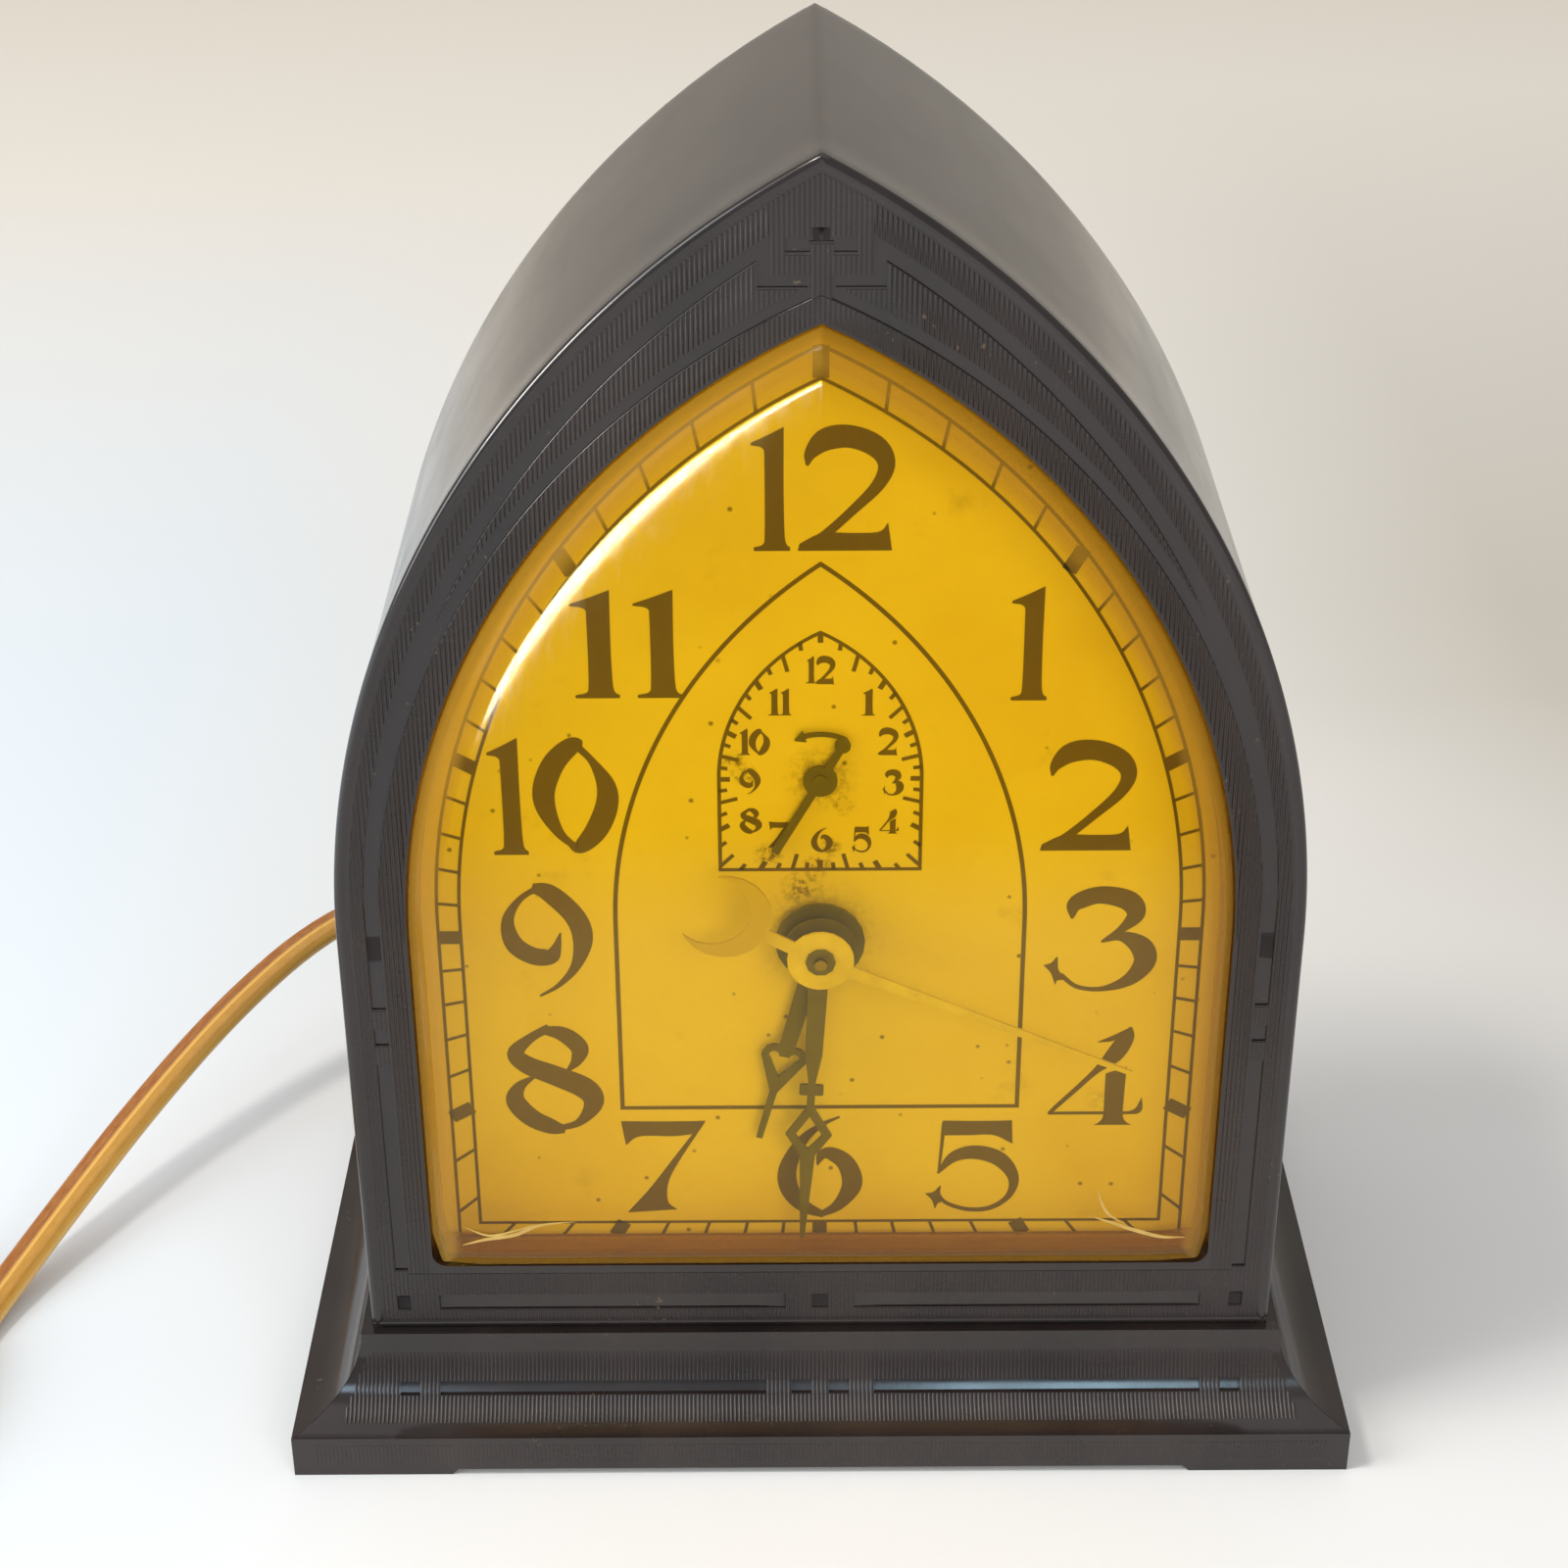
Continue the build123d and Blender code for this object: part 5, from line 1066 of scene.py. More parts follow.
    def section(self) -> Points:
        """Twin section: two round cores side by side with a groove between them, as across, up rows.

        Across = half width times cos(a); up follows a stadium, pinched by a bell curve at the middle.

        Returns:
            Rows of across and up.
        """
        a = np.linspace(0, 2 * math.pi, self.section_points, endpoint=False)
        across = self.width / 2 * np.cos(a)
        lobe = np.clip(np.abs(across) - (self.width - self.thick) / 2, 0, None)
        up = np.sqrt(np.clip((self.thick / 2) ** 2 - lobe**2, 0, None)) * np.sign(np.sin(a))
        pinch = 1 - self.groove * np.exp(-((across / self.groove_half) ** 2))
        return np.stack([across, up * pinch], axis=1)

    def sweep(self, name: str, line: Points, section: Points, grow: Points) -> Object:
        """Carry a section along a line: point = line + side * across + up * height, with closed ends.

        Args:
            name: the piece's name.
            line: points of the path.
            section: across, up rows.
            grow: one factor for the section at each path point.
        Returns:
            The piece, with a map of the run along u and of the place across along v.
        """
        side, up = self.frames(line)
        wide = (section[:, 0] * grow[:, None])[..., None] * side[:, None, :]
        tall = (section[:, 1] * grow[:, None])[..., None] * up[:, None, :]
        points = (line[:, None, :] + wide + tall).reshape(-1, 3)
        piece = make_piece(name, points, tube_faces(len(line), len(section)))
        share = section[:, 0] / (section[:, 0].max() - section[:, 0].min()) + 0.5
        loops = np.empty(len(piece.data.loops), int)
        piece.data.loops.foreach_get("vertex_index", loops)
        along = np.repeat(run_lengths(line) * MM, len(section))[loops]
        values = np.stack([along, np.tile(share, len(line))[loops]], axis=1)
        piece.data.uv_layers.new(name="run").data.foreach_set("uv", values.ravel())
        keep_sharp(piece, 60)
        return piece

    def build(self) -> Object:
        """Returns:
            The flex.
        """
        line = self.line()
        flex = self.sweep("twin_flex", line, self.section(), np.ones(len(line)))
        fit(flex, Finish.FLEX, "flex", "cord", "cord_coil")
        sleeve = self.sleeve(line)
        tie = self.tie()
        return flex

    def sleeve(self, line: Points) -> Object:
        """Tapered rubber sleeve on the first stretch of the flex, ringed every few millimetres.

        Args:
            line: points of the flex.
        Returns:
            The sleeve.
        """
        far = run_lengths(line)
        at = np.linspace(0, self.sleeve_length, 60)
        path = np.stack([np.interp(at, far, line[:, i]) for i in range(3)], axis=1)
        a = np.linspace(0, 2 * math.pi, 32, endpoint=False)
        ring = self.sleeve_ring * (np.abs(np.sin(at * math.pi / self.sleeve_pitch)) ** 0.5)
        taper = self.sleeve_radius - self.sleeve_taper * at / self.sleeve_length + ring
        section = np.stack([np.cos(a), np.sin(a) * self.sleeve_flat], axis=1)
        piece = self.sweep("flex_sleeve", path, section, taper)
        return fit(piece, Finish.GROMMET, "grommet")

    def tie(self) -> Object:
        """Twine wound round the coil's bundle: a tube of two twisted plies on a rounded-box helix.

        The loop in the y, z plane is a superellipse, and x advances with the turns.

        Returns:
            The twine.
        """
        t = np.linspace(0, self.tie_turns * 2 * math.pi, 200)
        c, s = np.cos(t), np.sin(t)
        inner = self.coil_outer - self.coil_pitch / 2 * self.half_turns
        half = (self.coil_outer - inner + self.width) / 2 + self.tie_room[0]
        middle = self.coil_line - (self.coil_outer + inner) / 2
        tall = (self.layer + self.thick) / 2 + self.tie_room[1]
        y = middle + half * np.sign(c) * np.abs(c) ** 0.5
        z = self.rest + self.layer / 2 + self.tie_lift + tall * np.sign(s) * np.abs(s) ** 0.5
        x = self.coil_start - self.coil_outer - self.tie_start + self.tie_pitch * t / (2 * math.pi)
        path = np.stack([x, y, np.maximum(z, self.tie_floor)], axis=1)
        run = unit(np.gradient(path, axis=0))
        side = np.tile((1.0, 0.0, 0.0), (len(path), 1))
        up = np.cross(run, side)
        a = np.linspace(0, 2 * math.pi, self.tie_points, endpoint=False)
        ply = self.tie_radius * (1 + self.tie_ply * np.cos(2 * a[None, :] - self.tie_twist * t[:, None]))
        wide = (ply * np.cos(a))[..., None] * side[:, None]
        high = (ply * np.sin(a))[..., None] * up[:, None]
        points = (path[:, None, :] + wide + high).reshape(-1, 3)
        piece = make_piece("coil_twine", points, tube_faces(len(path), self.tie_points))
        return fit(piece, Finish.TIE, "flex", "cord_tie")


# Case


@dataclass(frozen=True)
class Zone:
    """A part of the ribbed front: between two distances from the axis, and between two heights there."""

    inner: float
    outer: float
    low: HeightLine
    high: HeightLine


def level(height: float) -> HeightLine:
    """A line at one height over any x."""
    return lambda x: np.full(np.shape(x), height)


@dataclass
class CaseDress:
    """Smooth skin of the arched case and the fine upright ribs of its front and cove. Millimetres."""

    case: Arch = Arch(59.5, 16.5, 77.0, 176.3)
    window: Arch = Arch(51.0, 26.6, 77.0, 157.4)
    outer_line: Arch = Arch(56.2, 21.0, 77.0, 170.8)
    inner_line: Arch = Arch(54.3, 21.0, 77.0, 160.7)
    front: float = -31.5
    back: float = 31.5
    edge: float = 0.45
    proud: float = 0.06
    bead: float = 0.8
    bead_lift: float = 0.25
    bead_foot: float = 1.3
    bead_run: float = 6.0
    bead_sink: float = 0.02
    around: tuple = (90, 14, 8)
    margin: float = 1.6
    rib_pitch: float = 0.56
    rib_height: float = 0.10
    rib_root: float = 0.04
    rib_share: float = 0.46
    rib_power: float = 0.7
    rib_end: float = 0.05
    rib_sharp: float = 70
    shortest: float = 0.25
    sunk: float = 0.24
    floor_tuck: tuple = (0.1, 0.3)
    rib_round: int = 5
    edge_steps: int = 5
    edge_start: float = 0.10
    edge_reach: float = 0.20
    plinth_half: float = 70.0
    plinth_front: float = -42.0
    slab_top: float = 6.2
    slab_step: float = 9.0
    plinth_top: float = 16.5
    strip_rows: int = 21
    cove_pitch: float = 0.55
    cove_half_count: int = 120
    cove_steps: int = 5
    cove_shortest: float = 0.2
    cove_rows: tuple = ((6.8, 8.75, False), (8.8, 10.1, True), (10.15, 13.6, False))
    bar_depth: float = 0.45
    bar_reach: float = 0.25
    slab_half_count: int = 122
    slab_rib: float = 0.04
    slab_root: float = 0.03
    slab_field: tuple = (2.0, 5.0)
    cove_field: float = 60.0
    cove_lean: float = 1.94
    cove_gaps: Points = field(default_factory=lambda: np.array([(1.2, 3.8), (7.2, 50.6), (53.3, 55.9)]))

    def zones(self) -> list[Zone]:
        """The raised fields of the front, each between a lower and an upper line over distance from the axis.

        Lines that more than one field uses have names: the foot above the plinth, the sunk bar across it, the
        sill under the window, and the peak with its short sunk bars.

        Returns:
            The fields of the right half, which the left half mirrors.
        """
        rim = self.case.inset(self.margin).top
        outer = self.outer_line.top
        wedge_high = self.outer_line.inset(1.8).top
        wedge_low = self.inner_line.inset(-1.45).top
        inner = self.inner_line.top
        glass = self.window.inset(-0.35).top
        foot, bar_low, bar_high, sill = level(17.3), level(19.3), level(21.8), level(25.4)
        peak, peak_bar = level(163.0), level(166.6)
        wedge_end = 161.4
        inside, outside = self.inner_line.half, self.outer_line.half
        return [
            Zone(0.0, 1.05, inner, peak_bar),
            Zone(0.0, 1.3, level(168.4), rim),
            Zone(1.05, 1.3, peak, peak_bar),
            Zone(1.3, 4.0, peak, level(165.3)),
            Zone(1.3, 4.0, level(167.3), rim),
            Zone(4.0, 5.5, peak, rim),
            Zone(5.5, outside, outer, rim),
            Zone(outside, 58.0, foot, rim),
            Zone(1.05, 7.1, wedge_low, lambda x: np.minimum(wedge_high(x), wedge_end)),
            Zone(7.1, 47.5, wedge_low, wedge_high),
            Zone(0.0, 51.3, glass, inner),
            Zone(51.5, 54.2, level(25.45), inner),
            Zone(inside, outside, foot, bar_low),
            Zone(inside, outside, bar_high, level(25.9)),
            Zone(inside, outside, level(58.9), level(61.7)),
            Zone(inside, outside, level(64.2), level(67.0)),
            Zone(0.0, 1.1, foot, bar_low),
            Zone(0.0, 1.1, bar_high, sill),
            Zone(1.1, 4.5, foot, sill),
            Zone(4.5, 50.5, foot, bar_low),
            Zone(4.5, 50.5, bar_high, sill),
            Zone(50.5, inside, foot, sill),
        ]

    def rib_section(self) -> Points:
        """One rib's section: across from -1 to 1, and height as a half wave raised to the rib's power."""
        across = np.linspace(-1, 1, self.rib_round)
        return np.stack([across, np.cos(across * math.pi / 2) ** self.rib_power], axis=1)

    def rib_across(self, middle: Points, pitch: float) -> Points:
        """x of each rib's section points, for the ribs' middles."""
        return middle[:, None] + self.rib_section()[:, 0] * pitch * self.rib_share

    def rib_faces(self, count: int, rows: int, capped: bool = True) -> list:
        """Faces of ribs stored one after the other.

        Args:
            count: how many ribs.
            rows: sections along each rib.
            capped: True to close both ends.
        Returns:
            Quads of all ribs, then their ends.
        """
        columns = self.rib_round
        starts = np.arange(count)[:, None, None] * rows * columns
        sides = (grid_faces(rows, columns, False) + starts).reshape(-1, 4).tolist()
        if not capped:
            return sides
        section = np.arange(columns)
        ends = np.stack([section[::-1], section + (rows - 1) * columns])
        return sides + (ends + starts).reshape(-1, columns).tolist()

    def front_ribs(self) -> Object:
        """Upright ribs on the front's raised fields, carried from each field's low line to its high line.

        Returns:
            The ribs.
        """
        tall = (self.rib_height + self.rib_root) * self.rib_section()[:, 1]
        bands = []
        for zone in self.zones():
            first = math.ceil(zone.inner / self.rib_pitch - 0.5)
            stop = math.floor(zone.outer / self.rib_pitch - 0.5)
            x = self.rib_across((np.arange(first, stop + 1) + 0.5) * self.rib_pitch, self.rib_pitch)
            low, high = zone.low(x), zone.high(x)
            keep = (high - low).min(axis=1) > self.shortest
            x, low, high = x[keep], low[keep], high[keep]
            y = np.broadcast_to(self.front + self.rib_root - tall, x.shape)
            for sign in (-1, 1):
                heights = (low + self.rib_end, high - self.rib_end)
                rows = np.stack([np.stack([sign * x, y, z], axis=-1) for z in heights], axis=1)
                bands.append(rows if sign > 0 else rows[:, :, ::-1])
        ribs = np.concatenate(bands)
        piece = make_piece("front_ribs", ribs.reshape(-1, 3), self.rib_faces(len(ribs), 2))
        keep_sharp(piece, self.rib_sharp)
        return fit(piece, Finish.RIBBED, "moulding")

    def band_edges(self) -> Object:
        """Rounded lower edges of the sunk bands: a quarter wave from each field's high line to the floor.

        For t up to a right angle, y = front - ease + (sunk + ease) (1 - cos(t)), and z = high line - start +
        reach sin(t).

        Returns:
            The edges.
        """
        turn = np.linspace(0, math.pi / 2, self.edge_steps)
        ease = self.rib_height * 0.7
        rim = self.case.inset(self.margin).top
        y = self.front - ease + (self.sunk + ease) * (1 - np.cos(turn))
        strips, quads, start = [], [], 0
        for zone in self.zones():
            x = np.linspace(zone.inner, zone.outer, 61)
            high = zone.high(x)
            keep = high > zone.low(x) + self.shortest
            x, high = x[keep], high[keep]
            if len(x) < 2 or np.allclose(high, rim(x)):
                continue
            z = high[:, None] - self.edge_start + self.edge_reach * np.sin(turn)
            for sign in (-1, 1):
                across = np.broadcast_to(sign * x[:, None], z.shape)
                grid = np.stack([across, np.broadcast_to(y, z.shape), z], axis=-1).reshape(-1, 3)
                strips.append(grid)
                faces = grid_faces(len(x), len(turn), False, start)
                quads.append(faces[:, ::-1] if sign > 0 else faces)
                start += len(grid)
        piece = make_piece("band_edges", np.vstack(strips), np.vstack(quads))
        return fit(piece, Finish.MOULDING, "moulding")

    def band_floor(self) -> Object:
        """Floor of the sunk bands: a sheet under the face, between the window's and the case's outlines.

        Returns:
            The floor.
        """
        past_edge, past_window = self.floor_tuck
        outer, _ = self.case.inset(self.edge + past_edge).outline(*self.around)
        inner, _ = self.window.inset(-past_window).outline(*self.around)
        rows = np.stack([outer, inner])
        depth = np.full(rows.shape[:2], self.front + self.sunk)
        grid = np.stack([rows[..., 0], depth, rows[..., 1]], axis=-1)
        piece = make_piece("band_floor", grid.reshape(-1, 3), grid_faces(2, len(outer), True))
        return fit(piece, Finish.MOULDING, "moulding")

    def cove(self, height: Points) -> tuple[Points, Points]:
        """Distance out from the plinth's top edge, and lean, of the cove at a height.

        The cove is an arc, upright at its top. For the drop below the top, distance = R - sqrt(R^2 - drop^2)
        and lean = drop / R.

        Args:
            height: heights above the table.
        Returns:
            The distances and the leans.
        """
        rise = self.plinth_top - self.slab_top
        radius = (rise**2 + self.slab_step**2) / (2 * self.slab_step)
        drop = self.plinth_top - np.asarray(height)
        return radius - np.sqrt(np.clip(radius**2 - drop**2, 0, None)), drop / radius

    def cove_strip(self, low: float, high: float, sides: tuple) -> tuple[Points, Points]:
        """Smooth strips of the cove between two heights: its arc carried along sides, mitred at the corners.

        Args:
            low: lowest height.
            high: highest height.
            sides: corner numbers at which each side starts, anticlockwise from the front left.
        Returns:
            Points of a grid for each side, and its quads.
        """
        rows = self.strip_rows
        height = np.linspace(low, high, rows)
        out, lean = self.cove(height)
        out = out + self.proud * np.sqrt(1 - lean**2)
        corners = np.array([(-1, -1), (1, -1), (1, 1), (-1, 1)], float)
        top = np.array([self.plinth_half, -self.plinth_front]) - self.slab_step
        rise = np.broadcast_to((height + self.proud * lean)[:, None, None], (rows, 2, 1))
        strips, quads = [], []
        for number, side in enumerate(sides):
            ends = corners[[side, (side + 1) % 4]] * (top + out[:, None, None])
            strips.append(np.concatenate([ends, rise], axis=-1).reshape(-1, 3))
            quads.append(grid_faces(rows, 2, False, number * 2 * rows))
        return np.vstack(strips), np.vstack(quads)

    def plinth_skin(self) -> Object:
        """Smooth skin of the cove: whole on three sides, and above and below the ribs on the front.

        Returns:
            The skin.
        """
        low, high = self.slab_top + 0.03, self.plinth_top
        parts = [
            self.cove_strip(low, high, (1, 2, 3)),
            self.cove_strip(low, self.cove_rows[0][0], (0,)),
            self.cove_strip(self.cove_rows[-1][1], high, (0,)),
        ]
        starts = np.cumsum([0] + [len(points) for points, _ in parts])
        faces = np.vstack([quads + start for (_, quads), start in zip(parts, starts)])
        piece = make_piece("plinth_skin", np.vstack([points for points, _ in parts]), faces)
        return fit(piece, Finish.MOULDING, "moulding")

    def cove_ribs(self) -> Object:
        """Upright ribs down the front cove, following its arc, left out over its bars and tiles.

        The field's ends lean out with the mitre: past its straight part the top falls by the lean.

        Returns:
            The ribs.
        """
        tall = (self.rib_height + self.rib_root) * self.rib_section()[:, 1] - self.rib_root
        middle = (np.arange(-self.cove_half_count, self.cove_half_count) + 0.5) * self.cove_pitch
        far = np.abs(middle)
        past, before = self.cove_gaps.T
        in_gap = ((far[:, None] > past) & (far[:, None] < before)).any(axis=1)
        top_front = self.plinth_front + self.slab_step
        ceiling = self.cove_rows[-1][1] - np.clip(far - self.cove_field, 0, None) * self.cove_lean
        bands = []
        for low, high, broken in self.cove_rows:
            upper = np.minimum(high, ceiling)
            keep = upper - low > self.cove_shortest
            if broken:
                keep &= ~in_gap
            height = low + (upper[keep] - low)[:, None] * np.linspace(0, 1, self.cove_steps)
            out, lean = self.cove(height)
            across = self.rib_across(middle[keep], self.cove_pitch)
            x = np.broadcast_to(across[:, None], (*out.shape, self.rib_round))
            y = top_front - out[..., None] - np.sqrt(1 - lean**2)[..., None] * tall
            z = height[..., None] + lean[..., None] * tall
            bands.append(np.stack([x, y, z], axis=-1))
        ribs = np.concatenate(bands)
        piece = make_piece("cove_ribs", ribs.reshape(-1, 3), self.rib_faces(len(ribs), self.cove_steps))
        keep_sharp(piece, self.rib_sharp)
        return fit(piece, Finish.RIBBED, "moulding")

    def bar_edges(self) -> Object:
        """Rounded lower edges of the cove's bars and tiles: a quarter wave from the ribs to the sunk floor.

        Point = cove(h) + normal * s, with h = edge - start + reach sin(t), and s from ease down to the floor.

        Returns:
            The edges.
        """
        turn = np.linspace(0, math.pi / 2, self.edge_steps)
        height = self.cove_rows[0][1] - self.edge_start + self.bar_reach * np.sin(turn)
        out, lean = self.cove(height)
        ease = self.rib_height * 0.6
        rise = ease - (ease + self.bar_depth) * (1 - np.cos(turn))
        y = self.plinth_front + self.slab_step - out - np.sqrt(1 - lean**2) * rise
        z = height + lean * rise
        ends = np.vstack([self.cove_gaps, -self.cove_gaps[:, ::-1]])
        x = np.broadcast_to(ends[..., None], (len(ends), 2, len(turn)))
        grid = np.stack([x, np.broadcast_to(y, x.shape), np.broadcast_to(z, x.shape)], axis=-1)
        quads = grid_faces(2, len(turn), False)[:, ::-1]
        starts = np.arange(len(ends))[:, None, None] * 2 * len(turn)
        piece = make_piece("bar_edges", grid.reshape(-1, 3), (quads[None] + starts).reshape(-1, 4))
        return fit(piece, Finish.MOULDING, "moulding")

    def slab_ribs(self) -> Object:
        """Faint upright ribs across the slab's front: the same section, lower, between two heights.

        Returns:
            The ribs.
        """
        middle = (np.arange(-self.slab_half_count, self.slab_half_count) + 0.5) * self.cove_pitch
        x = self.rib_across(middle, self.cove_pitch)
        tall = (self.slab_rib + self.slab_root) * self.rib_section()[:, 1]
        y = np.broadcast_to(self.plinth_front + self.slab_root - tall, x.shape)
        ends = [np.stack([x, y, np.full(x.shape, z)], axis=-1) for z in self.slab_field]
        ribs = np.stack(ends, axis=1)
        piece = make_piece("slab_ribs", ribs.reshape(-1, 3), self.rib_faces(len(ribs), 2, capped=False))
        return fit(piece, Finish.RIBBED, "moulding")

    def edge_profile(self) -> tuple[Points, Points]:
        """Inset and y of the skin from front to back: a foot on the face, a round bead, then the side.

        The bead is a quarter circle whose front and side stand out by the lift. The side falls back to the
        plain stand-off over the bead's run, and the back edge is a plain quarter circle.

        Returns:
            The insets and the depths.
        """
        turn = np.linspace(0, math.pi / 2, 9)
        foot = np.linspace(0, 1, 6)[:-1]
        waist = self.bead - self.bead_lift
        depth = np.linspace(self.front + waist, self.back - self.edge, 30)[1:-1]
        fall = [self.front + waist, self.front + self.bead_run]
        inset = np.concatenate([
            waist + (self.bead_foot - waist) * (1 - foot),
            waist - self.bead * np.sin(turn),
            np.interp(depth, fall, [-self.bead_lift, -self.proud]),
            self.edge * (1 - np.cos(turn)) - self.proud,
        ])
        y = np.concatenate([
            self.front + self.bead_sink - (self.bead_lift + self.bead_sink) * np.sin(foot * math.pi / 2),
            self.front - self.bead_lift + self.bead * (1 - np.cos(turn)),
            depth,
            self.back - self.edge * (1 - np.sin(turn)),
        ])
        return inset, y

    def skin(self) -> Object:
        """Smooth skin round the arch, its edge's profile carried round: x, z = outline - normal * inset.

        Returns:
            The skin.
        """
        points, normals = self.case.outline(*self.around)
        inset, y = self.edge_profile()
        body = points[None] - normals[None] * inset[:, None, None]
        depth = np.broadcast_to(y[:, None], body.shape[:2])
        grid = np.stack([body[..., 0], depth, body[..., 1]], axis=-1)
        piece = make_piece("case_skin", grid.reshape(-1, 3), grid_faces(len(y), len(points), True))
        keep_sharp(piece, 35)
        return fit(piece, Finish.MOULDING, "moulding")


# Crystal


@dataclass
class CrystalDome:
    """Domed crystal: flange, upright wall, round shoulder and a barely crowned front, as one shell."""

    rim: Arch = Arch(50.7, 28.1, 77.0, 157.05)
    flange: float = 2.4
    back: float = -27.0
    flange_thick: float = 1.2
    face: float = -36.2
    shoulder: float = 5.0
    wall: float = 1.2
    corner: float = 3.0
    least_corner: float = 0.6
    cap_rise: float = 8.0
    cap_rings: int = 18
    crown: float = 0.75
    crown_power: float = 8.0
    lean: float = 0.122
    around: tuple = (70, 12, 10)
    rings: int = 14
    deep: tuple = (2.6, 4.3)
    crease_lift: float = 0.04
    crease_steps: int = 24

    def outline(self, inset: float) -> Points:
        """Outline at an inset, with its two foot corners rounded by pulling points onto a corner arc.

        Args:
            inset: distance inside the rim.
        Returns:
            Rows of x, z.
        """
        arch = self.rim.inset(inset)
        points, _ = arch.outline(*self.around)
        radius = max(self.corner - inset, self.least_corner)
        middle = np.array([arch.half - radius, arch.bottom + radius])
        off = np.stack([np.abs(points[:, 0]), points[:, 1]], axis=1) - middle
        far = np.hypot(off[:, 0], off[:, 1])
        inside = (off[:, 0] > 0) & (off[:, 1] < 0)
        scale = np.where(inside, radius / np.maximum(far, TINY), 1.0)
        round_xz = middle + off * scale[:, None]
        return np.stack([round_xz[:, 0] * np.where(points[:, 0] < 0, -1, 1), round_xz[:, 1]], axis=1)

    def profile(self, offset: float, radius: float) -> tuple[Points, Points]:
        """Inset and y of the wall and shoulder, from the flange forwards, moved inwards by an offset.

        The shoulder is an arc that stops short of a right angle by the lean at which the crown takes over.

        Args:
            offset: how far inside the outer face.
            radius: the shoulder's radius.
        Returns:
            The insets and the depths.
        """
        turn = np.linspace(0, math.pi / 2 - self.lean, self.rings)
        front = self.face + offset
        straight = np.linspace(self.back - self.flange_thick, front + radius, 5)[:-1]
        inset = np.concatenate([np.full(4, offset), offset + radius * (1 - np.cos(turn))])
        return inset, np.concatenate([straight, front + radius * (1 - np.sin(turn))])

    def cap(self, edge: Points, front: float) -> Points:
        """Crowned front: the shoulder's last ring drawn in to one middle point, rising as 1 - share^power.

        Args:
            edge: the shoulder's last ring, as x, z rows.
            front: its y.
        Returns:
            Rows of x, y, z, the middle point last.
        """
        share = np.cos(np.linspace(0, math.pi / 2, self.cap_rings))[1:-1]
        middle = np.array([0.0, self.rim.spring + self.cap_rise])
        ring = middle + (edge - middle)[None] * share[:, None, None]
        rise = front - self.crown * (1 - share**self.crown_power)
        y = np.broadcast_to(rise[:, None], ring.shape[:2])
        grid = np.stack([ring[..., 0], y, ring[..., 1]], axis=-1).reshape(-1, 3)
        return np.vstack([grid, [(middle[0], front - self.crown, middle[1])]])

    def side(self, offset: float, radius: float, flange: list) -> Points:
        """All rings of one face of the shell, from the flange to the middle, with the middle point last.

        Args:
            offset: how far inside the outer face.
            radius: the shoulder's radius.
            flange: inset and y of the flange's rings.
        Returns:
            Rows of x, y, z.
        """
        inset, y = self.profile(offset, radius)
        insets = np.concatenate([[i for i, _ in flange], inset])
        depths = np.concatenate([[d for _, d in flange], y])
        rings = np.stack([self.outline(i) for i in insets])
        depth = np.broadcast_to(depths[:, None], rings.shape[:2])
        grid = np.stack([rings[..., 0], depth, rings[..., 1]], axis=-1)
        return np.vstack([grid.reshape(-1, 3), self.cap(rings[-1], y[-1])])

    def edge_share(self, flange: list, offset: float, radius: float, total: int) -> Points:
        """How far each point of one face lies in the deep-coloured edge: 1 to its start, then down to 0.

        Args:
            flange: inset and y of the flange's rings.
            offset: how far inside the outer face.
            radius: the shoulder's radius.
            total: points of the face.
        Returns:
            One share for each point.
        """
        inset, _ = self.profile(offset, radius)
        rings = np.concatenate([[i for i, _ in flange], inset])
        start, end = self.deep
        share = np.repeat(np.clip((end - rings) / (end - start), 0, 1), len(self.outline(0.0)))
        return np.concatenate([share, np.zeros(total - len(share))])

    def shell_faces(self, total: int, columns: int, start: int, flip: bool) -> list:
        """Quads of one face's rings and the fan that closes it at its middle.

        Args:
            total: points of the face.
            columns: points round a ring.
            start: number of its first point.
            flip: True for the outer face.
        Returns:
            Lists of point numbers.
        """
        rows = (total - 1) // columns
        quads = grid_faces(rows, columns, True, start)
        last = start + (rows - 1) * columns
        ring = np.arange(columns)
        middle = np.full(columns, start + total - 1)
        fan = np.stack([last + ring, last + (ring + 1) % columns, middle], axis=1)
        if flip:
            return [*quads[:, ::-1].tolist(), *fan[:, ::-1].tolist()]
        return [*quads.tolist(), *fan.tolist()]

    def build(self) -> Object:
        """Make the shell: outer and inner faces joined round the flange's edge.

        Returns:
            The crystal.
        """
        lip = self.back - self.flange_thick
        outside = [(-self.flange, self.back), (-self.flange, lip)]
        inside = [(-self.flange, self.back)]
        outer = self.side(0.0, self.shoulder, outside)
        inner = self.side(self.wall, self.shoulder - self.wall, inside)
        columns = len(self.outline(0.0))
        faces = self.shell_faces(len(outer), columns, 0, True)
        faces += self.shell_faces(len(inner), columns, len(outer), False)
        points = np.vstack([outer, inner])
        piece = make_piece("crystal_dome", points, faces)
        shares = [
            self.edge_share(outside, 0.0, self.shoulder, len(outer)),
            self.edge_share(inside, self.wall, self.shoulder - self.wall, len(inner)),
        ]
        piece.data.attributes.new("edge", "FLOAT", "POINT").data.foreach_set("value", np.concatenate(shares))
        keep_sharp(piece, 40)
        return fit(piece, Finish.CRYSTAL, "crystal", "crystal")

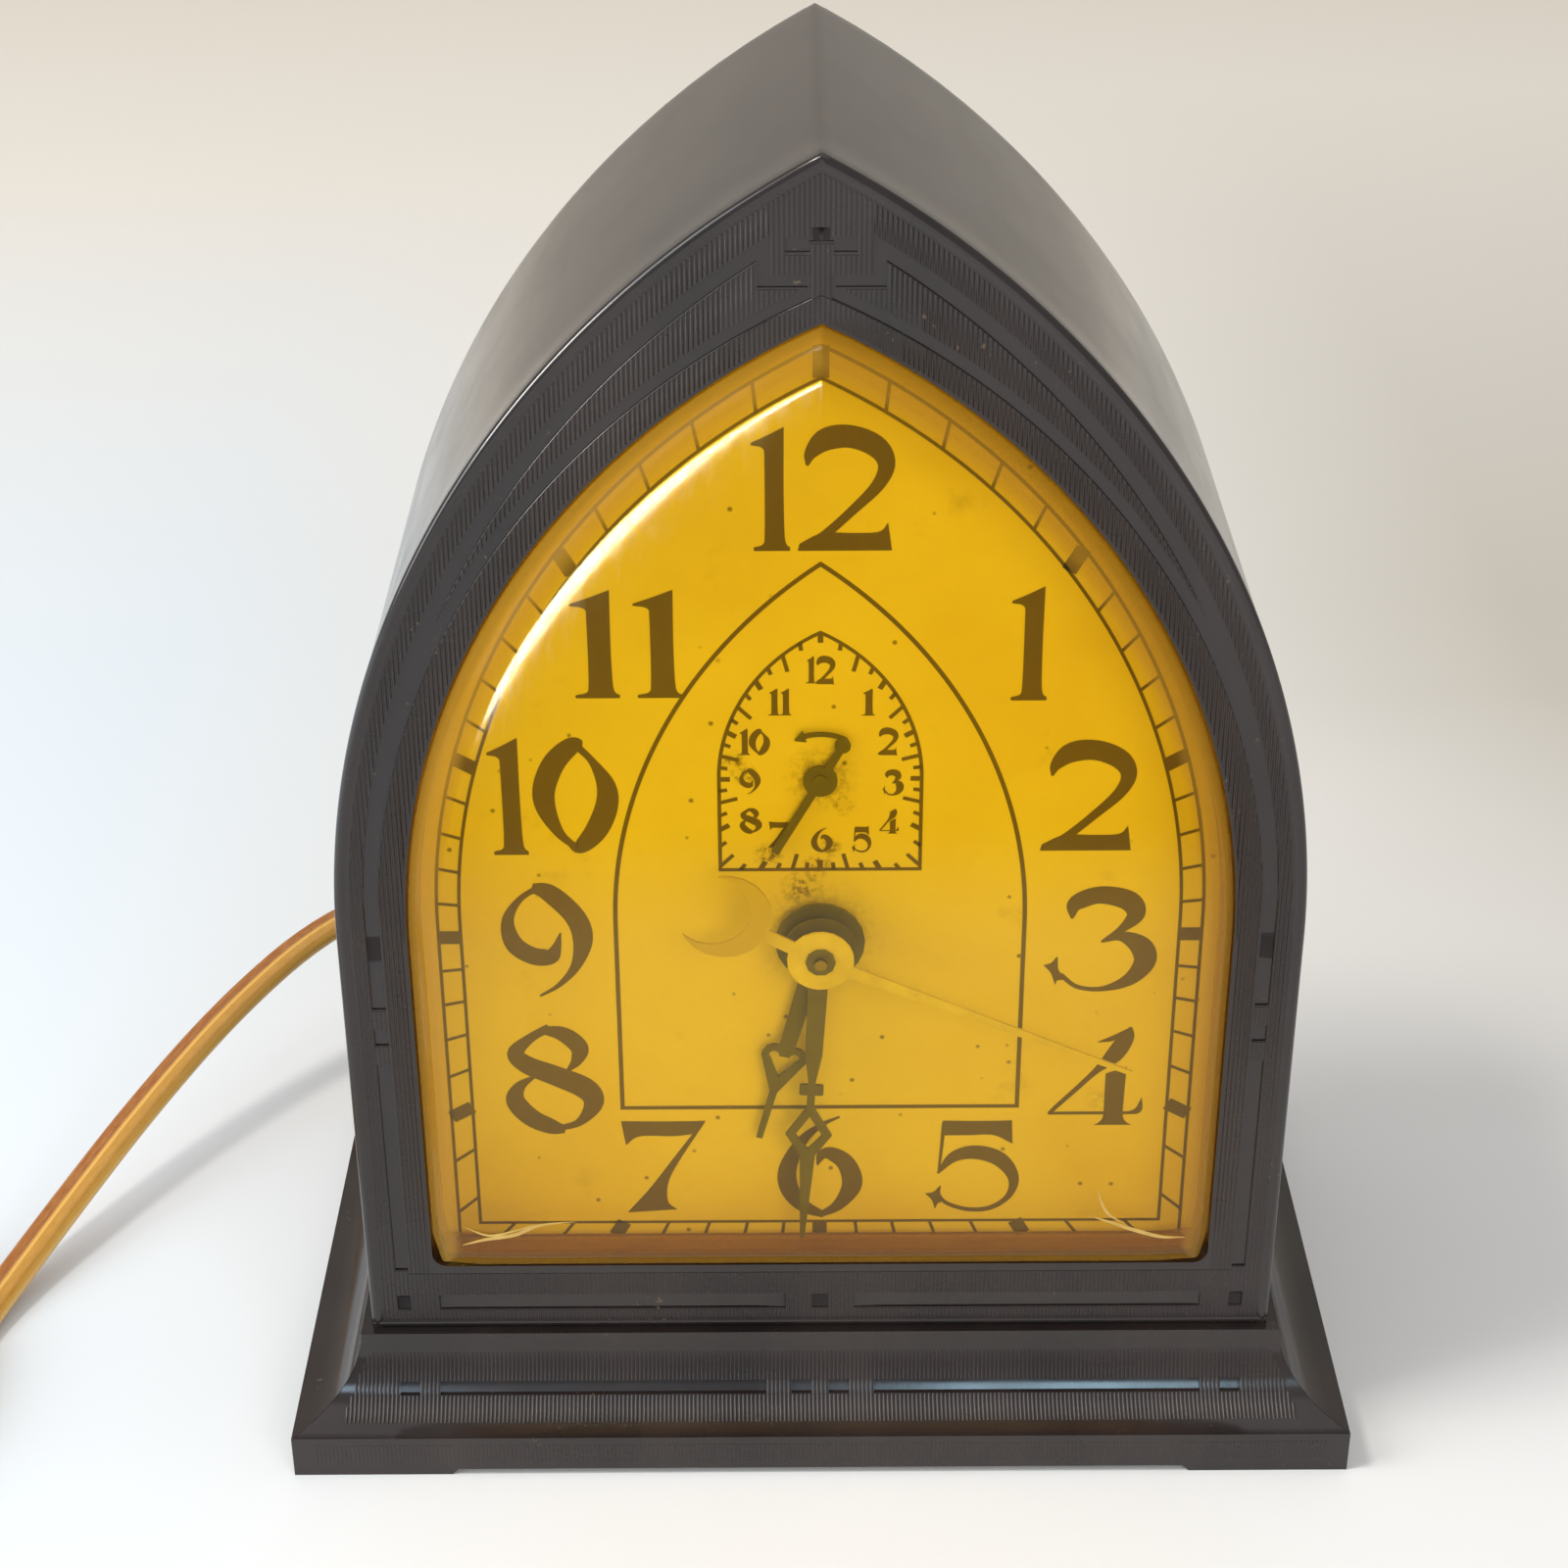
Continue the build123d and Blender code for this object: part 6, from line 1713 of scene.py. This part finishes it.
    def creases(self) -> Object:
        """Pale creases at the lower corners: tapering strokes of x, z, width, a hair in front of the crown.

        The crown's share at a place is the larger of its x and z shares of the way from middle to border.

        Returns:
            The creases.
        """
        strokes = [
            Stroke((-46.2, 33.9, 0.1), (-43.3, 34.9, 0.5), (-39.3, 35.7, 0.6), (-36.1, 37.3, 0.4),
                   (-31.5, 37.9, 0.05)),
            Stroke((-45.8, 36.8, 0.05), (-42.6, 35.6, 0.35), (-39.0, 36.5, 0.3), (-36.4, 37.6, 0.05)),
            Stroke((34.5, 38.4, 0.05), (37.3, 37.3, 0.4), (40.6, 35.9, 0.6), (43.9, 34.8, 0.5),
                   (47.0, 34.5, 0.1)),
            Stroke((35.4, 42.6, 0.05), (35.9, 40.6, 0.3), (37.0, 38.6, 0.35), (39.2, 37.0, 0.05)),
        ]
        strips = np.stack([stroke.ribbon(1.0, 1.0, self.crease_steps) for stroke in strokes])
        border = self.rim.inset(self.shoulder * (1 - math.sin(self.lean)))
        middle = self.rim.spring + self.cap_rise
        sideways = np.abs(strips[..., 0]) / border.half
        downward = (middle - strips[..., 1]) / (middle - border.bottom)
        share = np.clip(np.maximum(sideways, downward), 0, 1)
        y = self.face - self.crown * (1 - share**self.crown_power) - self.crease_lift
        points = np.stack([strips[..., 0], y, strips[..., 1]], axis=-1).reshape(-1, 3)
        starts = 2 * self.crease_steps * np.arange(len(strips))
        faces = np.vstack([front_faces(strip, start) for strip, start in zip(strips, starts)])
        return fit(make_piece("crystal_creases", points, faces), Finish.CREASE, "crystal")


# Dial print


class Stroke:
    """One pen stroke: a smooth spine of x, y, width rows in a unit box, widths in parts of the height."""

    thinnest: float = 0.004

    def __init__(self, *rows: tuple) -> None:
        """Keep the spine."""
        self.rows = np.array(rows, float)

    def ribbon(self, wide: float, tall: float, count: int, bold: float = 1.0) -> Points:
        """Edges of the stroke at a size, as an array of count, 2 sides, x and z.

        Edge = spine +- normal * width / 2, with the normal square to the spine.

        Args:
            wide: width of the box.
            tall: its height.
            count: points along an edge.
            bold: factor on the width.
        Returns:
            The edges.
        """
        spine = smooth_curve(self.rows * (wide, tall, tall * bold), count)
        run = unit(np.gradient(spine[:, :2], axis=0))
        width = np.clip(spine[:, 2:], self.thinnest * tall, None)
        normal = np.stack([-run[:, 1], run[:, 0]], axis=1) * width / 2
        return np.stack([spine[:, :2] + normal, spine[:, :2] - normal], axis=1)


class Blade:
    """A filled stroke between two smooth edges, each of x, y rows in a box one unit each way."""

    def __init__(self, left: list, right: list) -> None:
        """Keep the edges."""
        self.left = np.array(left, float)
        self.right = np.array(right, float)

    def ribbon(self, wide: float, tall: float, count: int, bold: float = 1.0) -> Points:
        """Edges at a size, as an array of count, 2 sides, x and z, pushed apart by the boldness.

        Args:
            wide: width of the box.
            tall: its height.
            count: points along an edge.
            bold: factor on the spread.
        Returns:
            The edges.
        """
        sides = [smooth_curve(edge * (wide, tall), count) for edge in (self.left, self.right)]
        edges = np.stack(sides, axis=1)
        middle = edges.mean(axis=1, keepdims=True)
        return middle + (edges - middle) * bold


def figures() -> dict:
    """Broad-nib figures, each as strokes in a unit box.

    Returns:
        Strokes by figure.
    """
    return {
        "0": [
            Stroke((0.62, 0.93, 0.08), (0.48, 0.93, 0.14), (0.24, 0.79, 0.17), (0.09, 0.58, 0.17),
                   (0.10, 0.40, 0.15), (0.26, 0.19, 0.08), (0.46, 0.07, 0.05)),
            Stroke((0.54, 0.93, 0.06), (0.74, 0.80, 0.06), (0.91, 0.60, 0.14), (0.91, 0.42, 0.17),
                   (0.76, 0.21, 0.17), (0.54, 0.07, 0.12), (0.40, 0.09, 0.05)),
        ],
        "1": [
            Blade([(0.34, 0.92), (0.35, 0.50), (0.34, 0.14), (0.29, 0.055), (0.06, 0.03), (0.06, 0.0)],
                  [(0.85, 1.0), (0.84, 0.50), (0.86, 0.14), (0.91, 0.055), (1.0, 0.03), (1.0, 0.0)]),
            Blade([(0.0, 0.875), (0.40, 0.93), (0.85, 1.0)], [(0.0, 0.855), (0.30, 0.83), (0.44, 0.72)]),
        ],
        "2": [
            Stroke((0.10, 0.69, 0.02), (0.14, 0.79, 0.10), (0.30, 0.90, 0.18), (0.56, 0.92, 0.18),
                   (0.82, 0.84, 0.17), (0.93, 0.70, 0.13), (0.84, 0.53, 0.10), (0.58, 0.33, 0.075),
                   (0.30, 0.14, 0.07), (0.06, 0.03, 0.05)),
            Blade([(0.02, 0.06), (0.26, 0.145), (0.60, 0.145), (0.86, 0.155), (0.955, 0.23)],
                  [(0.0, 0.0), (0.26, 0.0), (0.60, 0.0), (0.86, 0.0), (1.0, 0.0)]),
        ],
        "3": [
            Stroke((0.24, 0.70, 0.02), (0.27, 0.84, 0.14), (0.48, 0.92, 0.16), (0.74, 0.87, 0.18),
                   (0.82, 0.74, 0.15), (0.70, 0.60, 0.07), (0.52, 0.48, 0.02)),
            Stroke((0.52, 0.48, 0.02), (0.70, 0.53, 0.09), (0.88, 0.44, 0.18), (0.93, 0.29, 0.18),
                   (0.80, 0.12, 0.12), (0.56, 0.03, 0.05), (0.32, 0.05, 0.04), (0.16, 0.17, 0.04)),
            Blade([(0.0, 0.26), (0.07, 0.28), (0.125, 0.34), (0.14, 0.22), (0.20, 0.14)],
                  [(0.0, 0.26), (0.07, 0.185), (0.115, 0.075), (0.135, 0.11), (0.20, 0.12)]),
        ],
        "4": [
            Stroke((0.84, 1.0, 0.02), (0.80, 0.90, 0.13), (0.68, 0.72, 0.15), (0.50, 0.56, 0.06),
                   (0.28, 0.36, 0.045), (0.10, 0.20, 0.04), (0.015, 0.12, 0.035)),
            Stroke((0.50, 0.85, 0.01), (0.66, 0.89, 0.05), (0.82, 0.98, 0.02)),
            Stroke((0.01, 0.125, 0.03), (0.45, 0.125, 0.03), (0.93, 0.125, 0.03)),
            Stroke((0.86, 0.125, 0.02), (0.97, 0.155, 0.06), (1.0, 0.28, 0.005)),
            Blade([(0.60, 0.53), (0.60, 0.30), (0.60, 0.10), (0.56, 0.03), (0.50, 0.0)],
                  [(0.82, 0.60), (0.81, 0.30), (0.81, 0.10), (0.85, 0.03), (0.91, 0.0)]),
        ],
        "5": [
            Blade([(0.17, 0.995), (0.45, 0.99), (0.75, 0.99), (0.915, 0.995)],
                  [(0.17, 0.835), (0.45, 0.835), (0.72, 0.835), (0.93, 0.74)]),
            Stroke((0.185, 0.97, 0.035), (0.165, 0.70, 0.03), (0.14, 0.42, 0.02)),
            Stroke((0.13, 0.42, 0.02), (0.30, 0.60, 0.11), (0.54, 0.65, 0.15), (0.80, 0.57, 0.15),
                   (0.955, 0.37, 0.10), (0.91, 0.17, 0.06), (0.72, 0.04, 0.05), (0.48, 0.02, 0.045),
                   (0.26, 0.08, 0.04), (0.15, 0.16, 0.03)),
            Blade([(0.0, 0.20), (0.09, 0.215), (0.165, 0.285), (0.165, 0.20), (0.21, 0.135)],
                  [(0.0, 0.20), (0.075, 0.125), (0.11, 0.035), (0.14, 0.085), (0.21, 0.115)]),
        ],
        "6": [
            Stroke((0.75, 0.99, 0.02), (0.52, 0.91, 0.045), (0.28, 0.76, 0.09), (0.10, 0.50, 0.14),
                   (0.12, 0.29, 0.15), (0.30, 0.12, 0.12), (0.56, 0.03, 0.06)),
            Stroke((0.50, 0.03, 0.05), (0.74, 0.13, 0.10), (0.91, 0.33, 0.16), (0.84, 0.53, 0.15),
                   (0.66, 0.63, 0.13), (0.53, 0.62, 0.09), (0.47, 0.52, 0.01)),
        ],
        "7": [
            Blade([(0.0, 1.0), (0.40, 0.995), (0.75, 0.995), (1.0, 1.0)],
                  [(0.05, 0.74), (0.22, 0.835), (0.62, 0.835), (0.88, 0.86)]),
            Blade([(0.86, 0.88), (0.62, 0.61), (0.32, 0.27), (0.04, 0.0)],
                  [(1.0, 0.995), (0.68, 0.57), (0.54, 0.33), (0.53, 0.12), (0.64, 0.03)]),
        ],
        "8": [
            Stroke((0.48, 0.97, 0.07), (0.26, 0.87, 0.08), (0.10, 0.74, 0.13), (0.22, 0.63, 0.16),
                   (0.52, 0.53, 0.18), (0.84, 0.41, 0.19), (0.92, 0.27, 0.15), (0.76, 0.10, 0.07),
                   (0.52, 0.04, 0.05)),
            Stroke((0.38, 0.95, 0.06), (0.62, 0.91, 0.13), (0.79, 0.79, 0.14), (0.76, 0.67, 0.09),
                   (0.66, 0.58, 0.03)),
            Stroke((0.28, 0.52, 0.03), (0.12, 0.43, 0.09), (0.07, 0.30, 0.15), (0.22, 0.15, 0.16),
                   (0.44, 0.06, 0.14), (0.60, 0.03, 0.07)),
        ],
        "9": [
            Stroke((0.38, 0.95, 0.08), (0.58, 0.90, 0.15), (0.85, 0.70, 0.16), (0.93, 0.50, 0.15),
                   (0.84, 0.27, 0.08), (0.64, 0.10, 0.04), (0.41, 0.0, 0.02)),
            Stroke((0.50, 0.97, 0.05), (0.24, 0.85, 0.05), (0.09, 0.67, 0.09), (0.14, 0.47, 0.14),
                   (0.34, 0.36, 0.15), (0.54, 0.35, 0.14), (0.62, 0.42, 0.08), (0.68, 0.56, 0.01)),
        ],
    }


@dataclass
class DialPrint:
    """Everything printed on the dial: the minute track, the hour figures, the inner arch and the alarm ring.

    Heights are above the table; places of figures are boxes about the hand axis. Millimetres.
    """

    surface: float = -27.0
    lift: float = 0.035
    axis: float = 75.0
    alarm_axis: float = 97.5
    track_outer: Arch = Arch(47.7, 28.15, 77.0, 153.2)
    track_inner: Arch = Arch(44.9, 30.3, 77.0, 149.3)
    inner_arch: Arch = Arch(25.5, 48.8, 77.0, 126.2)
    alarm_arch: Arch = Arch(12.3, 84.7, 97.5, 117.3)
    layer_step: float = 0.002
    layers: int = 6
    line: float = 0.43
    hour_bar: float = 1.9
    arch_line: float = 0.56
    alarm_line: float = 0.46
    line_steps: tuple = (60, 8, 8)
    fine_steps: tuple = (400, 200, 200)
    figure_steps: int = 40
    figure_width: float = 0.74
    small_half: float = 1.75
    small_bold: float = 1.45

    def flat(self, xz: Points, layer: int) -> Points:
        """Put x, z rows on the dial's face, each layer a hair in front of the last."""
        y = np.full(xz.shape[:-1], self.surface - self.lift - self.layer_step * layer)
        return np.stack([xz[..., 0], y, xz[..., 1]], axis=-1)

    def band(self, arch: Arch, width: float) -> Points:
        """A line along an arch: the outline and its parallel, as rows of two points.

        Args:
            arch: the line's middle.
            width: its width.
        Returns:
            Rows of two x, z points, closed.
        """
        outer, _ = arch.inset(-width / 2).outline(*self.line_steps)
        inner, _ = arch.inset(width / 2).outline(*self.line_steps)
        rows = np.stack([outer, inner], axis=1)
        return np.concatenate([rows, rows[:1]])

    def reach(self, arch: Arch, centre: float, angle: Points) -> Points:
        """Distance from a centre on the axis to an arch, at clockwise angles from the top.

        Args:
            arch: the outline.
            centre: height of the centre.
            angle: clockwise angles in radians.
        Returns:
            One distance for each angle.
        """
        points, _ = arch.outline(*self.fine_steps)
        bearing = np.unwrap(np.arctan2(points[:, 0], points[:, 1] - centre))
        far = np.hypot(points[:, 0], points[:, 1] - centre)
        order = np.argsort(bearing)
        full = 2 * math.pi
        wanted, known = ((turn + math.pi) % full - math.pi for turn in (angle, bearing[order]))
        return np.interp(wanted, known, far[order], period=full)

    def ticks(self, centre: float, angle: Points, near: Points, far: Points, width: Points) -> list[Points]:
        """Marks on rays from a centre: each a strip from near to far, of a width square to its ray.

        Args:
            centre: height of the centre.
            angle: clockwise angles in radians.
            near: distances of the inner ends.
            far: distances of the outer ends.
            width: widths of the marks.
        Returns:
            One strip for each mark.
        """
        ray = np.stack([np.sin(angle), np.cos(angle)], axis=1)
        cross = np.stack([ray[:, 1], -ray[:, 0]], axis=1) * np.asarray(width)[:, None] / 2
        ends = [np.array([0, centre]) + ray * np.asarray(d)[:, None] for d in (near, far)]
        strips = np.stack([np.stack([e - cross, e + cross], axis=1) for e in ends], axis=1)
        return list(strips)

    def ribbons(self, name: str, strips: list[Points]) -> Object:
        """Make one printed piece from strips of two edges, each a grid of rows by two points.

        Args:
            name: the piece's name.
            strips: rows of two x, z points for each strip.
        Returns:
            The printed piece.
        """
        starts = np.cumsum([0] + [strip.shape[0] * 2 for strip in strips])
        points = [self.flat(strip, layer % self.layers).reshape(-1, 3) for layer, strip in enumerate(strips)]
        faces = [front_faces(strip, start) for strip, start in zip(strips, starts)]
        piece = make_piece(name, np.vstack(points), np.vstack(faces), smooth=False)
        return fit(piece, Finish.INK, "dial")

    def track(self) -> Object:
        """Minute track: two arch lines, thin minute marks and thick hour marks between them.

        Returns:
            The track.
        """
        strips = [self.band(self.track_outer, self.line), self.band(self.track_inner, self.line)]
        angle = np.arange(60) * math.radians(6)
        near = self.reach(self.track_inner, self.axis, angle)
        far = self.reach(self.track_outer, self.axis, angle)
        hour = np.arange(60) % 5 == 0
        strips += self.ticks(self.axis, angle, near, far, np.where(hour, self.hour_bar, self.line))
        return self.ribbons("minute_track", strips)

    def figure(self, text: str, box: tuple, centre: float, bold: float = 1.0) -> list[Points]:
        """Strokes of a number, fitted to a box of low x, high x, low z, high z about a height.

        Args:
            text: the number.
            box: low x, high x, low z and high z.
            centre: height that the box is about.
            bold: factor on the strokes' widths.
        Returns:
            One strip for each stroke.
        """
        left, right, low, high = box
        shapes = figures()
        slim, gap = {"12": (0.30, 0.06), "10": (0.36, 0.12), "11": (0.36, 0.12)}.get(text, (0.36, 0.0))
        widths = [slim if c == "1" else self.figure_width for c in text]
        share = (right - left) / (sum(widths) + gap)
        strips, x = [], left
        for character, width in zip(text, widths):
            for shape in shapes[character]:
                ribbon = shape.ribbon(width * share, high - low, self.figure_steps, bold)
                strips.append(ribbon + (x, centre + low))
            x += (width + gap) * share
        return strips

    def hours(self) -> Object:
        """The twelve large figures in their measured boxes.

        Returns:
            The figures.
        """
        boxes = {
            "12": (-8.0, 8.3, 52.9, 68.4), "1": (22.5, 27.0, 33.1, 48.2), "2": (27.0, 38.2, 12.2, 27.5),
            "3": (28.1, 41.8, -8.6, 7.0), "4": (29.5, 41.6, -29.3, -14.0), "5": (13.9, 26.0, -43.2, -28.4),
            "6": (-5.2, 5.2, -44.2, -27.6), "7": (-25.8, -14.8, -43.1, -28.3),
            "8": (-40.1, -28.3, -30.1, -13.1), "9": (-39.9, -28.9, -8.8, 8.1),
            "10": (-40.3, -25.2, 12.0, 28.4), "11": (-29.5, -16.5, 33.7, 48.0),
        }
        strips = [s for text, box in boxes.items() for s in self.figure(text, box, self.axis)]
        return self.ribbons("hour_figures", strips)

    def alarm(self) -> Object:
        """Inner arch line, and the alarm ring with its marks and small figures.

        Returns:
            The ring.
        """
        strips = [self.band(self.inner_arch, self.arch_line), self.band(self.alarm_arch, self.alarm_line)]
        step = np.arange(48)
        angle = step * math.radians(7.5)
        far = self.reach(self.alarm_arch, self.alarm_axis, angle)
        hour, half = step % 4 == 0, step % 4 == 2
        length = np.where(half, 2.3, np.where(hour, 1.35, 1.0))
        strips += self.ticks(self.alarm_axis, angle, far - length, far, np.where(hour, 0.66, 0.5))
        places = {
            "12": (0.0, 112.3), "1": (5.7, 107.9), "2": (8.1, 102.6), "3": (8.7, 96.9), "4": (8.4, 91.5),
            "5": (5.0, 88.9), "6": (0.2, 88.9), "7": (-5.1, 89.6), "8": (-8.5, 91.7), "9": (-8.6, 97.2),
            "10": (-8.0, 102.6), "11": (-4.9, 108.0),
        }
        for text, (x, z) in places.items():
            half_wide = {"1": 0.6, "10": 1.7, "11": 1.2, "12": 1.6}.get(text, 1.15)
            box = (x - half_wide, x + half_wide, z - self.small_half, z + self.small_half)
            strips += self.figure(text, box, 0.0, self.small_bold)
        return self.ribbons("alarm_ring", strips)


# Screw heads


@dataclass
class ScrewHeads:
    """Round slotted heads over the plain heads of the screws in the back cover."""

    spots: tuple = (
        (-52.3, 23.7), (52.3, 23.7), (-40.2, 126.0), (40.2, 126.0),
        (-26, 50), (26, 50), (-26, 108), (26, 108),
    )
    seat: float = 30.5
    radius: float = 2.8
    wall: float = 1.45
    crown: float = 0.85
    slot_half: float = 0.34
    slot_floor: float = 1.52
    end_angle: float = 1.51
    steps: int = 12
    turn: float = 2.4

    def head(self) -> Points:
        """One head as a grid of x, z and height.

        Rows are chords of a circle, along the slot. The height is wall + crown (1 - (r / radius)^2), cut down
        to the slot's floor on the two middle rows, and the border is put down on the cover.

        Returns:
            An array of rows by columns by 3.
        """
        slot_angle = math.asin(self.slot_half / self.radius)
        near = self.radius * np.sin(np.linspace(slot_angle, self.end_angle, self.steps))
        slot = np.array([-self.slot_half, self.slot_half])
        across = np.concatenate([-near[::-1], slot, near])
        along = np.sin(np.linspace(-math.pi / 2, math.pi / 2, 2 * self.steps + 1))
        x = np.repeat(across[:, None], len(along), axis=1)
        z = np.sqrt(self.radius**2 - across**2)[:, None] * along
        height = self.wall + self.crown * (1 - (x**2 + z**2) / self.radius**2)
        cut = slice(self.steps, self.steps + 2)
        height[cut] = np.minimum(height[cut], self.slot_floor)
        return np.stack([np.pad(x, 1, "edge"), np.pad(z, 1, "edge"), np.pad(height, 1)], axis=-1)

    def build(self) -> Object:
        """All heads, each turned further than the last as a screwdriver leaves them.

        Returns:
            The heads.
        """
        head = self.head()
        rows, columns = head.shape[:2]
        angle = self.turn * np.arange(len(self.spots))[:, None, None]
        spot = np.array(self.spots)[:, None, None]
        x = head[..., 0] * np.cos(angle) + head[..., 1] * np.sin(angle) + spot[..., 0]
        z = head[..., 1] * np.cos(angle) - head[..., 0] * np.sin(angle) + spot[..., 1]
        y = np.broadcast_to(self.seat + head[..., 2], x.shape)
        starts = rows * columns * np.arange(len(self.spots))
        faces = np.vstack([grid_faces(rows, columns, False, start) for start in starts])
        piece = make_piece("screw_heads", np.stack([x, y, z], axis=-1).reshape(-1, 3), faces)
        keep_sharp(piece, 40)
        return fit(piece, Finish.STEEL, "steel")


# CAD nodes that keep their shape


@dataclass
class Movement:
    """Finishes of the CAD nodes that show as they are."""

    finishes: dict = field(default_factory=lambda: {
        Finish.MOULDING: ("case_shell", "base_plinth", "plug_body"),
        Finish.DIAL: ("dial_plate",),
        Finish.BRASS: (
            "front_plate", "back_plate", "centre_bush", "seconds_wheel", "motor_pinion", "reduction_wheel",
            "centre_tube", "centre_wheel", "minute_wheel", "cannon_pinion", "hour_wheel", "alarm_wheel",
            "alarm_cam", "plug_blades",
        ),
        Finish.STEEL: (
            "base_screws", "plate_pillars", "dial_posts", "movement_posts", "rotor_capsule", "stator_spacers",
            "reduction_arbor", "minute_arbor", "reed_bracket", "buzzer_reed", "case_screws",
            "movement_screws", "switch_shaft",
        ),
        Finish.DARK_HAND: ("minute_hand", "hour_hand", "alarm_hand", "alarm_arbor", "seconds_bush"),
        Finish.PALE_HAND: ("seconds_hand",),
        Finish.PIN: ("seconds_arbor",),
        Finish.CORE: ("stator_core",),
        Finish.BOBBIN: ("coil_bobbin",),
        Finish.WINDING: ("coil_winding",),
        Finish.KNOB: ("time_set_knob", "alarm_set_knob", "switch_lever"),
        Finish.COVER: ("back_cover",),
        Finish.GROMMET: ("cord_grommet",),
        Finish.FLEX: ("cord", "cord_coil"),
        Finish.TIE: ("cord_tie",),
        Finish.CRYSTAL: ("crystal",),
    })

    def dress_all(self) -> None:
        """Dress every node, and report one that no finish names."""
        named = set()
        for finish, nodes in self.finishes.items():
            for node in nodes:
                dress(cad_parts[node], finish)
                named.add(node)
        left = sorted(set(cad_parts) - named)
        log.info("%d nodes dressed, left over: %s", len(named), left)


def main() -> None:
    """Build the looks in order."""
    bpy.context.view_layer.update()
    studio = Studio()
    studio.camera()
    FlexLead().build()
    studio.floor()
    studio.light()
    Movement().dress_all()
    case = CaseDress()
    studio.glint(case.skin(), case.band_edges())
    case.front_ribs()
    case.band_floor()
    studio.sky(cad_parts["base_plinth"], case.plinth_skin(), case.cove_ribs(), case.bar_edges())
    case.slab_ribs()
    ScrewHeads().build()
    crystal = CrystalDome()
    studio.shine(crystal.build())
    crystal.creases()
    dial = DialPrint()
    dial.track()
    dial.hours()
    dial.alarm()
    log.info("boxes written")


if __name__ == "__main__":
    main()
